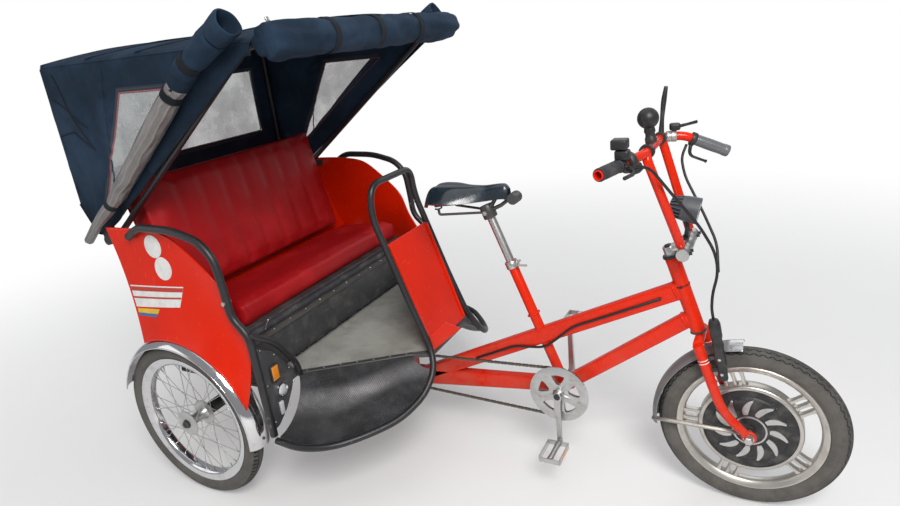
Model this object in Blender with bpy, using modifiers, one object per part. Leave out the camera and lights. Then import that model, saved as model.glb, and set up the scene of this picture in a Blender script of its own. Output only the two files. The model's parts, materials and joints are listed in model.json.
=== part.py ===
# Cycle rickshaw: a passenger tricycle with one steered front wheel with a hub motor,
# a moulded bench body over two spoked rear wheels, and a cloth hood on two bows.
# Metres. +X forward, +Y to the rider's left, +Z up. Places are written from the ground
# under the rear axle's centre; one empty then moves the whole to its mid length.

import bpy
import bmesh
import math
from mathutils import Matrix, Vector

# Clearances and shared values
Gap = 0.0003
Merge_distance = 0.000002
Overrun = 0.02
Bearing_gap = 0.0012
Turn = 2 * math.pi

# Wheels and where they stand
Wheelbase = 1.689
Rear_wheel_radius = 0.287
Rear_tyre_width = 0.058
Rear_tyre_depth = 0.051
Rear_rim_radius = Rear_wheel_radius - Rear_tyre_depth
Rear_rim_depth = 0.030
Rear_rim_width = 0.046
Rear_hub_radius = 0.024
Rear_flange_radius = 0.046
Rear_flange_thickness = 0.005
Rear_hub_width = 0.078
Spoke_radius = 0.0015
Spokes_a_side = 18
Lacing_share = 1.9
Front_wheel_radius = 0.257
Front_tyre_width = 0.056
Front_tyre_depth = 0.053
Front_rim_radius = Front_wheel_radius - Front_tyre_depth
Front_rim_depth = 0.022
Front_rim_width = 0.044
Motor_width = 0.066
Cast_spoke_run = 0.063
Motor_ring_radius = Front_rim_radius - Cast_spoke_run
Motor_ring_wall = 0.013
Motor_radius = Motor_ring_radius - Motor_ring_wall
Motor_ring_width = 0.040
Cast_spoke_groups = 5
Cast_spoke_width = 0.010
Cast_spoke_depth = 0.022
Cast_spoke_spread = math.radians(14)
Cast_spoke_splay_share = 0.72
Wheel_segments = 32

# Steering: the head tube's ends fix the axis
Head_top_back = 0.2230
Head_top_x = Wheelbase - Head_top_back
Head_bottom_back = 0.1470
Head_bottom_x = Wheelbase - Head_bottom_back
Crown_clearance = 0.032
Head_bottom_z = Front_wheel_radius * 2 + Crown_clearance
Head_top_rise = 0.225
Head_top_z = Head_bottom_z + Head_top_rise
Head_tube_radius = 0.021
Steerer_radius = 0.0125

# Main frame
Beam_height = 0.052
Beam_width = 0.036
Beam_front_back = 0.1890
Beam_front_x = Wheelbase - Beam_front_back
Beam_front_rise = 0.1320
Beam_front_z = Head_bottom_z + Beam_front_rise
Beam_rear_x = 0.590
Beam_rear_z = 0.248
Down_height = 0.044
Down_width = 0.034
Down_front_back = 0.1640
Down_front_x = Wheelbase - Down_front_back
Down_front_rise = 0.0460
Down_front_z = Head_bottom_z + Down_front_rise
Bracket_back = 0.5590
Bracket_x = Wheelbase - Bracket_back
Bracket_z = 0.298
Bracket_radius = 0.021
Bracket_width = 0.068
Seat_tube_top_back = 0.7200
Seat_tube_top_x = Wheelbase - Seat_tube_top_back
Seat_tube_top_z = 0.723
Seat_tube_radius = 0.0165
Stay_front_height = 0.046
Stay_rear_height = 0.066
Stay_width = 0.036
Stay_rear_x = 0.560
Stay_rear_z = 0.240

# Rear chassis under the body
Rail_height = 0.040
Rail_width = 0.030
Rail_y = 0.200
Rail_rear_x = -0.110
Cross_front_x = 0.520
Axle_tube_radius = 0.022
Axle_tube_inset = 0.063
Axle_stub_radius = 0.0085
Axle_nut_radius = 0.0125
Axle_nut_width = 0.012
Gearcase_radius = 0.055
Gearcase_width = 0.100

# Drive
Chain_y = -0.058
Chain_width = 0.0072
Chain_half_height = 0.0045
Chainring_radius = 0.089
Sprocket_radius = 0.041
Ring_thickness = 0.0035
Guard_radius = 0.098
Guard_thickness = 0.0025
Guard_gap = 0.004
Guard_windows = 5
Crank_length = 0.170
Crank_width = 0.024
Crank_thickness = 0.014
Crank_y = 0.080
Pedal_length = 0.100
Pedal_width = 0.070
Pedal_height = 0.024
Pedal_rail = 0.007
Pedal_axle_radius = 0.0055

# Body
Body_half_width = 0.532
Track_reach = 0.027
Half_track = Body_half_width + Track_reach
Panel_thickness = 0.006
Floor_z = 0.420
Floor_thickness = 0.012
Floor_front_x = 0.715
Floor_front_half = 0.140
Carpet_thickness = 0.004
Carpet_margin = 0.020
Front_panel_x = 0.335
Front_panel_inset = 0.147
Front_panel_inner = Body_half_width - Front_panel_inset
Kick_x = 0.250
Seat_front_x = 0.240
Seat_front_z = 0.685
Seat_rear_x = -0.050
Seat_rear_z = 0.650
Seat_inset = 0.052
Seat_half_width = Body_half_width - Seat_inset
Seat_thickness = 0.075
Back_inset = 0.072
Back_half_width = Body_half_width - Back_inset
Arch_gap = 0.0195
Mudguard_gap = 0.018
Mudguard_thickness = 0.003
Mudguard_width = 0.086

# Tubes of the body
Arm_radius = 0.0125
Rim_radius = 0.0110
Hoop_half_width = 0.140
Hoop_bend = 0.055

# Hood
Hood_inset = 0.032
Hood_half_width = Body_half_width - Hood_inset
Hood_thickness = 0.005
Hood_rear_x = -0.380
Hood_front_x = 0.520
Hood_side_z = 1.475
Hood_camber = 0.045
Hood_rear_low_z = 1.030
Hood_foot_x = -0.250
Hood_foot_z = 0.904
Bow_radius = 0.010
Window_top_z = 1.370
Curtain_radius = 0.034
Front_roll_radius = 0.058

# Saddle
Post_radius = 0.0136
Saddle_length = 0.262
Saddle_width = 0.182
Saddle_thickness = 0.052
Saddle_centre_back = 0.8410
Saddle_centre_x = Wheelbase - Saddle_centre_back
Saddle_top_z = 0.968
Saddle_wall = 0.012
Saddle_turn_share = 0.75
Spring_seat_share = 0.36

Spindle_radius = 0.0085
Post_insertion = 0.090
Post_exposed = 0.176
Sprocket_seat = 0.030
Pedal_gap = 0.006
Pedal_barrel_radius = 0.011

# Fork, axle, stem and bar
Crown_drop = 0.028
Stem_seat = 0.030
Fork_half_width = 0.060
Fork_straight_short = 0.027
Fork_straight = Front_wheel_radius - Fork_straight_short
Fork_bend = 0.060
Fork_top_radius = 0.0150
Fork_tip_radius = 0.0115
Fork_eye_radius = 0.0205
Neck_rise = 0.034
Neck_radius = 0.0175
Clamp_back = 0.1820
Clamp_x = Wheelbase - Clamp_back
Clamp_rise = 0.2660
Clamp_z = Head_bottom_z + Clamp_rise
Clamp_half_width = 0.098
Clamp_radius = 0.0175
Riser_half = 0.075
Bar_radius = 0.0125
Bar_back = 0.2740
Bar_x = Wheelbase - Bar_back
Bar_rise = 0.5440
Bar_z = Head_bottom_z + Bar_rise
Bar_half = 0.117
Bar_bend = 0.035
Right_end_back = 0.3370
Right_end_rise = 0.5400
Right_end = Vector((Wheelbase - Right_end_back, -0.335, Head_bottom_z + Right_end_rise))
Left_bend = 0.018
Left_knee_back = 0.2130
Left_knee_rise = 0.5440
Left_knee = Vector((Wheelbase - Left_knee_back, 0.130, Head_bottom_z + Left_knee_rise))
Left_end_back = 0.1010
Left_end_rise = 0.4900
Left_end = Vector((Wheelbase - Left_end_back, 0.168, Head_bottom_z + Left_end_rise))
Grip_inset = 0.004
Grip_length = 0.092
Grip_radius = 0.0165
Lever_clamp_width = 0.014
Lever_reach = 0.030
Lever_length = 0.050
Lever_radius = 0.0045
Horn_y = -0.030
Horn_back = 0.008
Horn_neck = 0.036
Horn_radius = 0.028
Lamp_back = 0.1920
Lamp_x = Wheelbase - Lamp_back
Lamp_rise = 0.3690
Lamp_z = Head_bottom_z + Lamp_rise
Lamp_tilt = math.radians(12)
Lamp_length = 0.078
Lamp_radius = 0.036
Lamp_fins = 3
Front_guard_gap = 0.018
Front_guard_width = 0.062
Front_guard_first = math.radians(96)
Front_guard_last = math.radians(186)
Stay_strip = 0.006
Stay_eye = 0.008
Stay_run_short = 0.017
Stay_run = Front_wheel_radius - Stay_run_short
Stay_bend = 0.030
Brake_low = 0.130
Brake_high = 0.055
Brake_pin = 0.095
Brake_low_ahead = 0.036
Brake_high_ahead = 0.064
Brake_radius = 0.016
Switch_side = 0.040
Switch_height = 0.026
Switch_rise = 0.052
Switch_post = 0.006
Cable_radius = 0.0050
Frame_cable_radius = 0.0040

# Outlines of the body, right side; the left is its mirror image
Arm_y = Body_half_width + Panel_thickness / 2 + Gap * 4 + Arm_radius
Rail_z = Floor_z - Floor_thickness - Gap - Rail_height / 2
Step_front_x = 0.655
Step_front_half = 0.165
Rim_insets = ((0.350, -0.0158, 0.268), (0.450, -0.024, 0.266), (0.545, 0.017, 0.266),
              (0.622, 0.102, 0.270), (0.690, 0.197, 0.282))
Rim_front = ((0.730, -0.240, 0.322), (0.738, -0.175, 0.380))
Rim_points = tuple((x, inset - Body_half_width, z) for x, inset, z in Rim_insets) + Rim_front
Hoop_leg = ((0.716, -0.142, 0.440), (0.655, -0.140, 0.600), (0.552, -0.140, 0.900),
            (0.556, -0.125, 1.000))
Bulkhead_foot = (0.708, 0, 0.432)
Bulkhead_head = (0.590, 0, 0.800)
Side_flare = 0.050
Arch_rear = math.radians(114)
Arch_front = math.radians(19)
Side_top_line = ((-0.228, 0.950), (-0.080, 0.952), (0.060, 0.940), (0.150, 0.868),
                 (0.235, 0.790), (0.258, 0.700), (0.312, 0.610))
Front_side_insets = ((-0.002, 0.296), (-0.002, 0.590), (0.057, 0.548), (0.134, 0.440),
                     (0.107, 0.385), (0.070, 0.335), (0.020, 0.296))
Front_side_outline = tuple((inset - Body_half_width, z) for inset, z in Front_side_insets)
Reflector_insets = ((0.045, 0.480, 0.030, 0.050), (0.044, 0.352, 0.016, 0.044))
Marker_inset = 0.058
Marker_z = 0.412
Marker_radius = 0.022
Lens_depth = 0.008
Board_thickness = 0.010
Seat_box_inset = 0.047
Seat_box_half = Body_half_width - Seat_box_inset
Seat_box_rear = -0.1155
Seat_round = 0.020
Board_foot = (-0.119, 0, 0.5735)
Board_shoulder = (-0.208, 0, 0.912)
Board_head = (-0.246, 0, 1.060)
Back_outline = ((-0.060, 0.655), (-0.153, 1.110), (-0.2418, 1.0580), (-0.1346, 0.648))
Arm_line = ((-0.105, 0.930), (-0.045, 0.966), (0.106, 0.962), (0.215, 0.932), (0.262, 0.880), (0.272, 0.790),
            (0.278, 0.690), (0.334, 0.640), (0.338, 0.500), (0.345, 0.285))
Arm_bend = 0.030
Branch_insets = ((0.334, -0.016, 0.640), (0.352, 0.062, 0.580), (0.352, 0.134, 0.470),
                 (0.352, 0.140, 0.424))
Battery_rear_x = -0.060
Battery_half = 0.150
Battery_length = 0.200
Battery_height = 0.110
Guard_front_angle = math.radians(-8)
Guard_rear_angle = math.radians(162)
Guard_crown_shares = ((-0.5, 0.233), (-0.34, 0.047), (0.0, 0.0), (0.34, 0.047), (0.5, 0.233))

# Outlines of the hood
Hood_cut_low = 0.860
Hood_bend = 0.050
Hood_opening = ((-0.420, 0.850), (-0.420, 1.020), (-0.380, 1.020), (-0.330, 0.915),
                (-0.285, 0.915), (0.500, 1.435), (0.540, 1.435), (0.540, 0.850))
Side_window = ((-0.030, 1.370), (0.250, 1.370), (-0.180, 1.075), (-0.225, 1.040))
Rear_window_half = 0.400
Rear_window_low = 1.110
Cheek_outline = ((-0.262, 0.892), (-0.226, 0.892), (-0.226, 0.918), (-0.166, 0.918),
                 (-0.166, 0.944), (-0.262, 0.944))
Right_cable = ((0.2888, -0.2300, 0.5360), (0.2530, -0.168, 0.5220), (0.2110, -0.104, 0.4390),
               (0.1440, -0.056, 0.3340), (0.1070, -0.046, 0.2640), (0.0970, -0.042, 0.2040),
               (0.1090, -0.052, 0.1440))
Left_cable = ((0.2072, 0.1330, 0.5185), (0.2190, 0.118, 0.4840), (0.2070, 0.104, 0.4340),
              (0.1490, 0.058, 0.3390), (0.1070, 0.008, 0.2690), (0.0970, -0.042, 0.2040))
Frame_cable_line = ((1.440, 0.648), (1.260, 0.564), (1.170, 0.523), (1.128, 0.482),
                    (1.075, 0.437), (1.023, 0.431), (0.970, 0.428), (0.820, 0.357))
Cable_bend = 0.030
Curtain_line = ((-0.322, 0.030, 0.906), (-0.236, 0.030, 0.974), (-0.130, 0.006, 1.058),
                (0.100, 0, 1.243), (0.280, 0, 1.387), (0.323, 0, 1.420), (0.508, 0, 1.516))
Curtain_shares = (0.45, 0.50, 0.75, 0.95, 1.00, 1.08, 1.15)
Saddle_shares = ((0.0, 0.72, 0.86), (0.10, 0.96, 0.98), (0.28, 1.00, 0.98), (0.48, 0.66, 0.92),
                 (0.70, 0.32, 0.94), (0.92, 0.25, 1.10), (1.0, 0.16, 1.08))
Clamp_hold = 0.022
Rail_wire_radius = 0.0042
Spring_length = 0.045
Spring_radius = 0.013
Nose_coil_back = 0.6895
Nose_coil_x = Wheelbase - Nose_coil_back
Nose_coil_z = 0.934
Nose_coil_radius = 0.018
Nose_coil_half = 0.021
Nose_link = 0.0075
Collar_height = 0.024
Collar_wall = 0.0045
Collar_lever = 0.020
Collar_handle = 0.040

# From the hood's back to the front tyre's tread
Mid_length = (Wheelbase + Front_wheel_radius + Hood_rear_x) / 2


# Making and finishing

def finish(name, colour, roughness, metallic=0.0):
    """A plain surface finish."""
    material = bpy.data.materials.new(name)
    material.use_nodes = True
    shader = material.node_tree.nodes["Principled BSDF"]
    shader.inputs["Base Color"].default_value = (*colour, 1.0)
    shader.inputs["Roughness"].default_value = roughness
    shader.inputs["Metallic"].default_value = metallic
    return material


def place(name, data, material, smooth=True):
    """A new object in the part's collection, with its finish."""
    piece = bpy.data.objects.new(name, data)
    parts.objects.link(piece)
    data.materials.clear()
    data.materials.append(material)
    if smooth and isinstance(data, bpy.types.Mesh):
        data.shade_smooth()
        data.set_sharp_from_angle(angle=math.radians(35))
    return piece


def plain(piece):
    """The piece as one mesh, its modifiers and curve evaluated and its caps welded."""
    bpy.context.view_layer.update()
    graph = bpy.context.evaluated_depsgraph_get()
    mesh = bpy.data.meshes.new_from_object(piece.evaluated_get(graph), depsgraph=graph)
    work = bmesh.new()
    work.from_mesh(mesh)
    bmesh.ops.remove_doubles(work, verts=work.verts, dist=Merge_distance)
    bmesh.ops.transform(work, matrix=piece.matrix_world, verts=work.verts)
    work.to_mesh(mesh)
    work.free()
    name, material = piece.name, piece.data.materials[0]
    bpy.data.objects.remove(piece)
    return place(name, mesh, material)


def combine(piece, tool, operation):
    """The piece cut by or joined with a tool, which is used up."""
    piece = plain(piece)
    tool = plain(tool)
    change = piece.modifiers.new(operation.title(), "BOOLEAN")
    change.operation = operation
    change.object = tool
    piece = plain(piece)
    bpy.data.objects.remove(tool)
    return piece


def cut(piece, *tools):
    for tool in tools:
        piece = combine(piece, tool, "DIFFERENCE")
    return piece


def join(piece, *others):
    for other in others:
        piece = combine(piece, other, "UNION")
    return piece


def box(name, low, high, material, turn=None):
    """A block between two corners, turned about its centre by a rotation matrix."""
    low, high = Vector(low), Vector(high)
    mesh = bpy.data.meshes.new(name)
    work = bmesh.new()
    bmesh.ops.create_cube(work, size=1.0)
    size = high - low
    bmesh.ops.scale(work, vec=size, verts=work.verts)
    if turn is not None:
        bmesh.ops.transform(work, matrix=turn.to_4x4(), verts=work.verts)
    bmesh.ops.translate(work, vec=(low + high) / 2, verts=work.verts)
    work.to_mesh(mesh)
    work.free()
    return place(name, mesh, material)


def rod(name, start, end, radius, material, sides=16, end_radius=None):
    """A round bar, straight or tapered, between two points."""
    start, end = Vector(start), Vector(end)
    along = end - start
    mesh = bpy.data.meshes.new(name)
    work = bmesh.new()
    bmesh.ops.create_cone(work, cap_ends=True, segments=sides, radius1=radius,
                          radius2=radius if end_radius is None else end_radius,
                          depth=along.length)
    turn = along.to_track_quat("Z", "Y").to_matrix().to_4x4()
    bmesh.ops.transform(work, matrix=Matrix.Translation((start + end) / 2) @ turn, verts=work.verts)
    work.to_mesh(mesh)
    work.free()
    return place(name, mesh, material)


def beam(name, start, end, height, width, material, end_height=None):
    """A rectangular tube in the plane of the frame, its height square to its run."""
    start, end = Vector(start), Vector(end)
    along = (end - start).normalized()
    across = along.cross(Vector((0, 1, 0))).normalized()
    end_height = height if end_height is None else end_height
    mesh = bpy.data.meshes.new(name)
    work = bmesh.new()
    corners = []
    for centre, tall in ((start, height), (end, end_height)):
        for up, side in ((1, 1), (1, -1), (-1, -1), (-1, 1)):
            spot = centre + across * (up * tall / 2) + Vector((0, side * width / 2, 0))
            corners.append(work.verts.new(spot))
    work.faces.new(corners[:4])
    work.faces.new(corners[:3:-1])
    for n in range(4):
        m = (n + 1) % 4
        work.faces.new((corners[n], corners[m], corners[m + 4], corners[n + 4]))
    bmesh.ops.recalc_face_normals(work, faces=work.faces)
    work.to_mesh(mesh)
    work.free()
    return place(name, mesh, material)


def rounded(points, bend, steps=4):
    """A path through the points with each corner turned on an arc-like curve."""
    points = [Vector(point) for point in points]
    path = [points[0]]
    for before, corner, after in zip(points, points[1:], points[2:]):
        reach = min(bend, (corner - before).length / 2.05, (after - corner).length / 2.05)
        start = corner + (before - corner).normalized() * reach
        end = corner + (after - corner).normalized() * reach
        for step in range(steps + 1):
            share = step / steps
            path.append(start.lerp(corner, share).lerp(corner.lerp(end, share), share))
    path.append(points[-1])
    return path


def tube(name, path, radius, material, resolution=2, closed=False, radii=None):
    """A bent tube along a path, with filled ends."""
    data = bpy.data.curves.new(name, "CURVE")
    data.dimensions = "3D"
    data.bevel_depth = radius
    data.bevel_resolution = resolution
    data.use_fill_caps = not closed
    spline = data.splines.new("POLY")
    spline.points.add(len(path) - 1)
    for index, spot in enumerate(path):
        spline.points[index].co = (*spot, 1.0)
        if radii:
            spline.points[index].radius = radii[index] / radius
    spline.use_cyclic_u = closed
    return place(name, data, material)


def plate(name, outline, thickness, material, turn=None, middle=(0, 0, 0), holes=()):
    """A flat outline with a thickness, centred on its plane, turned and then moved."""
    data = bpy.data.curves.new(name, "CURVE")
    data.dimensions = "2D"
    data.fill_mode = "BOTH"
    data.extrude = thickness / 2
    for ring in (outline, *holes):
        spline = data.splines.new("POLY")
        spline.points.add(len(ring) - 1)
        for index, (across, up) in enumerate(ring):
            spline.points[index].co = (across, up, 0.0, 1.0)
        spline.use_cyclic_u = True
    piece = place(name, data, material)
    piece.matrix_world = Matrix.Translation(middle) @ (turn or Matrix.Identity(4))
    return piece


# Outlines drawn as (x, z) stand upright along the length, as (y, z) across it
Along = Matrix.Rotation(math.pi / 2, 4, "X")
Across = Matrix(((0, 0, 1, 0), (1, 0, 0, 0), (0, 1, 0, 0), (0, 0, 0, 1)))


def turned(name, profile, centre, material, segments=Wheel_segments, closed=True):
    """A shape turned about an axle along Y. The profile is (radius, along the axle)."""
    mesh = bpy.data.meshes.new(name)
    work = bmesh.new()
    area = sum(a[0] * b[1] - b[0] * a[1] for a, b in zip(profile, profile[1:] + profile[:1]))
    ordered = profile if area < 0 else profile[::-1]
    rings = [work.verts.new((radius, along, 0.0)) for radius, along in ordered]
    for first, second in zip(rings, rings[1:]):
        work.edges.new((first, second))
    if closed:
        work.edges.new((rings[-1], rings[0]))
    work.to_mesh(mesh)
    work.free()
    piece = place(name, mesh, material)
    piece.location = centre
    screw = piece.modifiers.new("Turn", "SCREW")
    screw.axis = "Y"
    screw.angle = Turn
    screw.steps = segments
    screw.render_steps = segments
    screw.use_merge_vertices = True
    screw.merge_threshold = 0.00001
    return outward(piece)


def outward(piece):
    """The piece as a mesh whose faces point out."""
    piece = plain(piece)
    work = bmesh.new()
    work.from_mesh(piece.data)
    bmesh.ops.recalc_face_normals(work, faces=work.faces)
    if work.calc_volume(signed=True) < 0:
        bmesh.ops.reverse_faces(work, faces=work.faces)
    work.to_mesh(piece.data)
    work.free()
    return piece


def skin(name, rows, thickness, material):
    """A shell over a grid of points, thickened half to each side."""
    mesh = bpy.data.meshes.new(name)
    work = bmesh.new()
    grid = [[work.verts.new(spot) for spot in row] for row in rows]
    for lower, upper in zip(grid, grid[1:]):
        for a, b, c, d in zip(lower, lower[1:], upper[1:], upper):
            work.faces.new((a, b, c, d))
    work.to_mesh(mesh)
    work.free()
    piece = place(name, mesh, material)
    wall = piece.modifiers.new("Wall", "SOLIDIFY")
    wall.thickness = thickness
    wall.offset = 0
    return outward(piece)


def mirrored(piece, name):
    """A copy of the piece on the other side of the middle plane."""
    mesh = piece.data.copy()
    work = bmesh.new()
    work.from_mesh(mesh)
    bmesh.ops.scale(work, vec=(1, -1, 1), verts=work.verts)
    bmesh.ops.reverse_faces(work, faces=work.faces)
    work.to_mesh(mesh)
    work.free()
    return place(name, mesh, piece.data.materials[0])


def carry(empty, *pieces):
    """Pieces that turn with an empty on their joint's axis, their origins moved onto it."""
    bpy.context.view_layer.update()
    for piece in pieces:
        piece.parent = empty
        piece.matrix_parent_inverse = empty.matrix_world.inverted()


def pivot(name, spot, up=(0, 0, 1)):
    """An empty on a joint's axis."""
    empty = bpy.data.objects.new(name, None)
    parts.objects.link(empty)
    empty.location = spot
    empty.rotation_mode = "QUATERNION"
    empty.rotation_quaternion = Vector(up).to_track_quat("Z", "Y")
    return empty


# Scene
for leftover in list(bpy.data.objects):
    bpy.data.objects.remove(leftover)
parts = bpy.data.collections.new("Cycle rickshaw")
bpy.context.scene.collection.children.link(parts)

# Finishes
Orange = finish("Orange paint", (0.78, 0.075, 0.012), 0.32)
Black_steel = finish("Black tube", (0.012, 0.012, 0.013), 0.4)
Black_plastic = finish("Black plastic", (0.018, 0.018, 0.020), 0.5)
Grey_plastic = finish("Grey plastic", (0.13, 0.14, 0.15), 0.5)
Grey_panel = finish("Grey panel", (0.05, 0.055, 0.062), 0.5)
Rubber = finish("Tyre rubber", (0.03, 0.03, 0.03), 0.85)
Chrome = finish("Chrome", (0.75, 0.75, 0.76), 0.15, 1.0)
Silver = finish("Silver metal", (0.55, 0.55, 0.56), 0.35, 1.0)
Cast = finish("Cast wheel", (0.42, 0.42, 0.41), 0.42, 0.9)
Red_cloth = finish("Red leathercloth", (0.42, 0.008, 0.012), 0.5)
Hood_cloth = finish("Hood cloth", (0.012, 0.014, 0.020), 0.85)
Clear_sheet = finish("Clear sheet", (0.5, 0.52, 0.5), 0.2)
Carpet = finish("Floor carpet", (0.27, 0.27, 0.24), 0.95)
Chain_steel = finish("Chain steel", (0.09, 0.085, 0.08), 0.45, 0.9)
Cable = finish("Cable sheath", (0.01, 0.01, 0.01), 0.5)

# Steering axis, from the head tube's bottom up
Head_bottom = Vector((Head_bottom_x, 0, Head_bottom_z))
Head_top = Vector((Head_top_x, 0, Head_top_z))
Steer_up = (Head_top - Head_bottom).normalized()
Steer_ahead = Vector((Steer_up.z, 0, -Steer_up.x))
Front_axle = Vector((Wheelbase, 0, Front_wheel_radius))


def on_steering(up, ahead=0.0, side=0.0):
    """A point by its height above the head tube's bottom, its reach ahead and to the left."""
    return Head_bottom + Steer_up * up + Steer_ahead * ahead + Vector((0, side, 0))


Head_length = (Head_top - Head_bottom).length


# Tyres and wheels

def tyre_profile(radius, width, bead):
    """Half round crown, bulged sides and a flat bead."""
    shares = ((0.0, 0.36), (0.34, 0.50), (0.66, 0.47), (0.89, 0.31), (1.0, 0.11))
    depth = radius - bead
    side = [(bead + depth * deep, width * wide) for deep, wide in shares]
    return side + [(r, -y) for r, y in reversed(side)]


def rim_profile(radius, depth, width):
    """A deep rim with rolled edges and a raised inner band."""
    shares = ((0.0, 0.50), (0.45, 0.48), (1.0, 0.24))
    side = [(radius - depth * deep, width * wide) for deep, wide in shares]
    return side + [(r, -y) for r, y in reversed(side)]


def wheel_hub_profile(width, shares):
    """A turned hub from (radius, share of half its width) pairs, closed on the bore."""
    side = [(radius, share * width / 2) for radius, share in shares]
    return side + [(r, -y) for r, y in reversed(side)]


def laced_spokes(name, centre, hub_radius, rim_radius, hub_half_width, material):
    """Crossed wire spokes from two flanges to the rim, as one mesh of separate rods."""
    work = bmesh.new()
    lead = Turn / Spokes_a_side * Lacing_share
    for side in (1, -1):
        for index in range(Spokes_a_side):
            angle = Turn * (index + (0.25 if side > 0 else -0.25)) / Spokes_a_side
            lean = lead if index % 2 else -lead
            flange = side * (hub_half_width + (Spoke_radius if index % 2 else -Spoke_radius) * 1.6)
            start = Vector((math.cos(angle) * hub_radius, flange, math.sin(angle) * hub_radius))
            far = angle + lean
            end = Vector((math.cos(far) * rim_radius, side * Spoke_radius * 2,
                          math.sin(far) * rim_radius))
            along = end - start
            turn = along.to_track_quat("Z", "Y").to_matrix().to_4x4()
            where = Matrix.Translation(Vector(centre) + (start + end) / 2) @ turn
            bmesh.ops.create_cone(work, cap_ends=True, segments=3, radius1=Spoke_radius,
                                  radius2=Spoke_radius, depth=along.length, matrix=where)
    mesh = bpy.data.meshes.new(name)
    work.to_mesh(mesh)
    work.free()
    return place(name, mesh, material)


def rear_wheel(side_name, side):
    """Tyre, and the rim, spokes and hub as one built wheel."""
    centre = Vector((0, side * Half_track, Rear_wheel_radius))
    tyre = turned("rear_tyre_" + side_name,
                  tyre_profile(Rear_wheel_radius, Rear_tyre_width, Rear_rim_radius + Gap),
                  centre, Rubber)
    rim = turned("rear_wheel_" + side_name,
                 rim_profile(Rear_rim_radius, Rear_rim_depth, Rear_rim_width), centre, Chrome)
    bore = Axle_stub_radius + Gap
    flange_share = 1 - 2 * Rear_flange_thickness / Rear_hub_width
    shares = ((bore, 1.0), (Rear_flange_radius * 0.55, 1.0), (Rear_flange_radius, 0.98),
              (Rear_flange_radius, flange_share), (Rear_hub_radius, flange_share - 0.12))
    hub = turned("hub", wheel_hub_profile(Rear_hub_width, shares), centre, Chrome, 12)
    spokes = laced_spokes("spokes", centre, Rear_flange_radius * 0.86,
                          Rear_rim_radius - Rear_rim_depth / 2,
                          Rear_hub_width / 2 - Rear_flange_thickness / 2, Chrome)
    wheel = join(rim, hub, spokes)
    axle = pivot("rear_axle_line_" + side_name, centre, (0, 1, 0))
    carry(axle, tyre, wheel)


def front_wheel():
    """Tyre, cast rim with five groups of three spokes, and the hub motor's drum."""
    tyre = turned("front_tyre", tyre_profile(Front_wheel_radius, Front_tyre_width,
                                             Front_rim_radius + Gap), Front_axle, Rubber)
    wheel = turned("front_wheel", rim_profile(Front_rim_radius, Front_rim_depth, Front_rim_width),
                   Front_axle, Cast)
    half = Motor_ring_width / 2
    ring = turned("ring", [(Motor_radius + Gap, half), (Motor_ring_radius, half),
                           (Motor_ring_radius, -half), (Motor_radius + Gap, -half)],
                  Front_axle, Cast)
    pieces = [ring]
    for group in range(Cast_spoke_groups):
        middle = Turn * (group + 0.5) / Cast_spoke_groups
        for lean in (-1, 0, 1):
            inner = middle + lean * Cast_spoke_spread * Cast_spoke_splay_share
            outer = middle + lean * Cast_spoke_spread * Cast_spoke_splay_share ** 2
            start = Motor_ring_radius - Overrun / 4
            end = Front_rim_radius - Front_rim_depth / 2
            a = Vector((math.cos(inner) * start, 0, math.sin(inner) * start))
            b = Vector((math.cos(outer) * end, 0, math.sin(outer) * end))
            across = (b - a).normalized().cross(Vector((0, 1, 0))) * Cast_spoke_width / 2
            outline = [(p.x, p.z) for p in (a - across, b - across, b + across, a + across)]
            pieces.append(plate("spoke", outline, Cast_spoke_depth, Cast, Along, Front_axle))
    wheel = join(wheel, *pieces)
    half = Motor_width / 2
    shares = ((Axle_stub_radius + Gap, 1.0), (0.030, 1.0), (0.034, 0.80), (Motor_radius * 0.766, 0.74),
              (Motor_radius * 0.8125, 0.60), (Motor_radius, 0.56))
    motor = turned("hub_motor", [(radius, share * half) for radius, share in shares]
                   + [(radius, -share * half) for radius, share in reversed(shares)],
                   Front_axle, Black_plastic)
    axle = pivot("front_axle_line", Front_axle, (0, 1, 0))
    carry(axle, tyre, wheel, motor)
    return axle


# Frame

def main_frame():
    """Head tube, two beams, seat tube, bracket shell and tapered stay, welded."""
    beam_front = Vector((Beam_front_x, 0, Beam_front_z))
    beam_rear = Vector((Beam_rear_x, 0, Beam_rear_z))
    bracket = Vector((Bracket_x, 0, Bracket_z))
    down_front = Vector((Down_front_x, 0, Down_front_z))
    seat_top = Vector((Seat_tube_top_x, 0, Seat_tube_top_z))
    stay_rear = Vector((Stay_rear_x, 0, Stay_rear_z))
    frame = rod("main_frame", Head_bottom, Head_top, Head_tube_radius, Orange, 20)
    frame = join(frame,
                 beam("beam", beam_front, beam_rear, Beam_height, Beam_width, Orange),
                 beam("down", down_front, bracket, Down_height, Down_width, Orange),
                 rod("seat_tube", bracket, seat_top, Seat_tube_radius, Orange, 16),
                 rod("shell", bracket + Vector((0, Bracket_width / 2, 0)),
                     bracket - Vector((0, Bracket_width / 2, 0)), Bracket_radius, Orange, 16),
                 beam("stay", bracket, stay_rear, Stay_front_height, Stay_width, Orange,
                      Stay_rear_height))
    steerer = rod("steerer_bore", on_steering(-Overrun), on_steering(Head_length + Overrun),
                  Steerer_radius + Gap, Orange, 16)
    spindle = rod("spindle_bore", bracket + Vector((0, Bracket_width, 0)),
                  bracket - Vector((0, Bracket_width, 0)), Spindle_radius + Gap, Orange, 16)
    along = (seat_top - bracket).normalized()
    post = rod("post_bore", seat_top - along * Post_insertion, seat_top + along * Overrun,
               Post_radius + Gap, Orange, 16)
    return cut(frame, steerer, spindle, post)


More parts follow.
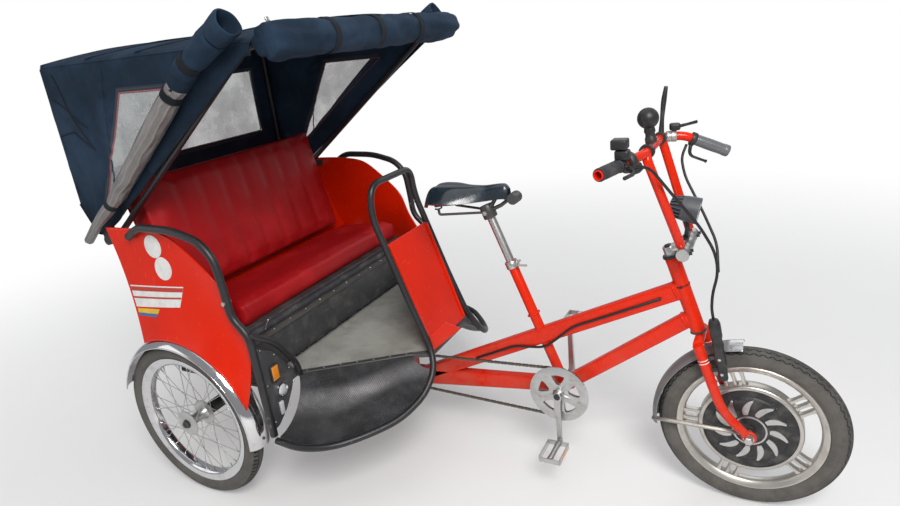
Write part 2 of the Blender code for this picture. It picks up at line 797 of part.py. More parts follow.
def rear_chassis():
    """Two rails, cross members and axle plates under the body, welded."""
    low = Rail_z - Rail_height / 2
    high = Rail_z + Rail_height / 2
    pieces = []
    for side in (1, -1):
        inner, outer = side * Rail_y - Rail_width / 2, side * Rail_y + Rail_width / 2
        pieces.append(box("rail", (Rail_rear_x, inner, low), (Cross_front_x, outer, high), Orange))
        plate_low = Rear_wheel_radius - Axle_tube_radius - Overrun / 2
        pieces.append(box("axle_plate", (-Axle_tube_radius * 2, inner + Rail_width / 3, plate_low),
                          (Axle_tube_radius * 2, outer - Rail_width / 3, low + Overrun / 4),
                          Orange))
    for x in (Rail_rear_x, Cross_front_x - Rail_width):
        pieces.append(box("cross", (x, -Rail_y, low), (x + Rail_width, Rail_y, high), Orange))
    chassis = join(*pieces)
    chassis.name = "rear_chassis"
    spine_low = Stay_rear_z - Stay_rear_height / 2 + Overrun / 4
    run = Vector((Bracket_x - Stay_rear_x, 0, Bracket_z - Stay_rear_z)).normalized()
    hanger_end = Stay_rear_x - run.z * Stay_rear_height / 2 - Gap
    hanger = box("hanger", (Cross_front_x - Rail_width, -Stay_width / 2, spine_low),
                 (hanger_end, Stay_width / 2, low + Overrun / 4), Orange)
    return join(chassis, hanger)


def rear_axle():
    """A fixed axle tube with the gearcase and a stub through each hub."""
    middle = Rear_wheel_radius
    end = Half_track - Axle_tube_inset
    axle = rod("rear_axle", (0, -end, middle), (0, end, middle), Axle_tube_radius, Black_steel, 16)
    case = rod("case", (0, -Gearcase_width / 2, middle), (0, Gearcase_width / 2, middle),
               Gearcase_radius, Black_steel, 20)
    outer = Half_track + Rear_hub_width / 2
    stub = rod("stub", (0, -outer - Axle_nut_width, middle), (0, outer + Axle_nut_width, middle),
               Axle_stub_radius, Black_steel, 12)
    nuts = []
    for side in (1, -1):
        first, last = side * (outer + Gap), side * (outer + Axle_nut_width - Gap)
        nuts.append(rod("nut", (0, first, middle), (0, last, middle), Axle_nut_radius,
                        Black_steel, 6))
    case_end = rod("case_cut", (0, -Gearcase_width, middle),
                   (0, -Sprocket_seat, middle), Gearcase_radius + Overrun, Black_steel, 20)
    case = cut(case, case_end)
    return join(axle, case, stub, *nuts)


def arc(centre, radius, first, last, count):
    """Points on an arc, as (across, up) pairs, angles in radians from the first axis."""
    return [(centre[0] + radius * math.cos(first + (last - first) * step / count),
             centre[1] + radius * math.sin(first + (last - first) * step / count))
            for step in range(count + 1)]


# Drive

def loop_outline(radius_front, radius_rear, steps=14):
    """The outline of a belt round the chainring and the sprocket, seen from the side."""
    front, rear = (Bracket_x, Bracket_z), (0.0, Rear_wheel_radius)
    run = math.hypot(front[0] - rear[0], front[1] - rear[1])
    tilt = math.atan2(front[1] - rear[1], front[0] - rear[0])
    lift = math.acos((radius_front - radius_rear) / run)
    return (arc(front, radius_front, tilt - lift, tilt + lift, steps * 2)
            + arc(rear, radius_rear, tilt + lift, tilt - lift + Turn, steps))


def chain():
    """The chain's closed run, outer and inner edge."""
    return plate("chain", loop_outline(Chainring_radius + Chain_half_height,
                                       Sprocket_radius + Chain_half_height),
                 Chain_width, Chain_steel, Along, (0, Chain_y, 0),
                 [loop_outline(Chainring_radius - Chain_half_height,
                               Sprocket_radius - Chain_half_height)])


def toothed(radius):
    """A sprocket's disc just inside the chain."""
    return arc((0, 0), radius - Chain_half_height - Gap * 3, 0, Turn, 24)[:-1]


def guard_windows(name, thickness, y):
    """Cutters for the petal windows through chainring and guard."""
    inner, outer = Guard_radius * 0.36, Guard_radius * 0.70
    cutters = []
    for index in range(Guard_windows):
        middle = Turn * index / Guard_windows + math.pi / 2
        spread = math.radians(20)
        outline = (arc((0, 0), outer, middle - spread, middle + spread, 3)
                   + arc((0, 0), inner, middle + spread * 0.45, middle - spread * 0.45, 2))
        cutters.append(plate(name, outline, thickness, Silver, Along,
                             (Bracket_x, y, Bracket_z)))
    return cutters


def crank_arm(name, side, down):
    """A flat tapered arm from the spindle to the pedal's eye."""
    half, eye = Crank_width / 2, Crank_width * 0.42
    outline = (arc((0, 0), half * 1.2, 0, math.pi, 8)
               + arc((0, -Crank_length), eye, math.pi, Turn, 8))
    turn = Along if down else Matrix.Rotation(math.pi, 4, "Y") @ Along
    return plate(name, outline, Crank_thickness, Silver, turn,
                 (Bracket_x, side * Crank_y, Bracket_z))


def crankset():
    """Spindle, both arms, chainring and guard disc as one turning piece."""
    bracket = Vector((Bracket_x, 0, Bracket_z))
    guard_y = Chain_y - Chain_width / 2 - Guard_gap - Guard_thickness / 2
    ring = plate("ring", toothed(Chainring_radius), Ring_thickness, Silver, Along,
                 (Bracket_x, Chain_y, Bracket_z))
    guard = plate("guard", arc((0, 0), Guard_radius, 0, Turn, 32)[:-1], Guard_thickness,
                  Silver, Along, (Bracket_x, guard_y, Bracket_z))
    ring = cut(ring, *guard_windows("window", Overrun, Chain_y))
    guard = cut(guard, *guard_windows("window", Overrun, guard_y))
    boss = rod("boss", bracket + Vector((0, Chain_y + Ring_thickness, 0)),
               bracket + Vector((0, -Crank_y, 0)), Guard_radius * 0.22, Silver, 12)
    reach = Vector((0, Crank_y + Crank_thickness / 4, 0))
    spindle = rod("crankset", bracket + reach, bracket - reach, Spindle_radius, Silver, 12)
    return join(spindle, boss, ring, guard, crank_arm("right", -1, True),
                crank_arm("left", 1, False))


def pedal(side_name, side, up):
    """A cage pedal with its barrel, and the axle's end in the crank's eye left clear."""
    centre = Vector((Bracket_x, side * (Crank_y + Crank_thickness / 2 + Pedal_gap
                                        + Pedal_length / 2), Bracket_z + up * Crank_length))
    x, y, z = Pedal_width / 2, Pedal_length / 2, Pedal_height / 2
    body = box("pedal_" + side_name, centre - Vector((x, y, z)), centre + Vector((x, y, z)), Silver)
    tools = []
    for end in (1, -1):
        inner = Pedal_barrel_radius * 1.1
        low = centre + Vector((min(end * inner, end * (x - Pedal_rail)), -y + Pedal_rail, -z * 2))
        high = centre + Vector((max(end * inner, end * (x - Pedal_rail)), y - Pedal_rail, z * 2))
        tools.append(box("window", low, high, Silver))
    body = cut(body, *tools)
    axle_end = centre - Vector((0, side * (Pedal_length / 2 + Pedal_gap - Gap), 0))
    body = join(body, rod("axle", centre, axle_end, Pedal_axle_radius, Silver, 12))
    return centre, body


# Steered pieces

def fork():
    """Steerer, crown and two raked, tapered legs."""
    steerer = rod("fork", on_steering(-Crown_drop / 2), on_steering(Head_length + Stem_seat),
                  Steerer_radius, Orange, 16)
    crown = rod("crown", on_steering(-Gap - Crown_drop / 2, 0, Fork_half_width),
                on_steering(-Gap - Crown_drop / 2, 0, -Fork_half_width),
                Crown_drop / 2, Orange, 16)
    legs = []
    for side in (1, -1):
        y = side * Fork_half_width
        start = on_steering(-Crown_drop / 2, 0, y)
        middle = on_steering(-Fork_straight, 0, y)
        end = Front_axle + Vector((0, y, 0))
        path = rounded((start, middle, end), Fork_bend, 4)
        share = len(path) - 1
        radii = [Fork_top_radius + (Fork_tip_radius - Fork_top_radius) * n / share
                 for n in range(len(path))]
        legs.append(tube("leg", path, Fork_top_radius, Orange, 2, False, radii))
        legs.append(rod("tip", end + Vector((0, Fork_tip_radius, 0)),
                        end - Vector((0, Fork_tip_radius, 0)), Fork_eye_radius, Orange, 16))
    body = join(steerer, crown, *legs)
    bore = rod("bore", Front_axle + Vector((0, Fork_half_width * 2, 0)),
               Front_axle - Vector((0, Fork_half_width * 2, 0)), Axle_stub_radius + Gap, Orange, 12)
    return cut(body, bore)


def front_axle_rod():
    """The axle with a nut outside each fork leg."""
    nut_face = Fork_half_width + Fork_tip_radius + Gap
    axle = rod("front_axle", Front_axle + Vector((0, nut_face + Axle_nut_width, 0)),
               Front_axle - Vector((0, nut_face + Axle_nut_width, 0)), Axle_stub_radius, Silver, 12)
    nuts = []
    for side in (1, -1):
        first = Front_axle + Vector((0, side * nut_face, 0))
        last = Front_axle + Vector((0, side * (nut_face + Axle_nut_width - Gap), 0))
        nuts.append(rod("nut", first, last, Axle_nut_radius, Silver, 6))
    return join(axle, *nuts)


def stem():
    """A short neck and the cross clamp that carries the risers."""
    clamp_centre = Vector((Clamp_x, 0, Clamp_z))
    neck = rod("stem", on_steering(Head_length + Gap), on_steering(Head_length + Neck_rise),
               Neck_radius, Silver, 16)
    arm = rod("arm", on_steering(Head_length + Neck_rise * 0.7), clamp_centre, Neck_radius * 0.8,
              Silver, 16)
    cross = rod("cross", clamp_centre + Vector((0, Clamp_half_width, 0)),
                clamp_centre - Vector((0, Clamp_half_width, 0)), Clamp_radius, Silver, 16)
    body = join(neck, arm, cross)
    bore = rod("bore", on_steering(Head_length - Overrun), on_steering(Head_length + Stem_seat + Gap),
               Steerer_radius + Gap, Silver, 16)
    return cut(body, bore)


def handlebar():
    """Twin risers under a cross bar, the right end swept out and the left turned ahead."""
    left_top = Vector((Bar_x, Bar_half, Bar_z))
    right_top = Vector((Bar_x, -Bar_half, Bar_z))
    left_seat = Vector((Clamp_x, Riser_half, Clamp_z))
    rise = (left_top - left_seat).normalized()
    left_foot = left_seat + rise * (Clamp_radius + Gap + Bar_radius * rise.y)
    right_foot = Vector((left_foot.x, -left_foot.y, left_foot.z))
    risers = tube("handlebar", rounded((left_foot, left_top, right_top, right_foot), Bar_bend, 3),
                  Bar_radius, Orange)
    right = tube("right", rounded((right_top + Vector((0, Bar_bend, 0)), right_top, Right_end),
                                  Bar_bend, 3), Bar_radius, Orange)
    left = tube("left", rounded((left_top - Vector((0, Bar_bend, 0)), left_top, Left_knee,
                                 Left_end), Left_bend, 3), Bar_radius, Orange)
    return join(risers, right, left)


def sleeve(name, start, end, inner, outer, material, sides=16):
    """A round sleeve over a bar."""
    start, end = Vector(start), Vector(end)
    along = (end - start).normalized()
    body = rod(name, start, end, outer, material, sides)
    return cut(body, rod("bore", start - along * Overrun, end + along * Overrun, inner, material,
                         sides))


def grips():
    """The rider's grips near the two bar ends."""
    made = []
    for side_name, end, before in (("right", Right_end, Vector((Bar_x, -Bar_half, Bar_z))),
                                   ("left", Left_end, Left_knee)):
        along = (before - end).normalized()
        made.append(sleeve("grip_" + side_name, end + along * Grip_inset,
                           end + along * (Grip_inset + Grip_length), Bar_radius + Gap,
                           Grip_radius, Grey_plastic))
    return made


def controls():
    """A clamp and lever for each hand."""
    made = []
    for side_name, end, before in (("right", Right_end, Vector((Bar_x, -Bar_half, Bar_z))),
                                   ("left", Left_end, Left_knee)):
        along = (before - end).normalized()
        start = end + along * (Grip_inset + Grip_length + Gap)
        clamp = sleeve("brake_lever_" + side_name, start, start + along * Lever_clamp_width,
                       Bar_radius + Gap, Grip_radius * 1.1, Black_plastic)
        ahead = Vector((0, 0, -1)) if side_name == "left" else Vector((1, 0, -0.3))
        ahead = (ahead - along * ahead.dot(along)).normalized()
        root = start + along * Lever_clamp_width / 2 + ahead * Grip_radius
        knee = root + ahead * Lever_reach - along * Lever_reach * 0.3
        tip = knee - along * Lever_length
        lever = tube("lever", rounded((root, knee, tip), Lever_reach, 4), Lever_radius,
                     Black_plastic)
        unit = join(clamp, lever)
        if side_name == "right":
            seat = start + along * Lever_clamp_width / 2
            top = seat + Vector((0, 0, Switch_rise))
            half = Vector((Switch_side, Switch_side, Switch_height)) / 2
            post = rod("post", seat + Vector((0, 0, Grip_radius)), top, Switch_post, Black_plastic, 8)
            unit = join(unit, post, box("switch", top - half, top + half, Black_plastic))
        made.append(unit)
    return made


def brake_cables():
    """The cables of both levers, down ahead of the risers and on to the front brake."""
    low = on_steering(-Brake_low, Brake_low_ahead, -Fork_half_width)
    high = on_steering(Brake_high, Brake_high_ahead, -Fork_half_width)
    along = (high - low).normalized()
    top = high + along * Gap
    right_line, left_line = [[Vector((Wheelbase - back, y, Head_bottom_z + rise))
                              for back, y, rise in route] for route in (Right_cable, Left_cable)]
    right = tube("brake_cables", rounded([*right_line, top + along * Cable_bend, top],
                                          Cable_bend, 3),
                 Cable_radius, Cable)
    left = tube("left", rounded(left_line, Cable_bend, 3), Cable_radius, Cable)
    return join(right, left)


def frame_cable():
    """The cable on the main beam's right side, sagging once before the seat tube."""
    y = -(Beam_width / 2 + Gap + Frame_cable_radius)
    line = [(x, y, z) for x, z in Frame_cable_line]
    return tube("frame_cable", rounded(line, Cable_bend, 3), Frame_cable_radius, Cable)


def horn():
    """A rubber bulb on a short neck above the cross bar."""
    base = Vector((Bar_x, Horn_y, Bar_z + Bar_radius + Gap))
    bulb = base + Vector((-Horn_back, 0, Horn_neck + Horn_radius))
    mesh = bpy.data.meshes.new("horn_bulb")
    work = bmesh.new()
    bmesh.ops.create_uvsphere(work, u_segments=12, v_segments=8, radius=Horn_radius)
    bmesh.ops.translate(work, vec=bulb, verts=work.verts)
    work.to_mesh(mesh)
    work.free()
    ball = place("horn_bulb", mesh, Black_plastic)
    return join(ball, rod("neck", base, bulb, Horn_radius * 0.4, Black_plastic, 12))


def headlamp():
    """A finned round lamp on a bracket from the stem's clamp."""
    centre = Vector((Lamp_x, 0, Lamp_z))
    along = Vector((math.cos(Lamp_tilt), 0, -math.sin(Lamp_tilt)))
    back = centre - along * Lamp_length / 2
    body = rod("headlamp", back, back + along * Lamp_length, Lamp_radius * 0.8, Grey_plastic, 14,
               Lamp_radius)
    fins = []
    for index in range(Lamp_fins):
        start = back + along * Lamp_length * (0.12 + index / Lamp_fins / 2)
        fins.append(rod("fin", start, start + along * Lamp_length * 0.05, Lamp_radius * 1.05,
                        Grey_plastic, 14))
    foot = Vector((Clamp_x - Clamp_radius * 0.3, 0, Clamp_z + Clamp_radius + Gap))
    arm = rod("arm", foot, centre, Lamp_radius * 0.22, Grey_plastic, 8)
    return join(body, arm, *fins)


def guard_shell(name, centre, radius, width, first, last, material, steps=14):
    """A mudguard: a crowned strip round part of a wheel."""
    rows = []
    for side, drop in Guard_crown_shares:
        rows.append([(x, centre[1] + side * width, z) for x, z in
                     arc((centre[0], centre[2]), radius - drop * width, first, last, steps)])
    return skin(name, rows, Mudguard_thickness, material)


def front_mudguard():
    """A short guard behind the fork crown with a flat stay each side."""
    radius = Front_wheel_radius + Front_guard_gap
    guard = guard_shell("front_mudguard", Front_axle, radius, Front_guard_width,
                        Front_guard_first, Front_guard_last, Grey_plastic, 10)
    stays = []
    for side in (1, -1):
        y = side * (Fork_half_width - Fork_tip_radius - Stay_eye / 2 - Gap)
        eye = Front_axle + Vector((0, y, 0))
        angle = Front_guard_last - math.radians(3)
        tip = Front_axle + Vector((math.cos(angle) * radius, side * Front_guard_width * 0.38,
                                   math.sin(angle) * radius))
        stays.append(tube("stay", rounded((eye, Vector((eye.x - Stay_run, y, eye.z)), tip), Stay_bend, 2),
                          Stay_strip / 2, Grey_plastic, 1))
        stays.append(rod("eye", eye + Vector((0, Stay_eye / 2, 0)),
                         eye - Vector((0, Stay_eye / 2, 0)), Axle_nut_radius, Grey_plastic, 12))
    body = join(guard, *stays)
    bore = rod("bore", Front_axle + Vector((0, Fork_half_width * 2, 0)),
               Front_axle - Vector((0, Fork_half_width * 2, 0)), Axle_stub_radius + Gap,
               Grey_plastic, 12)
    return cut(body, bore)


# Body

def mirror_pair(piece, stem_name):
    """Rename a right-hand piece and add its mirror image on the left."""
    piece = plain(piece)
    piece.name = stem_name + "_right"
    mirrored(piece, stem_name + "_left")
    return piece


def step_edge(share):
    """The floor's side edge and the step's rim at a share of the way forward, right side."""
    index = min(int(share * (len(Rim_points) - 1)), len(Rim_points) - 2)
    rest = share * (len(Rim_points) - 1) - index
    rim = Vector(Rim_points[index]).lerp(Vector(Rim_points[index + 1]), rest)
    start = Vector((Front_panel_x + Panel_thickness, -Front_panel_inner, Floor_z))
    end = Vector((Step_front_x, -Step_front_half, Floor_z))
    return start.lerp(end, share), rim


def step():
    """A coved step from the floor's edge down and out to the rim tube."""
    rows = []
    edge_run = (step_edge(1.0)[0] - step_edge(0.0)[0]).normalized()
    out = Vector((edge_run.y, -edge_run.x, 0)) * (Panel_thickness / 2 + Gap * 2)
    for down in range(6):
        angle = math.pi / 2 * down / 5
        row = []
        for along in range(10):
            edge, rim = step_edge(along / 9)
            reach = rim - edge
            flat = Vector((reach.x, reach.y, 0))
            inset = 1 - (Rim_radius + Panel_thickness) / flat.length
            spot = edge + out + (flat * inset - out) * (1 - math.cos(angle))
            spot.z = edge.z + reach.z * math.sin(angle)
            row.append(spot)
        rows.append(row)
    return skin("step", rows, Panel_thickness, Black_plastic)


def side_flare(height):
    """How far the side stands out at its rear edge, by height."""
    bottom = Rear_wheel_radius + (Rear_wheel_radius + Arch_gap) * math.sin(Arch_rear)
    top = Side_top_line[0][1]
    return Side_flare * (1 - (height - bottom) / (top - bottom)) ** 2


def side_panel():
    """A moulded side that flares out over the wheel and dips in front of the arm rest."""
    rows = []
    top = [Vector((x, 0, z)) for x, z in Side_top_line]
    arch = Rear_wheel_radius + Arch_gap
    count = 12
    for level in range(5):
        share = level / 4
        row = []
        for step_along in range(count + 1):
            s = step_along / count
            angle = Arch_rear + (Arch_front - Arch_rear) * s
            bottom = Vector((arch * math.cos(angle), 0, Rear_wheel_radius + arch * math.sin(angle)))
            place_on = s * (len(top) - 1)
            index = min(int(place_on), len(top) - 2)
            upper = top[index].lerp(top[index + 1], place_on - index)
            spot = bottom.lerp(upper, share)
            spot.y = -Body_half_width - Side_flare * (1 - share) ** 2
            row.append(spot)
        rows.append(row)
    return skin("side", rows, Panel_thickness, Orange)


def front_side_panel():
    """The forward facing panel beside the step, with its reflectors and lamp."""
    body = plate("front_side", Front_side_outline, Panel_thickness, Grey_panel, Across,
                 (Front_panel_x, 0, 0))
    face = Front_panel_x + Panel_thickness / 2
    pieces = []
    for inset, z, wide, tall in Reflector_insets:
        y = inset - Body_half_width
        pieces.append(box("reflector", (face - Panel_thickness / 2, y - wide / 2, z - tall / 2),
                          (face + Lens_depth, y + wide / 2, z + tall / 2), Grey_panel))
    lamp_y, lamp_z = Marker_inset - Body_half_width, Marker_z
    pieces.append(rod("lamp", (face - Panel_thickness / 2, lamp_y, lamp_z),
                      (face + Lens_depth * 1.5, lamp_y, lamp_z), Marker_radius, Grey_panel, 20))
    return join(body, *pieces)


def seat_base():
    """The bench box, open below onto the floor, its lid sloping back."""
    low = Floor_z + Gap
    half = Seat_box_half
    rear_lid = Seat_rear_z - Seat_thickness - Gap
    front_lid = Seat_front_z - Seat_thickness - Gap
    slope = (front_lid - rear_lid) / (Seat_front_x - Seat_box_rear)
    outer = [(Seat_box_rear, low), (Kick_x, low), (Kick_x, front_lid), (Seat_box_rear, rear_lid)]
    wall = Board_thickness
    inner = [(Seat_box_rear + wall, low - Overrun), (Kick_x - wall, low - Overrun),
             (Kick_x - wall, front_lid - wall - slope * wall),
             (Seat_box_rear + wall, rear_lid - wall)]
    body = plate("seat_base", outer, half * 2, Black_plastic, Along)
    return cut(body, plate("hollow", inner, half * 2 - wall * 2, Black_plastic, Along))


def back_board():
    """The sloping board behind the back rest, stepped in above the body's top edge."""
    low, shoulder, high = Vector(Board_foot), Vector(Board_shoulder), Vector(Board_head)
    rise = (shoulder - low).length
    half = []
    for step_up in range(5):
        share = step_up / 4
        wide = (Body_half_width - Panel_thickness / 2 - Gap * 4
                + side_flare(low.lerp(shoulder, share).z))
        half.append((wide, rise * share))
    narrow = Back_half_width - Overrun
    slope = (high - low).normalized()
    half += [(narrow, rise), (narrow, (high - low).length)]
    outline = half + [(-across, up) for across, up in reversed(half)]
    normal = Vector((slope.z, 0, -slope.x))
    turn = Matrix(((0, slope.x, normal.x, 0), (1, 0, 0, 0), (0, slope.z, normal.z, 0),
                   (0, 0, 0, 1)))
    return plate("back_board", outline, Panel_thickness, Orange, turn, low)


def cushion(name, outline, half_width, round_over):
    """A padded block from its side outline, its edges rounded."""
    piece = plain(plate(name, outline, half_width * 2, Red_cloth, Along))
    soft = piece.modifiers.new("Round", "BEVEL")
    soft.width = round_over
    soft.segments = 2
    soft.limit_method = "ANGLE"
    return plain(piece)


def floor():
    """The floor board, narrowing to the front between the steps."""
    edge, _ = step_edge(0.0)
    end, _ = step_edge(1.0)
    behind_panel = Front_panel_x - Panel_thickness / 2 - Gap
    half = [(Seat_box_rear, -Seat_box_half), (behind_panel, -Seat_box_half),
            (behind_panel, edge.y), (edge.x, edge.y), (end.x, end.y),
            (Floor_front_x, -Floor_front_half)]
    outline = half + [(x, -y) for x, y in reversed(half)]
    return plate("floor", outline, Floor_thickness, Grey_panel, None,
                 (0, 0, Floor_z - Floor_thickness / 2))


def carpet():
    """The carpet between the kick panel and the bulkhead's foot."""
    edge, _ = step_edge(0.0)
    end, _ = step_edge(1.0)
    half = [(Kick_x + Gap, edge.y + Carpet_margin), (edge.x, edge.y + Carpet_margin),
            (end.x, end.y + Carpet_margin),
            (Floor_front_x - Carpet_margin, Carpet_margin - Floor_front_half)]
    outline = half + [(x, -y) for x, y in reversed(half)]
    return plate("carpet", outline, Carpet_thickness, Carpet, None,
                 (0, 0, Floor_z + Gap + Carpet_thickness / 2))


def arm_tube():
    """The tube over the arm rest and down the front corner, with a branch to the floor."""
    main = [(x, -Arm_y, z) for x, z in Arm_line]
    tube_main = tube("arm", rounded(main, Arm_bend, 2), Arm_radius, Black_steel)
    branch = tube("branch", rounded([Vector((x, inset - Body_half_width, z))
                                     for x, inset, z in Branch_insets], Arm_bend, 2),
                  Arm_radius * 0.8, Black_steel)
    return join(tube_main, branch)


def hoop():
    """One tube: the rim of both steps and the guard hoop between them."""
    right = [Vector(p) for p in Rim_points] + [Vector(p) for p in Hoop_leg]
    left = [Vector((p.x, -p.y, p.z)) for p in reversed(right)]
    return tube("front_hoop", rounded(right + left, Hoop_bend, 2), Rim_radius, Black_steel)


# Hood

def hood_section(inset):
    """The hood's cross section: upright sides and a cambered roof, as (y, z) points."""
    half = Hood_half_width - inset
    roof = []
    for step_across in range(13):
        share = step_across / 6 - 1
        roof.append((half * share, Hood_side_z - inset + Hood_camber * (1 - share ** 2)))
    return [(half, Hood_cut_low), *reversed(roof), (-half, Hood_cut_low)]


def hood_cover():
    """Roof, sides and back of the hood as one shell, cut open ahead of the front bow."""
    length = Hood_front_x - Hood_rear_x
    middle = (Hood_front_x + Hood_rear_x) / 2
    outer = plate("hood_cover", hood_section(0), length, Hood_cloth, Across, (middle, 0, 0))
    inner = plate("inner", hood_section(Hood_thickness), length, Hood_cloth, Across,
                  (middle + Hood_thickness, 0, 0))
    below = plate("below", Hood_opening, Hood_half_width * 3, Hood_cloth, Along)
    side_window = plate("side", Side_window, Hood_half_width * 3, Hood_cloth, Along)
    rear_window = box("rear", (Hood_rear_x - Overrun, -Rear_window_half, Rear_window_low),
                      (Hood_rear_x + Overrun, Rear_window_half, Window_top_z), Hood_cloth)
    return cut(outer, inner, below, side_window, rear_window)


def side_window_sheet():
    """The clear sheet that fills the side window's frame."""
    centre_x = sum(x for x, z in Side_window) / len(Side_window)
    centre_z = sum(z for x, z in Side_window) / len(Side_window)
    shrink = 1 - Gap * 4 / (Window_top_z - centre_z)
    outline = [(centre_x + (x - centre_x) * shrink, centre_z + (z - centre_z) * shrink)
               for x, z in Side_window]
    return plate("side_window", outline, Hood_thickness * 0.4, Clear_sheet, Along,
                 (0, -Hood_half_width + Hood_thickness / 2, 0))


def hood_frame():
    """Two bows joined at the feet."""
    y = Hood_half_width - Hood_thickness - Gap - Bow_radius
    top = Hood_side_z - Hood_thickness - Gap - Bow_radius
    foot_x, foot_z = Hood_foot_x, Hood_foot_z
    rear_x = Hood_rear_x + Hood_thickness + Gap + Bow_radius
    front_x = Hood_front_x - Bow_radius * 2
    rear = rounded([(foot_x, -y, foot_z), (rear_x, -y, Hood_rear_low_z), (rear_x, -y, top),
                    (rear_x, y, top), (rear_x, y, Hood_rear_low_z), (foot_x, y, foot_z)],
                   Hood_bend, 3)
    front = rounded([(foot_x, -y, foot_z), (front_x, -y, top), (front_x, y, top),
                     (foot_x, y, foot_z)], Hood_bend, 3)
    frame = tube("hood_frame", rear, Bow_radius, Black_steel)
    frame = join(frame, tube("front_bow", front, Bow_radius, Black_steel))
    plates = []
    for side in (1, -1):
        plates.append(rod("foot", (foot_x, side * (y - Bow_radius), foot_z),
                          (foot_x, side * (Body_half_width - Panel_thickness / 2 - Gap), foot_z),
                          Bow_radius * 1.6, Black_steel, 12))
        plates.append(plate("cheek", Cheek_outline, Panel_thickness, Black_steel, Along,
                            (0, side * (Body_half_width - Panel_thickness - Gap), 0)))
    return join(frame, *plates)


def side_curtain():
    """The rolled side curtain strapped outside the front bow."""
    radii = [Curtain_radius * share for share in Curtain_shares]
    line = [Vector((x, -(Hood_half_width + Gap + out + radius), z))
            for (x, out, z), radius in zip(Curtain_line, radii)]
    return tube("side_curtain", line, Curtain_radius, Hood_cloth, 4, False, radii)


def front_roll():
    """The front curtain rolled up under the roof's front edge."""
    x = Hood_front_x + Gap + Front_roll_radius
    z = Hood_side_z - Front_roll_radius * 0.2
    return rod("front_curtain_roll", (x, -Hood_half_width, z), (x, Hood_half_width, z),
               Front_roll_radius, Hood_cloth, 20)


# Saddle

def saddle_rows():
    """Points over the saddle: wide back, narrow nose, its sides turned down."""
    rows = []
    for x_share, half_share, crown in Saddle_shares:
        x = Saddle_centre_x + Saddle_length * (x_share - 0.5)
        half = Saddle_width / 2 * half_share
        row = []
        for across in range(9):
            side = across / 4 - 1
            z = Saddle_top_z - Saddle_thickness * (1 - crown + Saddle_turn_share * abs(side) ** 3)
            row.append(Vector((x, half * side, z)))
        rows.append(row)
    return rows


def saddle():
    """A broad sprung saddle as one padded shell."""
    return skin("saddle", saddle_rows(), Saddle_wall, Black_plastic)


def seat_post():
    """The post in the seat tube, a clamp head under the saddle and its rails."""
    bracket = Vector((Bracket_x, 0, Bracket_z))
    top = Vector((Seat_tube_top_x, 0, Seat_tube_top_z))
    along = (top - bracket).normalized()
    low = top - along * (Post_insertion - Gap)
    high = top + along * Post_exposed
    return rod("seat_post", low, high, Post_radius, Silver, 16), high, along, top


def saddle_frame(head, along):
    """Clamp, two rails and two coil springs between post and saddle, as one solid."""
    body = rod("saddle_frame", head - along * Clamp_hold, head + along * Clamp_hold,
               Post_radius * 1.7, Black_steel, 16)
    under = Saddle_top_z - Saddle_thickness * Spring_seat_share
    pieces = []
    rear_x = Saddle_centre_x - Saddle_length * 0.34
    front_x = Saddle_centre_x + Saddle_length * 0.40
    for side in (1, -1):
        y = side * Saddle_width * 0.24
        path = rounded([Vector((rear_x, y * 1.3, under)), Vector((rear_x, y, head.z)),
                        Vector((head.x, side * Post_radius, head.z)),
                        Vector((front_x, side * Post_radius * 0.6,
                                Saddle_top_z - Saddle_wall * 0.4))], Overrun, 3)
        pieces.append(tube("rail", path, Rail_wire_radius, Black_steel))
        pieces.append(rod("spring", (rear_x, y * 1.3, under - Spring_length),
                          (rear_x, y * 1.3, under + Gap * 2), Spring_radius, Black_steel, 10))
    coil = Vector((Nose_coil_x, 0, Nose_coil_z))
    reach = Vector((0, Nose_coil_half, 0))
    pieces.append(rod("nose_coil", coil - reach, coil + reach, Nose_coil_radius, Black_steel, 14))
    pieces.append(rod("nose_link", (head.x, 0, head.z), coil, Nose_link, Black_steel, 10))
    body = join(body, *pieces)
    bore = rod("bore", head - along * Clamp_hold * 2, head + along * Gap,
               Post_radius + Gap, Black_steel, 16)
    return cut(body, bore, skin("hollow", saddle_rows(), Saddle_wall + Gap * 4, Black_steel))


def seat_clamp(top, along):
    """The collar round the seat tube's top with its quick release lever."""
    start = top - along * Collar_height
    collar = sleeve("seat_clamp", start, top - along * Gap, Seat_tube_radius + Gap,
                    Seat_tube_radius + Collar_wall, Silver, 16)
    side = Vector((0, 1, 0))
    middle = (start + top) / 2 - along.cross(side) * (Seat_tube_radius + Collar_wall)
    skewer = rod("skewer", middle + side * Collar_lever, middle - side * Collar_lever,
                 Collar_wall, Silver, 12)
    handle = rod("handle", middle - side * Collar_lever,
                 middle - side * Collar_lever + Vector((Collar_handle, 0, 0)), Collar_wall,
                 Silver, 12, Collar_wall * 0.7)
    shaft = rod("shaft", start - along * Overrun, top + along * Overrun, Seat_tube_radius + Gap,
                Silver, 16)
    return cut(join(collar, skewer, handle), shaft)


def brake_unit():
    """The rim brake's arm and cover in front of the right fork leg."""
    low = on_steering(-Brake_low, Brake_low_ahead, -Fork_half_width)
    high = on_steering(Brake_high, Brake_high_ahead, -Fork_half_width)
    body = rod("front_brake", low, high, Brake_radius * 0.8, Black_plastic, 12, Brake_radius)
    pin = rod("pin", on_steering(-Brake_pin, Brake_low_ahead, -Fork_half_width),
              on_steering(-Brake_pin, Fork_top_radius + Gap, -Fork_half_width), Brake_radius * 0.5,
              Black_plastic, 10)
    return join(body, pin)


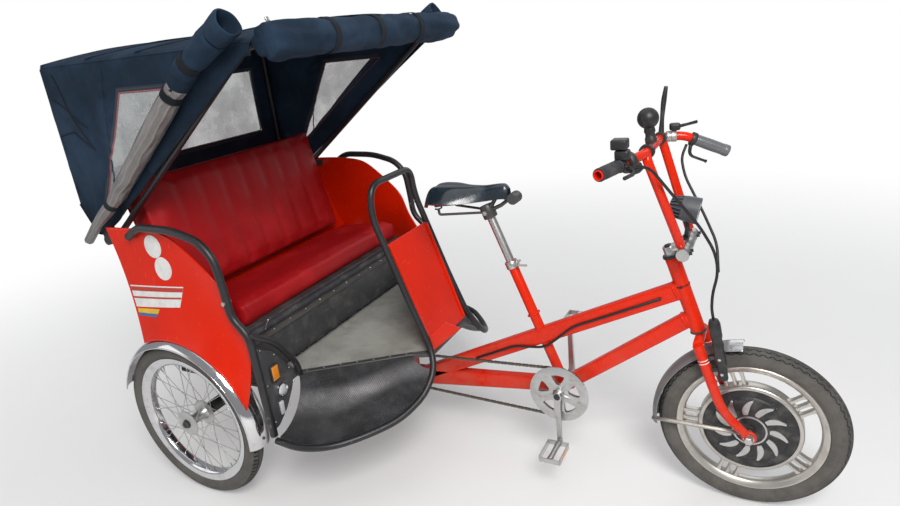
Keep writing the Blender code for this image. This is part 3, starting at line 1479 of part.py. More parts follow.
def front_bulkhead():
    """The panel inside the guard hoop, above the floor."""
    leg_low, leg_high = Vector(Bulkhead_foot), Vector(Bulkhead_head)
    slope = (leg_high - leg_low).normalized()
    normal = Vector((slope.z, 0, -slope.x))
    turn = Matrix(((0, slope.x, normal.x, 0), (1, 0, 0, 0), (0, slope.z, normal.z, 0),
                   (0, 0, 0, 1)))
    wide, tall = Hoop_half_width - Rim_radius - Gap, (leg_high - leg_low).length
    outline = [(-wide, 0.0), (wide, 0.0), (wide, tall), (-wide, tall)]
    return plate("front_bulkhead", outline, Panel_thickness, Orange, turn, leg_low)


# Assembly

frame = main_frame()
chassis = rear_chassis()
axle = rear_axle()
middle = Rear_wheel_radius
axle_bore = rod("axle_bore", (0, -Half_track, middle), (0, Half_track, middle),
                Axle_tube_radius + Gap, Orange, 16)
chassis = cut(chassis, axle_bore)
chassis.name = "rear_chassis"
chain()
frame_cable()
sprocket = plate("drive_sprocket", toothed(Sprocket_radius), Ring_thickness, Silver, Along,
                 (0, Chain_y, Rear_wheel_radius))
sprocket = cut(sprocket, rod("bore", (0, Chain_y - Overrun, middle), (0, Chain_y + Overrun, middle),
                             Axle_tube_radius + Bearing_gap, Silver, 24))
for side_name, side in (("left", 1), ("right", -1)):
    rear_wheel(side_name, side)
front_line = front_wheel()

cranks = crankset()
crank_line = pivot("crank_line", (Bracket_x, 0, Bracket_z), (0, 1, 0))
carry(crank_line, cranks)
for side_name, side, up in (("right", -1, -1), ("left", 1, 1)):
    pedal_centre, pedal_body = pedal(side_name, side, up)
    pedal_line = pivot("pedal_line_" + side_name, pedal_centre, (0, 1, 0))
    carry(pedal_line, pedal_body)
    carry(crank_line, pedal_line)
carry(pivot("sprocket_line", (0, Chain_y, Rear_wheel_radius), (0, 1, 0)), sprocket)

steering_line = pivot("steering_line", Head_bottom, Steer_up)
steered = [fork(), front_axle_rod(), stem(), handlebar(), *grips(), *controls(), horn(),
           headlamp(), front_mudguard(), brake_unit(), brake_cables(), front_line]
carry(steering_line, *steered)

floor()
carpet()
mirror_pair(step(), "step")
mirror_pair(side_panel(), "side_panel")
mirror_pair(front_side_panel(), "front_side_panel")
seat_base()
back_board()
front_bulkhead()
box("battery", (Battery_rear_x, -Battery_half, Floor_z + Gap),
    (Battery_rear_x + Battery_length, Battery_half, Floor_z + Battery_height), Black_plastic)
cushion("seat_cushion", [(Seat_rear_x, Seat_rear_z), (Seat_box_rear, Seat_rear_z - Seat_thickness),
                         (Seat_front_x, Seat_front_z - Seat_thickness),
                         (Seat_front_x, Seat_front_z)], Seat_half_width, Seat_round)
cushion("back_cushion", Back_outline, Back_half_width, Seat_round)
mirror_pair(arm_tube(), "arm_tube")
hoop()
for side_name, side in (("left", 1), ("right", -1)):
    guard_shell("rear_mudguard_" + side_name, (0, side * Half_track,
                Rear_wheel_radius), Rear_wheel_radius + Mudguard_gap, Mudguard_width,
                Guard_front_angle, Guard_rear_angle, Chrome, 16)

hood_cover()
mirror_pair(side_window_sheet(), "side_window")
hood_frame()
mirror_pair(side_curtain(), "side_curtain")
front_roll()

saddle()
post, post_head, post_along, tube_top = seat_post()
saddle_frame(post_head, post_along)
seat_clamp(tube_top, post_along)

# The whole moves to its mid length
origin = bpy.data.objects.new("rickshaw_origin", None)
parts.objects.link(origin)
for piece in list(parts.objects):
    if piece.parent is None and piece is not origin:
        piece.parent = origin
origin.location = (-Mid_length, 0, 0)
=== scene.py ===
# Looks for the cycle rickshaw: cloth, leathercloth, worn paint, chrome, rubber and small fittings.
# Lengths are metres. Points are written from the ground under the rear axle, as the solids were
# drawn, and every mesh is then moved by "shift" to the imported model's own middle.
import bpy, bmesh, math
import numpy as np
from mathutils import Matrix, Vector
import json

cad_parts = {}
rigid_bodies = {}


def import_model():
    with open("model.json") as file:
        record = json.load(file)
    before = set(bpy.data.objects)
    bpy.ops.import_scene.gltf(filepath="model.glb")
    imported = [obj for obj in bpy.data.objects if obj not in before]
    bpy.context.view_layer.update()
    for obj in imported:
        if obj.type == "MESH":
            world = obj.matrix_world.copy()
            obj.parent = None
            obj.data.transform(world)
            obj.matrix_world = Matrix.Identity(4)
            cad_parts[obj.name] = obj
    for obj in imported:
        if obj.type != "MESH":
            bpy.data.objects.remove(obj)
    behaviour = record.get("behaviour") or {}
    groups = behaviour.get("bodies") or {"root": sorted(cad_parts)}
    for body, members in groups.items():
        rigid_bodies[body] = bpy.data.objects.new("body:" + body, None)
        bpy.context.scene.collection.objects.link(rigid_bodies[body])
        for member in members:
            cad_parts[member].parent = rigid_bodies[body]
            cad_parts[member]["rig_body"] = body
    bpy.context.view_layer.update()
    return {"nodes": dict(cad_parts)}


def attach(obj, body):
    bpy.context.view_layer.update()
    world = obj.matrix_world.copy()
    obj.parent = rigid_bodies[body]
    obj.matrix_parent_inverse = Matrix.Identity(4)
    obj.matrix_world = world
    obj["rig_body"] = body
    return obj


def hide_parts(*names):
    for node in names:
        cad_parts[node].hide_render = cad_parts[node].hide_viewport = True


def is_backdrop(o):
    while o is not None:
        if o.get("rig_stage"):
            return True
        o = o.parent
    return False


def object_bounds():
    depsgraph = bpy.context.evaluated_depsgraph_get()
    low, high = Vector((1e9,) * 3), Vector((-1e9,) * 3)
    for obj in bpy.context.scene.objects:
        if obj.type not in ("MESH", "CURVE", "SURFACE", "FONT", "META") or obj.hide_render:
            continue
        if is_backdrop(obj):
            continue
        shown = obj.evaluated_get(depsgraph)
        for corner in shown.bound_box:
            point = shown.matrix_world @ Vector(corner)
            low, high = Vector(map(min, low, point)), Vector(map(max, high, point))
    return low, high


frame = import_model()
axleToMiddle = 0.783
shift = np.array((-axleToMiddle, 0.0, 0.0))
turn = 2 * math.pi
steerHead = np.array((1.466, 0.0, 0.771))
steerFoot = np.array((1.542, 0.0, 0.546))
headLength = np.linalg.norm(steerHead - steerFoot)
steerUp = (steerHead - steerFoot) / headLength
steerAhead = np.array((steerUp[2], 0.0, -steerUp[0]))
frontAxle = np.array((1.689, 0.0, 0.257))
bracket = np.array((1.130, 0.0, 0.298))
rearAxle, wheelY = np.array((0.0, 0.0, 0.287)), 0.559
across, upward = np.array((0, 1.0, 0)), np.array((0, 0, 1.0))
print("frame loaded", len(frame["nodes"]), "nodes")


# Shading: sockets with arithmetic, one class for a material, and the finishes

def feed(tree, slot, value):
    # links a node's output, or sets a fixed value; a colour of three gets its alpha
    if isinstance(value, Tap):
        tree.links.new(value.socket, slot)
    elif value is not None:
        wide = hasattr(slot.default_value, "__len__") and len(slot.default_value) == 4
        slot.default_value = (*value, 1.0) if wide and len(value) == 3 else value


class Tap:
    # a node's output; arithmetic on it adds Math nodes
    def __init__(self, tree, socket):
        self.tree, self.socket = tree, socket

    def calc(self, operation, a, b=None):
        node = self.tree.nodes.new("ShaderNodeMath")
        node.operation = operation
        feed(self.tree, node.inputs[0], a)
        feed(self.tree, node.inputs[1], b)
        return Tap(self.tree, node.outputs[0])

    def __add__(self, other): return self.calc("ADD", self, other)
    def __radd__(self, other): return self.calc("ADD", other, self)
    def __sub__(self, other): return self.calc("SUBTRACT", self, other)
    def __rsub__(self, other): return self.calc("SUBTRACT", other, self)
    def __mul__(self, other): return self.calc("MULTIPLY", self, other)
    def __rmul__(self, other): return self.calc("MULTIPLY", other, self)
    def __truediv__(self, other): return self.calc("DIVIDE", self, other)
    def __pow__(self, other): return self.calc("POWER", self, other)
    def __mod__(self, other): return self.calc("FLOORED_MODULO", self, other)
    def __abs__(self): return self.calc("ABSOLUTE", self)


class Finish:
    # one material: fixed sockets by name, then whatever varies is linked
    def __init__(self, name, **fixed):
        self.material = bpy.data.materials.new(name)
        self.material.use_nodes = True
        self.tree = self.material.node_tree
        self.shader = self.tree.nodes["Principled BSDF"]
        self.set(**fixed)
        self.spot = self.node("ShaderNodeTexCoord", out="Object")

    def set(self, **values):
        names = {"colour": "Base Color", "rough": "Roughness", "metal": "Metallic", "alpha": "Alpha",
                 "coat": "Coat Weight", "coatRough": "Coat Roughness", "normal": "Normal",
                 "sheen": "Sheen Weight", "shine": "Specular IOR Level"}
        for key, value in values.items():
            feed(self.tree, self.shader.inputs[names[key]], value)
        return self

    def node(self, kind, settings=None, inputs=None, out=0):
        node = self.tree.nodes.new(kind)
        for key, value in (settings or {}).items():
            setattr(node, key, value)
        for key, value in (inputs or {}).items():
            feed(self.tree, node.inputs[key], value)
        return Tap(self.tree, node.outputs[out])

    def noise(self, scale, detail=2.0, rough=0.5, stretch=None):
        spot = self.node("ShaderNodeMapping", {}, {0: self.spot, 3: stretch}) if stretch else self.spot
        return self.node("ShaderNodeTexNoise", {}, {"Vector": spot, "Scale": scale, "Detail": detail,
                                                    "Roughness": rough})

    def cells(self, scale, feature="F1"):
        return self.node("ShaderNodeTexVoronoi", {"feature": feature}, {"Vector": self.spot, "Scale": scale})

    def axes(self, at=None):
        node = self.tree.nodes.new("ShaderNodeSeparateXYZ")
        feed(self.tree, node.inputs[0], at or self.spot)
        return [Tap(self.tree, socket) for socket in node.outputs]

    def uv(self):
        return self.axes(self.node("ShaderNodeUVMap", {"uv_map": "surface"}))

    def ease(self, value, low, high, first=0.0, last=1.0):
        return self.node("ShaderNodeMapRange", {"interpolation_type": "SMOOTHSTEP"},
                         {0: value, 1: low, 2: high, 3: first, 4: last})

    def mix(self, share, one, other):
        return self.node("ShaderNodeMix", {"data_type": "RGBA"}, {0: share, 6: one, 7: other}, 2)

    def wave(self, value, pitch):   # a sine of the value, one cycle to a pitch, from 0 to 1
        return value.calc("SINE", value * (turn / pitch)) * 0.5 + 0.5

    def bump(self, height, distance, strength=1.0):
        return self.node("ShaderNodeBump", {}, {"Height": height, "Distance": distance, "Strength": strength})


def paintFinish(name, colour, wear=0.5, rough=0.26, dust=(0.30, 0.20, 0.14)):
    # gloss paint: soft mottling, thin scratches, dust that gathers low down, and small chips
    f = Finish(name, coat=0.16, coatRough=0.10, shine=0.22)
    z = f.axes()[2]
    mottle = f.noise(9.0, 3.0)
    dull = f.ease(f.noise(26.0, 4.0, 0.65), 0.50, 0.74) * wear
    low = f.ease(z, 0.62, 0.16) * f.ease(f.noise(14.0, 5.0, 0.7), 0.36, 0.72) * wear
    chip = f.ease(f.noise(95.0, 2.0, 0.55), 0.735, 0.76) * wear * f.ease(f.noise(5.0), 0.42, 0.62)
    body = f.mix(mottle, tuple(c * 0.86 for c in colour), tuple(min(c * 1.12, 1.0) for c in colour))
    body = f.mix(low * 0.62, body, dust)
    body = f.mix(chip, body, (0.045, 0.035, 0.03))
    scratch = f.ease(f.noise(60.0, 2.0, 0.6, stretch=(1.0, 0.12, 0.35)), 0.66, 0.72) * wear
    body = f.mix(scratch * 0.12, body, (0.85, 0.22, 0.10))
    return f.set(colour=body, rough=rough + dull * 0.20 + low * 0.35 + scratch * 0.2,
                 normal=f.bump(f.noise(420.0, 2.0) * 0.25 + chip * -2.0, 0.0004)).material


def tubeFinish(name, colour=(0.009, 0.009, 0.0105), bare=(0.24, 0.23, 0.21), wear=0.6):
    # black coated tube, rubbed to grey metal in flecks
    f = Finish(name, coat=0.15, coatRough=0.3)
    rub = f.ease(f.noise(38.0, 5.0, 0.7), 0.60, 0.70) * f.ease(f.noise(6.0, 2.0), 0.48, 0.60) * wear
    fleck = f.ease(f.cells(170.0), 0.09, 0.05) * f.ease(f.noise(11.0), 0.52, 0.60) * wear
    worn = f.node("ShaderNodeMath", {"operation": "MAXIMUM"}, {0: rub, 1: fleck})
    haze = f.noise(17.0, 4.0, 0.6)
    body = f.mix(haze, colour, tuple(c * 2.2 + 0.002 for c in colour))
    return f.set(colour=f.mix(worn, body, bare), rough=0.30 + haze * 0.28 + worn * 0.1,
                 metal=worn * 0.7,
                 normal=f.bump(f.noise(260.0, 3.0) * 0.3 - worn * 0.5, 0.0005)).material


def metalFinish(name, colour, rough=0.2, grime=0.4, rust=0.3, brushed=0.0):
    # bare or plated metal with grime in patches and rust specks
    f = Finish(name)
    patch = f.ease(f.noise(19.0, 5.0, 0.65), 0.46, 0.76) * grime
    speck = f.ease(f.noise(150.0, 3.0, 0.6), 0.66, 0.72) * f.ease(f.noise(8.0, 3.0), 0.44, 0.66) * rust
    body = f.mix(patch, colour, (0.16, 0.145, 0.125))
    body = f.mix(speck, body, (0.16, 0.055, 0.018))
    grain = f.noise(90.0, 3.0, 0.5, stretch=(0.2, 6.0, 6.0)) * brushed
    return f.set(colour=body, metal=1.0 - patch * 0.5 - speck * 0.9,
                 rough=rough + patch * 0.42 + speck * 0.5 + grain * 0.12,
                 normal=f.bump(grain * 0.3 + f.noise(300.0, 2.0) * 0.12 + speck, 0.0003)).material


def plasticFinish(name, colour, rough=0.45, grain=500.0, dust=0.25):
    # moulded plastic: fine leather-like grain, pale dust in patches
    f = Finish(name)
    haze = f.ease(f.noise(22.0, 4.0, 0.6), 0.44, 0.78) * dust
    body = f.mix(haze, colour, (0.20, 0.19, 0.17))
    return f.set(colour=body, rough=rough + haze * 0.35,
                 normal=f.bump(f.cells(grain) + f.noise(60.0, 3.0) * 0.4, 0.00025, 0.6)).material


def rubberFinish(name, zigzag, tone=(0.060, 0.057, 0.054), dusted=(0.135, 0.125, 0.112)):
    # tyre: u counts tread blocks round, v is the arc from the crown in tyre widths
    f = Finish(name, shine=0.3)
    u, v, _ = f.uv()
    away, part = abs(v), abs(u % 1.0 - 0.5)
    if zigzag:
        bend = (part * 2.0 - 0.5) * 0.11
        nearest = away.calc("MINIMUM", abs(away - 0.16 - bend), abs(away - 0.42 - bend))
        grooveShade = f.ease(nearest, 0.032, 0.018)
    else:
        bars = f.ease(part, 0.20, 0.15) * f.ease(away, 0.19, 0.21)
        grooveShade = away.calc("MAXIMUM", bars, f.ease(abs(away - 0.13), 0.028, 0.018))
    edge = 0.53 if zigzag else 0.45
    grooveShade = grooveShade * f.ease(away, edge, edge - 0.03)
    side = f.ease(away, edge - 0.05, edge + 0.07)
    dusty = f.ease(f.noise(16.0, 5.0, 0.7), 0.34, 0.70)
    rings = f.ease(abs(away - 0.62), 0.006, 0.001) + f.ease(abs(away - 0.76), 0.006, 0.001)
    body = f.mix(dusty, tone, tuple(c * 1.9 for c in tone))
    body = f.mix(side * (0.40 + dusty * 0.5), body, dusted)
    # painted shade: the tread grooves are painted near black, darker than the rubber itself
    body = f.mix(grooveShade, body, tuple(c * 0.15 for c in tone))
    height = f.wave(u, 0.5) * side * 0.25 + rings * 0.8 + f.noise(330.0, 2.0) * 0.18
    return f.set(colour=body, rough=0.66 + dusty * 0.2, normal=f.bump(height, 0.0011)).material


def leatherclothFinish(name, colour):
    # coated cloth: pebbled grain, faint stretch marks, lighter where rubbed
    f = Finish(name, coat=0.05, coatRough=0.35, shine=0.22)
    pebble = f.cells(620.0, feature="SMOOTH_F1")
    crease = f.noise(7.0, 4.0, 0.55, stretch=(1.0, 0.5, 2.2))
    rubbed = f.ease(f.noise(4.0, 4.0, 0.6), 0.46, 0.72)
    body = f.mix(rubbed, colour, tuple(min(c * 1.35 + 0.006, 1.0) for c in colour))
    body = f.mix(f.ease(crease, 0.30, 0.16) * 0.5, body, tuple(c * 0.45 for c in colour))
    return f.set(colour=body, rough=0.36 + rubbed * 0.16 + pebble * 0.1,
                 normal=f.bump(pebble * 0.16 + crease * 2.4, 0.0018, 0.8)).material


def clothFinish(name, colour, faded, weave):
    # canvas: plain weave from the two surface axes, sun-faded patches, pale dust in folds
    f = Finish(name, shine=0.18)
    u, v, _ = f.uv()
    warp, weft = f.wave(u, weave), f.wave(v, weave)
    over = f.wave(u + v, weave * 2.0)
    thread = warp * over + weft * (1.0 - over)
    patch = f.ease(f.noise(3.2, 5.0, 0.62), 0.36, 0.68)
    dust = f.ease(f.noise(24.0, 5.0, 0.7), 0.56, 0.82)
    body = f.mix(patch, colour, faded)
    body = f.mix(thread * 0.35, body, tuple(c * 0.4 for c in colour))
    body = f.mix(dust * 0.12, body, (0.16, 0.16, 0.16))
    return f.set(colour=body, rough=0.82 - patch * 0.08,
                 normal=f.bump(thread * 0.35 + f.noise(28.0, 4.0) * 1.2, 0.0007)).material


def plainFinish(name, colour, rough=0.5, **fixed):
    # small trim: one tone with a little mottling and grain
    f = Finish(name, **fixed)
    body = f.mix(f.noise(40.0, 4.0, 0.6), tuple(c * 0.72 for c in colour),
                 tuple(min(1.0, c * 1.2) for c in colour))
    return f.set(colour=body, rough=rough + f.noise(70.0, 3.0) * 0.15,
                 normal=f.bump(f.noise(420.0, 2.0), 0.0002)).material


orangePaint = paintFinish("Orange frame paint", (0.74, 0.020, 0.0010), 0.6)
bodyOrange = paintFinish("Orange moulded body", (0.72, 0.017, 0.0010), 0.35, 0.22)
blackTube = tubeFinish("Worn black tube")
darkSteel = tubeFinish("Dark steel", (0.030, 0.029, 0.029), (0.20, 0.15, 0.11), 0.4)
chrome = metalFinish("Chrome", (0.74, 0.74, 0.75), 0.10, 0.28, 0.45)
silver = metalFinish("Satin silver", (0.58, 0.58, 0.57), 0.30, 0.35, 0.25, 1.0)
castSilver = metalFinish("Cast silver", (0.60, 0.575, 0.53), 0.36, 0.35, 0.10)
dullStrip = metalFinish("Dull strip", (0.40, 0.375, 0.34), 0.50, 0.60, 0.35)
chainSteel = metalFinish("Oily chain", (0.17, 0.155, 0.13), 0.38, 0.8, 0.7)
blackPlastic = plasticFinish("Black plastic", (0.018, 0.018, 0.020), 0.42)
greyPlastic = plasticFinish("Grey plastic", (0.070, 0.077, 0.090), 0.42, 420.0, 0.35)
gripRubber = plasticFinish("Grip rubber", (0.030, 0.032, 0.038), 0.62, 300.0, 0.35)
motorBlack = plasticFinish("Motor black", (0.016, 0.016, 0.018), 0.42, 700.0, 0.45)
rearRubber = rubberFinish("Rear tyre rubber", False)
frontRubber = rubberFinish("Front tyre rubber", True)
redCloth = leatherclothFinish("Red leathercloth", (0.36, 0.0060, 0.0085))
darkCloth = clothFinish("Dark strap webbing", (0.010, 0.012, 0.016), (0.024, 0.028, 0.034), 0.0016)
stripGrey = plainFinish("Riveted strip", (0.10, 0.095, 0.092), 0.42)
smoothGrip = plasticFinish("Smooth grey grip", (0.135, 0.14, 0.15), 0.26, 900.0, 0.3)
yellowLabel = plainFinish("Yellow label strip", (0.75, 0.48, 0.03), 0.35)
cableBlack = plainFinish("Cable sheath", (0.012, 0.012, 0.013), 0.42)
pinkPiping = plainFinish("Pink piping", (0.30, 0.09, 0.11), 0.6)
whiteLabel = plainFinish("Blank label", (0.78, 0.77, 0.75), 0.35)
redLabel = plainFinish("Red label band", (0.50, 0.035, 0.02), 0.35)
blueLabel = plainFinish("Blue label band", (0.05, 0.14, 0.36), 0.35)
amberLens = plainFinish("Amber lens", (0.80, 0.26, 0.015), 0.18, coat=0.8)
clearLens = plainFinish("Clear lens", (0.62, 0.63, 0.64), 0.08, coat=1.0)
slotOf = {m.name: name for name, group in {
    "orange_paint": (orangePaint,), "orange_body": (bodyOrange,), "black_tube": (blackTube, darkSteel),
    "chrome": (chrome,), "silver": (silver, dullStrip), "cast_wheel": (castSilver,),
    "chain_steel": (chainSteel,), "black_plastic": (blackPlastic, cableBlack),
    "grey_plastic": (greyPlastic, gripRubber, smoothGrip),
    "motor": (motorBlack,), "tyre": (rearRubber, frontRubber), "red_leathercloth": (redCloth,),
    "hood_cloth": (darkCloth, pinkPiping),
    "grey_panel": (stripGrey, whiteLabel, redLabel, blueLabel, yellowLabel, amberLens, clearLens),
}.items() for m in group}
print("finishes made")


# Shapes as numpy grids: each part is (points, blocks of faces, surface coordinates)

def unit(v):
    # the same directions with length 1
    v = np.asarray(v, float)
    return v / np.linalg.norm(v, axis=-1, keepdims=True)


def onSteering(up, ahead=0.0, side=0.0):
    # a place by its height along the steering axis, ahead of it and to its side
    return steerFoot + steerUp * up + steerAhead * ahead + across * side


def lengths(line):   # running length along the first axis of a grid or path
    step = np.linalg.norm(np.diff(line, axis=0), axis=-1)
    step = step if step.ndim == 1 else step.mean(axis=1)
    return np.concatenate(((0.0,), np.cumsum(step)))


def oriented(points, faces, marks, closed):
    # signed volume = sum of dot(a, cross(b, c)) / 6 over the fans; negative means inside out
    if closed:
        middle = points.mean(axis=0)
        total = 0.0
        for block in faces:
            p = points[block] - middle
            for n in range(1, block.shape[1] - 1):
                total += np.einsum("ij,ij->i", p[:, 0], np.cross(p[:, n], p[:, n + 1])).sum()
        if total < 0:
            faces, marks = [b[:, ::-1] for b in faces], [m[:, ::-1] for m in marks]
    return points, faces, marks


def gridPart(grid, wrapRows=False, wrapCols=True, ends=True):
    # quads over a grid of points (rows, columns, 3), with running lengths as surface coordinates
    rows, cols = grid.shape[:2]
    i, j = np.meshgrid(np.arange(rows if wrapRows else rows - 1),
                       np.arange(cols if wrapCols else cols - 1), indexing="ij")
    i, j = i.ravel(), j.ravel()
    i2, j2 = (i + 1) % rows, (j + 1) % cols
    quads = np.stack((i * cols + j, i2 * cols + j, i2 * cols + j2, i * cols + j2), axis=1)
    u = lengths(np.concatenate((grid, grid[:1])))
    v = lengths(np.concatenate((grid, grid[:, :1]), axis=1).swapaxes(0, 1))
    mark = np.stack((np.stack((u[i], v[j]), 1), np.stack((u[i + 1], v[j]), 1),
                     np.stack((u[i + 1], v[j + 1]), 1), np.stack((u[i], v[j + 1]), 1)), axis=1)
    points, faces, marks = grid.reshape(-1, 3), [quads], [mark]
    closed = wrapCols and (wrapRows or ends)
    if ends and not wrapRows:
        caps = np.stack((grid[0].mean(axis=0), grid[-1].mean(axis=0)))
        a = np.arange(cols)
        b = (a + 1) % cols
        top, last = len(points), (rows - 1) * cols
        fans = np.concatenate((np.stack((np.full(cols, top), a, b), 1),
                               np.stack((np.full(cols, top + 1), b + last, a + last), 1)))
        points = np.concatenate((points, caps))
        faces.append(fans)
        marks.append(points[fans][..., :2] - points[fans][:, :1, :2])
    return oriented(points, faces, marks, closed)


def shellPart(grid, thickness):
    # a sheet with a wall: outer and inner faces and a border all round
    across, down = np.gradient(grid, axis=1), np.gradient(grid, axis=0)
    normal = unit(np.cross(down, across) + 1e-12)
    ring = np.concatenate((grid + normal * thickness / 2, (grid - normal * thickness / 2)[:, ::-1]), axis=1)
    points, faces, marks = gridPart(ring, ends=False)
    cols, rows = ring.shape[1], ring.shape[0]
    j = np.arange(cols // 2 - 1)
    last = (rows - 1) * cols
    first = np.stack((j, j + 1, cols - 2 - j, cols - 1 - j), 1)
    final = np.stack((j + 1, j, cols - 1 - j, cols - 2 - j), 1) + last
    border = np.concatenate((first, final))
    return oriented(points, faces + [border], marks + [points[border][..., :2]], True)


def rounded(points, bend, steps=8):
    # the drawn path: each corner turned on start->corner->end, mixed twice
    points = np.asarray(points, float)
    path = [points[:1]]
    share = np.linspace(0.0, 1.0, steps + 1)[:, None]
    for before, corner, after in zip(points, points[1:], points[2:]):
        reach = min(bend, np.linalg.norm(corner - before) / 2.05, np.linalg.norm(after - corner) / 2.05)
        start, end = corner + unit(before - corner) * reach, corner + unit(after - corner) * reach
        first, second = start + (corner - start) * share, corner + (end - corner) * share
        path.append(first + (second - first) * share)
    return np.concatenate(path + [points[-1:]])


def flowing(points, steps=8):
    # Catmull-Rom through the points
    p = np.asarray(points, float)
    p = np.concatenate((2 * p[:1] - p[1:2], p, 2 * p[-1:] - p[-2:-1]))
    t = (np.arange(steps) / steps)[None, :, None]
    a, b, c, d = (p[n:len(p) - 3 + n, None] for n in range(4))
    line = 0.5 * (2 * b + (c - a) * t + (2 * a - 5 * b + 4 * c - d) * t ** 2 + (3 * b - a - 3 * c + d) * t ** 3)
    return np.concatenate((line.reshape(-1, 3), p[-2:-1]))


def frames(path):
    # tangent, side and up along a path, from the axis that the path runs least along
    tangent = unit(np.gradient(path, axis=0))
    axes = unit(np.array(((1, 0, 0), (0, 1, 0), (0, 0, 1), (1, 1, 0), (0, 1, 1), (1, 0, 1),
                          (1, -1, 0), (0, 1, -1), (1, 0, -1)), float))
    best = axes[np.argmin(np.abs(tangent @ axes.T).max(axis=0))]
    side = unit(np.cross(tangent, best))
    return tangent, side, np.cross(side, tangent)


def tubePart(path, radius, sides=20, flat=1.0, ends=True, closed=False, swell=None):
    # rings of a round or flattened section; radius may vary along the path
    path = np.asarray(path, float)
    tangent, side, up = frames(path)
    if closed:
        around = np.concatenate((path[-1:], path, path[:1]))
        tangent, side, up = (a[1:-1] for a in frames(around))
    angle = np.arange(sides) / sides * turn
    radius = np.broadcast_to(np.asarray(radius, float), (len(path),))[:, None, None]
    ring = side[:, None] * np.cos(angle)[None, :, None] * flat + up[:, None] * np.sin(angle)[None, :, None]
    if swell is not None:
        radius = radius * swell(lengths(path)[:, None], angle[None, :])[..., None]
    grid = path[:, None] + ring * radius
    if ends and not closed:
        # a short rounding at each cut end
        lip = np.minimum(radius[[0, -1]] * 0.22, 0.0015)
        first = path[0] + (grid[0] - path[0]) * (1 - lip[0] / radius[0])
        last = path[-1] + (grid[-1] - path[-1]) * (1 - lip[1] / radius[-1])
        grid[0], grid[-1] = grid[0] + tangent[0] * lip[0], grid[-1] - tangent[-1] * lip[1]
        grid = np.concatenate((first[None], grid, last[None]))
    return gridPart(grid, wrapRows=closed, ends=ends)


def lathePart(profile, origin, axis=(0, 1, 0), steps=96, ring=False):
    # (along, radius) pairs turned about an axis through the origin
    profile = np.asarray(profile, float)
    axis = unit(axis)
    first = np.array((1.0, 0.0, 0.0))
    side = unit(first - axis * (first @ axis)) if abs(first @ axis) < 0.95 else unit(np.cross(axis, upward))
    other = np.cross(axis, side)
    angle = np.arange(steps) / steps * turn
    spoke = side * np.cos(angle)[:, None] + other * np.sin(angle)[:, None]
    grid = (np.asarray(origin, float) + axis * profile[:, None, :1] + spoke[None] * profile[:, None, 1:])
    return gridPart(grid, wrapRows=ring)


def blockPart(size, centre, turned=None, round=0.002, steps=3):
    # a box with rounded edges: core corners pushed out along a sphere's directions
    half = np.asarray(size, float) / 2
    r = min(round, *(half * 0.98))
    core = half - r
    lift = np.linspace(-math.pi / 2, math.pi / 2, 2 * steps + 2)
    quarter = np.linspace(0, math.pi / 2, steps + 1)
    angle = np.concatenate([quarter + n * math.pi / 2 for n in range(4)])
    signX = np.repeat((1, -1, -1, 1), steps + 1)
    signY = np.repeat((1, 1, -1, -1), steps + 1)
    x = signX * core[0] + r * np.cos(angle) * np.cos(lift)[:, None]
    y = signY * core[1] + r * np.sin(angle) * np.cos(lift)[:, None]
    z = np.where(lift < 0, -core[2], core[2])[:, None] + r * np.sin(lift)[:, None] + 0 * angle
    grid = np.stack((x, y, z), axis=-1)
    if turned is not None:
        grid = grid @ np.asarray(turned, float).T
    return gridPart(grid + np.asarray(centre, float))


def slabPart(outline, thickness, across, up, origin, bevel=0.0012):
    # a flat outline with a wall and small bevels; across and up are its axes in space
    outline = np.asarray(outline, float)
    across, up = unit(across), unit(up)
    out = np.cross(across, up)
    before, after = outline - np.roll(outline, 1, 0), np.roll(outline, -1, 0) - outline
    inward = unit(before) + unit(after)
    inward = unit(np.stack((-inward[:, 1], inward[:, 0]), 1) + 1e-12)
    area = (outline[:, 0] * np.roll(outline[:, 1], -1) - outline[:, 1] * np.roll(outline[:, 0], -1)).sum()
    inward = inward if area > 0 else -inward
    rings = []
    for push, high in ((bevel, 0.0), (0.0, bevel), (0.0, thickness - bevel), (bevel, thickness)):
        flat = outline + inward * push
        rings.append(flat[:, :1] * across + flat[:, 1:] * up + out * (high - thickness / 2))
    grid = np.stack(rings) + np.asarray(origin, float)
    count = len(outline)
    points, faces, marks = gridPart(grid, ends=False)
    caps = np.stack((np.arange(count)[::-1], np.arange(count) + 3 * count))
    return oriented(points, faces + [caps], marks + [points[caps][..., :2]], True)


def turnedBy(z, x):
    # a rotation whose columns are x, y and z directions
    z, x = unit(z), np.asarray(x, float)
    x = unit(x - z * (x @ z))
    return np.stack((x, np.cross(z, x), z), axis=1)


def stand(piece, material, body, nodes):
    # the piece takes its finish, rides on its body and hides the nodes it stands for
    piece.data.materials.clear()
    piece.data.materials.append(material)
    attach(piece, body)
    if nodes:
        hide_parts(*nodes)
    return piece


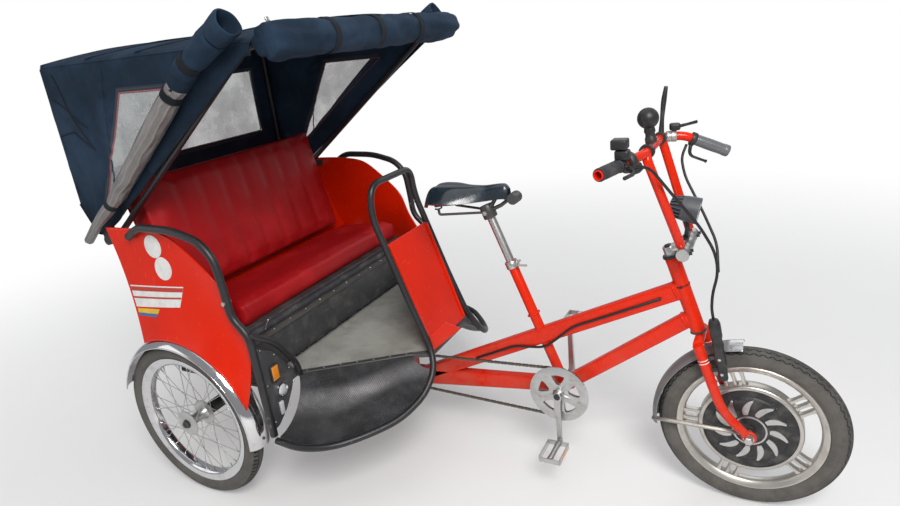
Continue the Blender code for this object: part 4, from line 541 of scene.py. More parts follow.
def put(name, parts, material, body="frame", crease=38, nodes=()):
    # one piece from its parts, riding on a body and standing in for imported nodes
    points, blocks, marks, start = [], [], [], 0
    for part in parts:
        points.append(part[0])
        blocks += [b + start for b in part[1]]
        marks += list(part[2])
        start += len(part[0])
    loops = np.concatenate([b.ravel() for b in blocks]).astype(np.int32)
    sizes = np.concatenate([np.full(len(b), b.shape[1]) for b in blocks]).astype(np.int32)
    mesh = bpy.data.meshes.new(name)
    mesh.vertices.add(start)
    mesh.vertices.foreach_set("co", (np.concatenate(points) + shift).astype(np.float32).ravel())
    mesh.loops.add(len(loops))
    mesh.loops.foreach_set("vertex_index", loops)
    mesh.polygons.add(len(sizes))
    mesh.polygons.foreach_set("loop_start", np.concatenate(((0,), np.cumsum(sizes)[:-1])).astype(np.int32))
    mesh.update(calc_edges=True)
    layer = mesh.uv_layers.new(name="surface")
    layer.data.foreach_set("uv", np.concatenate([m.reshape(-1, 2) for m in marks]).astype(np.float32).ravel())
    mesh.polygons.foreach_set("use_smooth", np.ones(len(sizes), bool))
    mesh.set_sharp_from_angle(angle=math.radians(crease))
    piece = bpy.data.objects.new(name, mesh)
    bpy.context.scene.collection.objects.link(piece)
    return stand(piece, material, body, nodes)


def mirror(part):
    # the same part on the other side of the middle plane
    points = part[0] * np.array((1, -1, 1))
    return points, [b[:, ::-1] for b in part[1]], [m[:, ::-1] for m in part[2]]


def both(*parts):
    # the parts and their mirror images
    return [*parts, *(mirror(part) for part in parts)]


def smoothCopy(node, material, crease=35, bevel=0.0):
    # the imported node's own mesh, welded and shaded, with soft edges
    mesh = frame["nodes"][node].data.copy()
    mesh.name = "soft_" + node
    work = bmesh.new()
    work.from_mesh(mesh)
    bmesh.ops.remove_doubles(work, verts=work.verts, dist=0.00002)
    bmesh.ops.dissolve_limit(work, angle_limit=math.radians(1), verts=work.verts, edges=work.edges)
    work.to_mesh(mesh)
    work.free()
    mesh.polygons.foreach_set("use_smooth", np.ones(len(mesh.polygons), bool))
    mesh.set_sharp_from_angle(angle=math.radians(crease))
    piece = bpy.data.objects.new("soft_" + node, mesh)
    bpy.context.scene.collection.objects.link(piece)
    if bevel:
        soft = piece.modifiers.new("soft", "BEVEL")
        soft.width, soft.segments, soft.limit_method = bevel, 2, "ANGLE"
        soft.angle_limit = math.radians(30)
    return stand(piece, material, frame["nodes"][node]["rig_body"], (node,))


# Wheels

def rodsPart(starts, ends, radius, sides=8, endRadius=None):
    # many straight rods in one go
    starts, ends = np.asarray(starts, float), np.asarray(ends, float)
    along = unit(ends - starts)
    side = unit(np.cross(along, np.array((0.31, 0.92, 0.24))))
    up = np.cross(along, side)
    angle = np.arange(sides) / sides * turn
    ring = side[:, None] * np.cos(angle)[None, :, None] + up[:, None] * np.sin(angle)[None, :, None]
    low = starts[:, None] + ring * radius
    high = ends[:, None] + ring * (radius if endRadius is None else endRadius)
    count = len(starts)
    points = np.stack((low, high), 1).reshape(-1, 3)
    base = (np.arange(count) * 2 * sides)[:, None]
    a = np.arange(sides)
    b = (a + 1) % sides
    quads = np.stack((base + a, base + b, base + b + sides, base + a + sides), -1).reshape(-1, 4)
    caps = np.concatenate((base + a[::-1], base + a + sides))
    return oriented(points, [quads, caps], [points[quads][..., :2], points[caps][..., :2]], True)


def tyrePart(centre, radius, width, bead, blocks, zigzag):
    # a carcass with its tread pressed in; surface coordinates are tread blocks round and
    # arc length from the crown over the tyre's width
    depth, stepsPerBlock, pressed = radius - bead, 6, 0.0022
    treadReach, treadEdge = (0.54, 0.51) if zigzag else (0.46, 0.43)
    side = np.array(((bead, 0.36), (bead + depth * 0.12, 0.43), (bead + depth * 0.34, 0.50),
                     (bead + depth * 0.66, 0.468), (bead + depth * 0.87, 0.335), (radius, 0.0)))
    whole = np.concatenate((side * (1, -1), side[-2::-1]))
    fine = flowing(np.stack((whole[:, 0], whole[:, 1] * width, whole[:, 0] * 0), 1), 12)[:, :2]
    arc = lengths(fine)
    middle, reach = arc[-1] / 2, treadReach * width
    even = np.concatenate((np.linspace(0, middle - reach, 8)[:-1],
                           np.linspace(middle - reach, middle + reach, 39),
                           np.linspace(middle + reach, arc[-1], 8)[1:]))
    line = np.stack([np.interp(even, arc, fine[:, n]) for n in (0, 1)], 1)
    inner = np.array(((bead + 0.001, 0.22), (bead + 0.0015, 0.0), (bead + 0.001, -0.22))) * (1, width)
    line = np.concatenate((line, inner))
    spread = np.concatenate(((even - middle) / width, (1.2, 1.3, 1.4)))
    place, step = np.abs(spread)[None], np.arange(blocks * stepsPerBlock)[:, None]
    part = np.abs((step / stepsPerBlock) % 1.0 - 0.5)
    if zigzag:
        bend = (part * 2 - 0.5) * 0.11
        groove = np.minimum(np.abs(place - 0.16 - bend), np.abs(place - 0.42 - bend)) < 0.028
    else:
        groove = ((part < 0.17) & (place > 0.20)) | (np.abs(place - 0.13) < 0.024)
    press = np.where(groove & (place < treadEdge), pressed, 0.0)
    theta = step / (blocks * stepsPerBlock) * turn
    r = line[:, 0][None] - press
    grid = np.stack((r * np.cos(theta), line[:, 1][None] + 0 * theta, r * np.sin(theta)), -1) + centre
    points, faces, _ = gridPart(grid, wrapRows=True)
    row, col = faces[0] // len(line), faces[0] % len(line)
    row = np.where((row == 0) & (row.max(axis=1, keepdims=True) > 1), len(step), row)
    return points, faces, [np.stack((row / stepsPerBlock, spread[col]), -1)]


rearWheel = {"radius": 0.287, "tyre": 0.058, "rim": 0.236, "depth": 0.030, "width": 0.046, "flange": 0.046,
             "hub": 0.078, "spokes": 18, "lead": 1.9, "blocks": 96}


def rearWheelPieces(side, name):
    # turned rim and hub; straight spokes that lean forwards and backwards in turn
    w, centre = rearWheel, rearAxle + across * side * wheelY
    body, node = "rear_wheel_" + name, ("rear_wheel_" + name,)
    put("tyre_rear_" + name, [tyrePart(centre, w["radius"], w["tyre"], w["rim"] + 0.0004, w["blocks"], False)],
        rearRubber, body, 40, ("rear_tyre_" + name,))
    r, d, h = w["rim"], w["depth"], w["width"] / 2
    rim = [(h * 0.80, r - 0.002), (h * 0.98, r + 0.0), (h * 1.0, r - 0.003), (h * 0.97, r - 0.008),
           (h * 0.92, r - 0.014), (h * 0.80, r - 0.020), (h * 0.66, r - 0.026), (h * 0.45, r - d + 0.001),
           (h * 0.2, r - d)]
    rim = rim + [(-a, b) for a, b in reversed(rim)] + [(-h * 0.6, r - 0.012), (h * 0.6, r - 0.012)]
    n = w["hub"] / 2
    hub = [(n, 0.009), (n, 0.019), (n - 0.002, 0.0225), (n - 0.001, 0.040), (n - 0.002, w["flange"]),
           (n - 0.0045, w["flange"]), (n - 0.006, 0.040), (n - 0.007, 0.026), (n - 0.016, 0.0185), (0.0, 0.0165)]
    hub = hub + [(-a, b) for a, b in reversed(hub[:-1])]
    index = np.arange(w["spokes"] * 2)
    face = np.where(index < w["spokes"], 1, -1)
    near = index % w["spokes"]
    angle = turn * (near + 0.25 * face) / w["spokes"]
    lean = turn / w["spokes"] * w["lead"] * np.where(near % 2, 1, -1)
    y = face * (n - 0.003 + np.where(near % 2, 0.0018, -0.0018))
    inner = np.stack((np.cos(angle) * 0.0395, y, np.sin(angle) * 0.0395), 1) + centre
    far, end = angle + lean, r - d + 0.002
    outer = np.stack((np.cos(far) * end, face * 0.004, np.sin(far) * end), 1) + centre
    run = unit(outer - inner)
    put("rim_rear_" + name, [lathePart(rim, centre, ring=True, steps=128)], chrome, body, 50, node)
    put("spokes_rear_" + name, [rodsPart(inner, outer, 0.00115, 8),
                                rodsPart(outer - run * 0.014, outer + run * 0.002, 0.0021, 6)],
        silver, body, 50, node)
    put("hub_rear_" + name, [lathePart(hub, centre, steps=48)], silver, body, 40, node)
    valve = centre + np.array((math.cos(0.5), 0, math.sin(0.5))) * (r - d)
    put("valve_rear_" + name, [tubePart(np.stack((valve, valve * 0.88 + centre * 0.12)), 0.0033, 12)],
        cableBlack, body)


rearWheelPieces(1, "left")
rearWheelPieces(-1, "right")
print("rear wheels made")

frontWheel = {"radius": 0.257, "tyre": 0.056, "rim": 0.204, "depth": 0.022, "width": 0.044, "ring": 0.141,
              "drum": 0.128, "groups": 5, "blocks": 66, "crescents": 11}


def frontWheelPieces():
    # turned rim and ring, groups of three waisted ribs, and the motor drum inside them
    w, c = frontWheel, frontAxle
    put("tyre_front", [tyrePart(c, w["radius"], w["tyre"], w["rim"] + 0.0004, w["blocks"], True)], frontRubber,
        "front_wheel", 40, ("front_tyre",))
    r, d, h = w["rim"], w["depth"], w["width"] / 2
    rim = [(h * 0.78, r - 0.004), (h * 0.90, r), (h, r - 0.002), (h * 0.97, r - 0.006), (h * 0.82, r - 0.010),
           (h * 0.72, r - 0.016), (h * 0.45, r - d + 0.001), (h * 0.2, r - d)]
    rim = rim + [(-a, b) for a, b in reversed(rim)] + [(-h * 0.5, r - 0.010), (h * 0.5, r - 0.010)]
    g = w["drum"] + 0.0006
    ring = [(0.020, g), (0.0215, g + 0.002), (0.020, w["ring"] - 0.003), (0.016, w["ring"]),
            (0.0, w["ring"] - 0.002), (-0.016, w["ring"]), (-0.020, w["ring"] - 0.003), (-0.0215, g + 0.002),
            (-0.020, g)]
    ribs = []
    quarter = np.array(((1, 0.55), (0.80, 0.95), (0.25, 1)))
    section = np.concatenate((quarter, quarter[::-1] * (-1, 1), -quarter, quarter[::-1] * (1, -1)))
    low, high = w["ring"] - 0.005, r - d + 0.004
    share = np.linspace(0, 1, 14)[:, None]
    for group in range(w["groups"]):
        middle = turn * (group + 0.5) / w["groups"]
        for lean, near, far in ((-1, 10.1, 7.6), (0, 0, 0), (1, 10.1, 7.6)):
            a, b = middle + lean * math.radians(near), middle + lean * math.radians(far)
            start = np.array((math.cos(a), 0, math.sin(a))) * low
            end = np.array((math.cos(b), 0, math.sin(b))) * high
            # splayed feet at both ends, waisted between
            wide = 0.0047 + 0.0058 * np.abs(share * 2 - 1) ** 4
            deep = 0.0110 - 0.0016 * np.sin(share * math.pi)
            line = start + (end - start) * share
            along = unit(end - start)
            grid = (line[:, None] + np.cross(along, across) * (section[None, :, :1] * wide[:, None])
                    + across * (section[None, :, 1:] * deep[:, None]))
            ribs.append(gridPart(grid + c))
    put("rim_front", [lathePart(rim, c, ring=True, steps=128), lathePart(ring, c, ring=True, steps=96)],
        castSilver, "front_wheel", 50, ("front_wheel",))
    put("ribs_front", ribs, castSilver, "front_wheel", 60, ("front_wheel",))
    drum = [(0.033, 0.0088), (0.0332, 0.016), (0.031, 0.0175), (0.0305, 0.029), (0.0275, 0.034),
            (0.0255, 0.040), (0.0247, 0.060), (0.0243, 0.092), (0.0235, 0.098), (0.0205, 0.1035),
            (0.0185, 0.106), (0.0182, 0.124), (0.0170, w["drum"])]
    drum = drum + [(-a, b) for a, b in reversed(drum)]
    put("motor_drum", [lathePart(drum, c, steps=96)], motorBlack, "front_wheel", 30, ("hub_motor",))
    # crescents: curved fins, thick in the middle, swept round the face of the drum
    t = np.linspace(0, 1, 19)[:, None]
    fins = []
    for face in (1, -1):
        for index in range(w["crescents"]):
            base = turn * index / w["crescents"]
            angle = base + face * (0.34 * t ** 1.6 - 0.10)
            radius = 0.0525 + 0.0535 * t
            wide = 0.0002 + 0.0125 * (np.sin(math.pi * np.clip(t * 0.86 + 0.14, 0, 1)) ** 0.75) * (1 - 0.45 * t)
            line = np.concatenate((np.cos(angle) * radius, 0 * t, np.sin(angle) * radius), 1)
            side = unit(np.cross(unit(np.gradient(line, axis=0)), across))
            lift = np.array((0, face, 0.0)) * np.where(t > 0.93, 0.72, 1.0)
            low, high = lift * 0.0215, lift * 0.0268
            ring = np.stack((line - side * wide + low, line - side * wide * 0.8 + high,
                             line + side * wide * 0.8 + high, line + side * wide + low), 1)
            fins.append(gridPart(ring + c))
        inner = [(face * 0.0245, 0.041), (face * 0.0268, 0.042), (face * 0.0268, 0.0465), (face * 0.0245, 0.0475)]
        fins.append(lathePart(inner, c, ring=True, steps=64))
    put("motor_crescents", fins, silver, "front_wheel", 50)
    bolts = np.arange(6) / 6 * turn
    spot = np.stack((np.cos(bolts) * 0.112, 0 * bolts, np.sin(bolts) * 0.112), 1) + c
    put("motor_screws", [rodsPart(spot + (0, f * 0.017, 0), spot + (0, f * 0.0205, 0), 0.0036, 10, 0.0030)
                         for f in (1, -1)], darkSteel, "front_wheel")
    valve = c + np.array((math.cos(2.2), 0, math.sin(2.2))) * (r - d)
    put("valve_front", [tubePart(np.stack((valve, valve * 0.88 + c * 0.12)), 0.0033, 12)], cableBlack,
        "front_wheel")


frontWheelPieces()
print("front wheel made")


# Frame and rear axle

def beamPart(start, end, height, width, round=0.007, endHeight=None, steps=12):
    # a rectangular tube with rounded edges in the plane of the frame
    start, end = np.asarray(start, float), np.asarray(end, float)
    square = unit(np.cross(unit(end - start), across))
    share = np.linspace(0, 1, steps)[:, None, None]
    tall = height + ((endHeight or height) - height) * share
    quarter = np.linspace(0, math.pi / 2, 6)
    angle = np.concatenate([quarter + n * math.pi / 2 for n in range(4)])
    signUp, signSide = np.repeat((1, -1, -1, 1), len(quarter)), np.repeat((1, 1, -1, -1), len(quarter))
    up = signUp[None, :, None] * (tall / 2 - round) + (round * np.cos(angle))[None, :, None]
    side = (signSide * (width / 2 - round) + round * np.sin(angle))[None, :, None]
    line = start + (end - start) * share
    return gridPart(line + square * up + across * side)


def weldPart(path, radius, pitch=0.0045):
    # a weld bead round a joint: a thin closed rope with overlapping ripples
    count = max(int(lengths(path)[-1] / 0.0011), 12)
    run = np.concatenate((path, path[:1]))
    length = lengths(run)
    at = np.linspace(0, length[-1], count, endpoint=False)
    line = np.stack([np.interp(at, length, run[:, n]) for n in range(3)], 1)
    swell = 1 + 0.22 * np.abs(np.sin(at / pitch * math.pi))
    return tubePart(line, radius * swell, 10, closed=True, ends=False)


def loopAround(centre, up, side, halfUp, halfSide, count=40, power=3.0):
    # a rounded rectangle loop with its two half sizes along up and side
    angle = np.arange(count) / count * turn
    c, s = np.cos(angle), np.sin(angle)
    a = np.sign(c) * np.abs(c) ** (2 / power) * halfUp
    b = np.sign(s) * np.abs(s) ** (2 / power) * halfSide
    return centre + np.asarray(up) * a[:, None] + np.asarray(side) * b[:, None]


beamFront, beamRear = np.array((1.500, 0, 0.678)), np.array((0.590, 0, 0.248))
downFront, seatTop = np.array((1.525, 0, 0.592)), np.array((0.969, 0, 0.723))
stayRear = np.array((0.560, 0, 0.240))
headPart = lathePart([(0.0, 0.0135), (0.0, 0.0205), (0.001, 0.0210), (0.012, 0.0215), (0.014, 0.021),
                      (headLength - 0.014, 0.021), (headLength - 0.012, 0.0215), (headLength - 0.001, 0.0210),
                      (headLength, 0.0205), (headLength, 0.0135)], steerFoot, steerUp, 48, ring=True)
shell = lathePart([(0.034, 0.0095), (0.034, 0.0200), (0.033, 0.021), (-0.033, 0.021), (-0.034, 0.0200),
                   (-0.034, 0.0095)], bracket, steps=48, ring=True)
tubeUp, tubeLength = unit(seatTop - bracket), np.linalg.norm(seatTop - bracket)
seatTube = lathePart([(0.0, 0.0165), (tubeLength - 0.001, 0.0165), (tubeLength, 0.0160), (tubeLength, 0.0142),
                      (tubeLength - 0.06, 0.0140)], bracket, tubeUp, 40)
put("frame_tubes", [headPart, shell, seatTube,
                    beamPart(beamFront + unit(beamRear - beamFront) * 0.004, beamRear, 0.052, 0.036),
                    beamPart(downFront + unit(bracket - downFront) * 0.006, bracket, 0.044, 0.034),
                    beamPart(bracket, stayRear, 0.046, 0.036, 0.007, 0.066)],
    orangePaint, "frame", 40, ("main_frame",))
run = unit(beamRear - beamFront)
square = unit(np.cross(run, across))
downRun = unit(bracket - downFront)
downSquare = unit(np.cross(downRun, across))
cross = bracket + tubeUp * 0.234
boxLoop, roundLoop, crossLoop = (0.0222, 0.0172), (0.0166, 0.0166, 36, 2.0), (0.019, 0.0168, 36, 2.2)
welds = [weldPart(loopAround(spot, up, across, *loop), bead) for spot, up, loop, bead in (
    (beamFront + run * 0.024, square, (0.026, 0.018), 0.0034),
    (downFront + downRun * 0.024, downSquare, boxLoop, 0.0034),
    (bracket - downRun * 0.022, downSquare, boxLoop, 0.003),
    (bracket + tubeUp * 0.022, unit(np.cross(tubeUp, across)), roundLoop, 0.003),
    (cross + tubeUp * 0.029, run, crossLoop, 0.003), (cross - tubeUp * 0.029, run, crossLoop, 0.003))]
put("frame_welds", welds, orangePaint, "frame", 60)

smoothCopy("rear_chassis", orangePaint, 35, 0.003)
axleProfile = [(-0.611, 0.0072), (-0.6105, 0.0085), (-0.500, 0.0085),
               (-0.497, 0.0215), (-0.495, 0.022), (-0.060, 0.022), (-0.032, 0.022), (-0.030, 0.024),
               (-0.0285, 0.052), (-0.026, 0.055), (0.046, 0.055), (0.050, 0.051), (0.052, 0.026), (0.056, 0.022),
               (0.495, 0.022), (0.497, 0.0215), (0.500, 0.0085), (0.6105, 0.0085), (0.611, 0.0072)]
put("axle_tube", [lathePart(axleProfile, rearAxle, steps=48)], blackTube, "frame", 35, ("rear_axle",))
hexagon = [(0.0125 * math.cos(n * turn / 6), 0.0125 * math.sin(n * turn / 6)) for n in range(6)]
nuts = [slabPart(hexagon, 0.0100, (1, 0, 0), (0, 0, 1), rearAxle + across * side * 0.6045, 0.001)
        for side in (1, -1)]
nuts += [lathePart([(side * 0.5985, 0.0090), (side * 0.5985, 0.0165), (side * 0.5995, 0.0165),
                    (side * 0.5998, 0.009)], rearAxle, steps=32, ring=True) for side in (1, -1)]
put("axle_nuts", nuts, darkSteel, "frame", 30)
print("frame made")


# Chain, chainring, cranks and pedals

chainLine = -0.058
drive = {"ringTeeth": 44, "ringRadius": 0.089, "sprocketTeeth": 18, "sprocketRadius": 0.041, "pitch": 0.0127,
         "arms": 5, "armLength": 0.170}


def chainPieces():
    # link plates, pins and rollers on the tangents of chainring and sprocket
    front, rear = bracket[[0, 2]], rearAxle[[0, 2]]
    big, small, pitch = drive["ringRadius"], drive["sprocketRadius"], drive["pitch"]
    gap = front - rear
    distance = np.linalg.norm(gap)
    tilt, lift = math.atan2(gap[1], gap[0]), math.acos((big - small) / distance)
    a = np.linspace(tilt - lift, tilt + lift, 60)
    b = np.linspace(tilt + lift, tilt - lift + turn, 40)
    loop = np.concatenate((front + big * np.stack((np.cos(a), np.sin(a)), 1),
                           rear + small * np.stack((np.cos(b), np.sin(b)), 1)))
    loop = np.concatenate((loop, loop[:1]))
    length = lengths(loop)
    count = int(round(length[-1] / pitch / 2) * 2)
    at = np.linspace(0, length[-1], count, endpoint=False)
    pins = np.stack([np.interp(at, length, loop[:, n]) for n in range(2)], 1)
    nxt = np.roll(pins, -1, 0)
    run = unit(nxt - pins)
    up = np.stack((-run[:, 1], run[:, 0]), 1)
    # one link plate: two round ends and a waist
    ends = np.linspace(math.pi / 2, math.pi * 1.5, 7)
    left = np.stack((np.cos(ends), np.sin(ends)), 1) * 0.0043
    waist = np.array(((pitch / 2, -0.0031),))
    outline = np.concatenate((left, waist, -left + (pitch, 0), waist * (1, -1)))
    points = []
    for inner, offsets in ((0, (-0.0029, 0.0029)), (1, (-0.0019, 0.0019))):
        pick = np.arange(inner, count, 2)
        flat = pins[pick, None] + run[pick, None] * outline[None, :, :1] + up[pick, None] * outline[None, :, 1:]
        for offset in offsets:
            points.append(np.stack([np.stack((flat[..., 0], np.full(flat.shape[:2], chainLine + offset + wall),
                                              flat[..., 1]), -1) for wall in (-0.0004, 0.0004)], 1))
    block = np.concatenate(points)
    n = len(outline)
    base = (np.arange(len(block)) * 2 * n)[:, None]
    j = np.arange(n)
    k = (j + 1) % n
    quads = np.stack((base + j, base + k, base + k + n, base + j + n), -1).reshape(-1, 4)
    caps = np.concatenate((base + j[::-1], base + j + n))
    flat = block.reshape(-1, 3)
    plates = oriented(flat, [quads, caps], [flat[quads][..., :2], flat[caps][..., :2]], True)
    low = np.stack((pins[:, 0], np.full(count, chainLine - 0.0034), pins[:, 1]), 1)
    high = low + (0, 0.0068, 0)
    rollLow, rollHigh = low + (0, 0.0019, 0), low + (0, 0.0049, 0)
    put("chain_links", [plates, rodsPart(low, high, 0.0018, 8), rodsPart(rollLow, rollHigh, 0.0036, 10)],
        chainSteel, "frame", 40, ("chain",))


def toothedOutline(teeth, root, tip):
    # teeth as a rounded wave between the root and the tip radius
    angle = np.arange(teeth * 8) / (teeth * 8) * turn
    wave = np.clip(0.5 + 0.75 * np.cos(angle * teeth), 0, 1)
    r = root + (tip - root) * wave
    return np.stack((np.cos(angle) * r, np.sin(angle) * r), 1)


def holedPart(outline, holes, thickness, turnMatrix, origin, bevel=0.0006):
    # a flat plate with holes: a filled flat curve with a wall, welded
    data = bpy.data.curves.new("flat", "CURVE")
    data.dimensions, data.fill_mode = "2D", "BOTH"
    data.extrude, data.bevel_depth, data.bevel_resolution = thickness / 2 - bevel, bevel, 1
    data.offset = -bevel
    for ring in (outline, *holes):
        ring = np.asarray(ring, float)
        spline = data.splines.new("POLY")
        spline.points.add(len(ring) - 1)
        spline.points.foreach_set("co", np.insert(ring, 2, ((0,), (1,)), axis=1).ravel())
        spline.use_cyclic_u = True
    flat = bpy.data.objects.new("flat", data)
    bpy.context.scene.collection.objects.link(flat)
    bpy.context.view_layer.update()
    mesh = bpy.data.meshes.new_from_object(flat.evaluated_get(bpy.context.evaluated_depsgraph_get()))
    work = bmesh.new()
    work.from_mesh(mesh)
    bmesh.ops.remove_doubles(work, verts=work.verts, dist=0.00001)
    bmesh.ops.triangulate(work, faces=work.faces)
    work.to_mesh(mesh)
    work.free()
    points = np.empty(len(mesh.vertices) * 3)
    mesh.vertices.foreach_get("co", points)
    corners = np.empty(len(mesh.polygons) * 3, np.int32)
    mesh.loops.foreach_get("vertex_index", corners)
    bpy.data.objects.remove(flat)
    points, faces = points.reshape(-1, 3), corners.reshape(-1, 3)
    marks = points[faces][..., :2]
    placed = points @ np.asarray(turnMatrix, float).T + np.asarray(origin, float)
    return oriented(placed, [faces], [marks], True)


chainPieces()
upright = np.array(((1, 0, 0), (0, 0, -1), (0, 1, 0)), float)    # stands an (x, z) outline along the length


def ringLine(radius, count=64, centre=(0, 0)):
    # a circle in even steps
    angle = np.arange(count) / count * turn
    return np.stack((np.cos(angle) * radius + centre[0], np.sin(angle) * radius + centre[1]), 1)


def petal(middle, inner, outer, spread, count=12):
    # a window that widens outwards, its corners eased
    a = np.linspace(-spread, spread, count)
    outerArc = np.stack((np.cos(middle + a) * outer, np.sin(middle + a) * outer), 1)
    b = a[::-1] * 0.38
    innerArc = np.stack((np.cos(middle + b) * inner, np.sin(middle + b) * inner), 1)
    line = np.concatenate((outerArc, innerArc))
    return line * 0.5 + (np.roll(line, 1, 0) + np.roll(line, -1, 0)) * 0.25


arms, boltCircle = drive["arms"], 0.070
windows = [petal(turn * n / arms + math.pi / 2, 0.0345, 0.0685, math.radians(22)) for n in range(arms)]
boltHoles = [ringLine(0.0030, 14, (math.cos(turn * (n + 0.5) / arms + math.pi / 2) * boltCircle,
                                   math.sin(turn * (n + 0.5) / arms + math.pi / 2) * boltCircle))
             for n in range(arms)]
chainring = holedPart(toothedOutline(drive["ringTeeth"], 0.0850, 0.0905), windows, 0.0028, upright,
                      bracket + across * chainLine, 0.0004)
guardDisc = holedPart(ringLine(0.098, 96), windows + boltHoles, 0.0022, upright, bracket - across * 0.0669, 0.0005)
guardLip = lathePart([(-0.0660, 0.0945), (-0.0664, 0.0975), (-0.0672, 0.0978), (-0.0678, 0.0970),
                      (-0.0674, 0.0945)], bracket, steps=96, ring=True)
angle = np.arange(arms) / arms * turn + math.pi / 2 + math.pi / arms
star = np.stack((np.cos(angle), 0 * angle, np.sin(angle)), 1)
spot = star * boltCircle + bracket
ringBolts = rodsPart(spot + (0, -0.055, 0), spot + (0, -0.0712, 0), 0.0046, 12, 0.0040)
put("chainring_and_guard", [chainring, guardDisc, guardLip, ringBolts], silver, "crank", 35, ("crankset",))


def crankArmPart(side, down):
    # a forged arm: round boss, waisted shank with a rib down the middle, round eye
    share = np.linspace(0, 1, 40)[:, None]
    length = drive["armLength"]
    z = -0.0155 + share * (length + 0.0155 + 0.0105)
    boss = np.sqrt(np.clip(1 - (z / 0.0158) ** 2, 0, 1)) * 0.0158
    eye = np.sqrt(np.clip(1 - ((z - length) / 0.0106) ** 2, 0, 1)) * 0.0106
    shank = np.where((z > 0.006) & (z < length - 0.004), 0.0102 - 0.0022 * z / length, 0)
    half = np.maximum(np.maximum(boss, eye), shank) + 0.0001
    half = half * 0.5 + (np.roll(half, 1, 0) + np.roll(half, -1, 0)) * 0.25
    half[0], half[-1] = 0.0016, 0.0016
    thick = 0.0078 - 0.0018 * np.clip(z / length, 0, 1)
    rib = np.array(((1, 0.35), (0.92, 0.80), (0.70, 1.0), (0.35, 0.93)))
    section = np.concatenate((rib, rib[::-1] * (-1, 1), ((-1, -0.5), (-0.85, -1), (0.85, -1), (1, -0.5))))
    x = section[None, :, 0] * half
    y = section[None, :, 1] * thick * side
    grid = np.stack((x, y + side * 0.080, (-z if down else z) + 0 * x), -1)
    return gridPart(grid + bracket)


spin = [crankArmPart(-1, True), crankArmPart(1, False),
        lathePart([(-0.078, 0.004), (-0.078, 0.0130), (-0.070, 0.0205), (-0.0605, 0.0215), (-0.056, 0.0210),
                   (-0.054, 0.010), (0.074, 0.0085), (0.080, 0.0085), (0.0815, 0.004)], bracket, steps=40),
        rodsPart(star * 0.012 + bracket + (0, -0.0640, 0), star * 0.071 + bracket + (0, -0.0620, 0), 0.0075, 12,
                 0.0048)]
put("crank_arms", spin, silver, "crank", 40, ("crankset",))
caps = [lathePart([(side * 0.0865, 0.0105), (side * 0.0885, 0.0108), (side * 0.0900, 0.0098),
                   (side * 0.0905, 0.0045)], bracket, steps=32) for side in (1, -1)]
put("crank_caps", caps, blackPlastic, "crank", 35)


def pedalPieces(name, side, up):
    # two serrated plates and two bars round a turned axle housing
    middle = bracket + (0, side * (0.080 + 0.007 + 0.006 + 0.050), up * drive["armLength"])
    x, y, z = 0.035, 0.050, 0.012
    cage = []
    for end in (1, -1):
        # serrated cage plates fore and aft
        teeth = np.arange(25) / 24
        top = z - 0.0018 + 0.0018 * (np.arange(25) % 2)
        line = np.concatenate((np.stack(((teeth - 0.5) * (2 * y - 0.004), top), 1),
                               np.stack(((0.5 - teeth) * (2 * y - 0.004), -top), 1)))
        cage.append(slabPart(line, 0.0026, (0, 1, 0), (0, 0, 1), middle + (end * (x - 0.0014), 0, 0), 0.0004))
        cage.append(blockPart((2 * x - 0.004, 0.0030, 0.017), middle + (0, end * (y - 0.0018), 0), None, 0.001))
    cage.append(lathePart([(-y + 0.004, 0.010), (-y + 0.006, 0.0108), (-0.02, 0.0088), (0.02, 0.0088),
                           (y - 0.006, 0.0108), (y - 0.004, 0.010)], middle, steps=24))
    cage.append(rodsPart([middle - (0, side * 0.040, 0)], [middle - (0, side * (y + 0.0057), 0)], 0.0053, 16))
    put("pedal_cage_" + name, cage, silver, "pedal_" + name, 35, ("pedal_" + name,))
    put("pedal_reflectors_" + name, [blockPart((0.0022, 0.040, 0.010), middle + (end * x, 0, 0), None, 0.0008)
                                     for end in (1, -1)], amberLens, "pedal_" + name)


pedalPieces("right", -1, -1)
pedalPieces("left", 1, 1)
rearRing = holedPart(toothedOutline(drive["sprocketTeeth"], 0.0370, 0.0425), [ringLine(0.0236, 40)], 0.0028, upright,
                     rearAxle + across * chainLine, 0.0004)
put("rear_sprocket", [rearRing], chainSteel, "sprocket", 35, ("drive_sprocket",))
print("drive made")


# Body: steps, floor, panels, tubes and rear mudguards

rimLine = np.array(((0.350, -0.5478, 0.268), (0.450, -0.556, 0.266), (0.545, -0.515, 0.266), (0.622, -0.430, 0.270),
                    (0.690, -0.335, 0.282), (0.730, -0.240, 0.322), (0.738, -0.175, 0.380)))
hoopLeg = np.array(((0.716, -0.142, 0.440), (0.655, -0.140, 0.600), (0.552, -0.140, 0.900), (0.556, -0.125, 1.000)))
floorZ, panelWall = 0.420, 0.006


def along(line, share):   # a point at an even share of a line's corners
    place = np.clip(share, 0, 1) * (len(line) - 1)
    low = np.minimum(place.astype(int), len(line) - 2)
    rest = (place - low)[..., None]
    return line[low] * (1 - rest) + line[low + 1] * rest


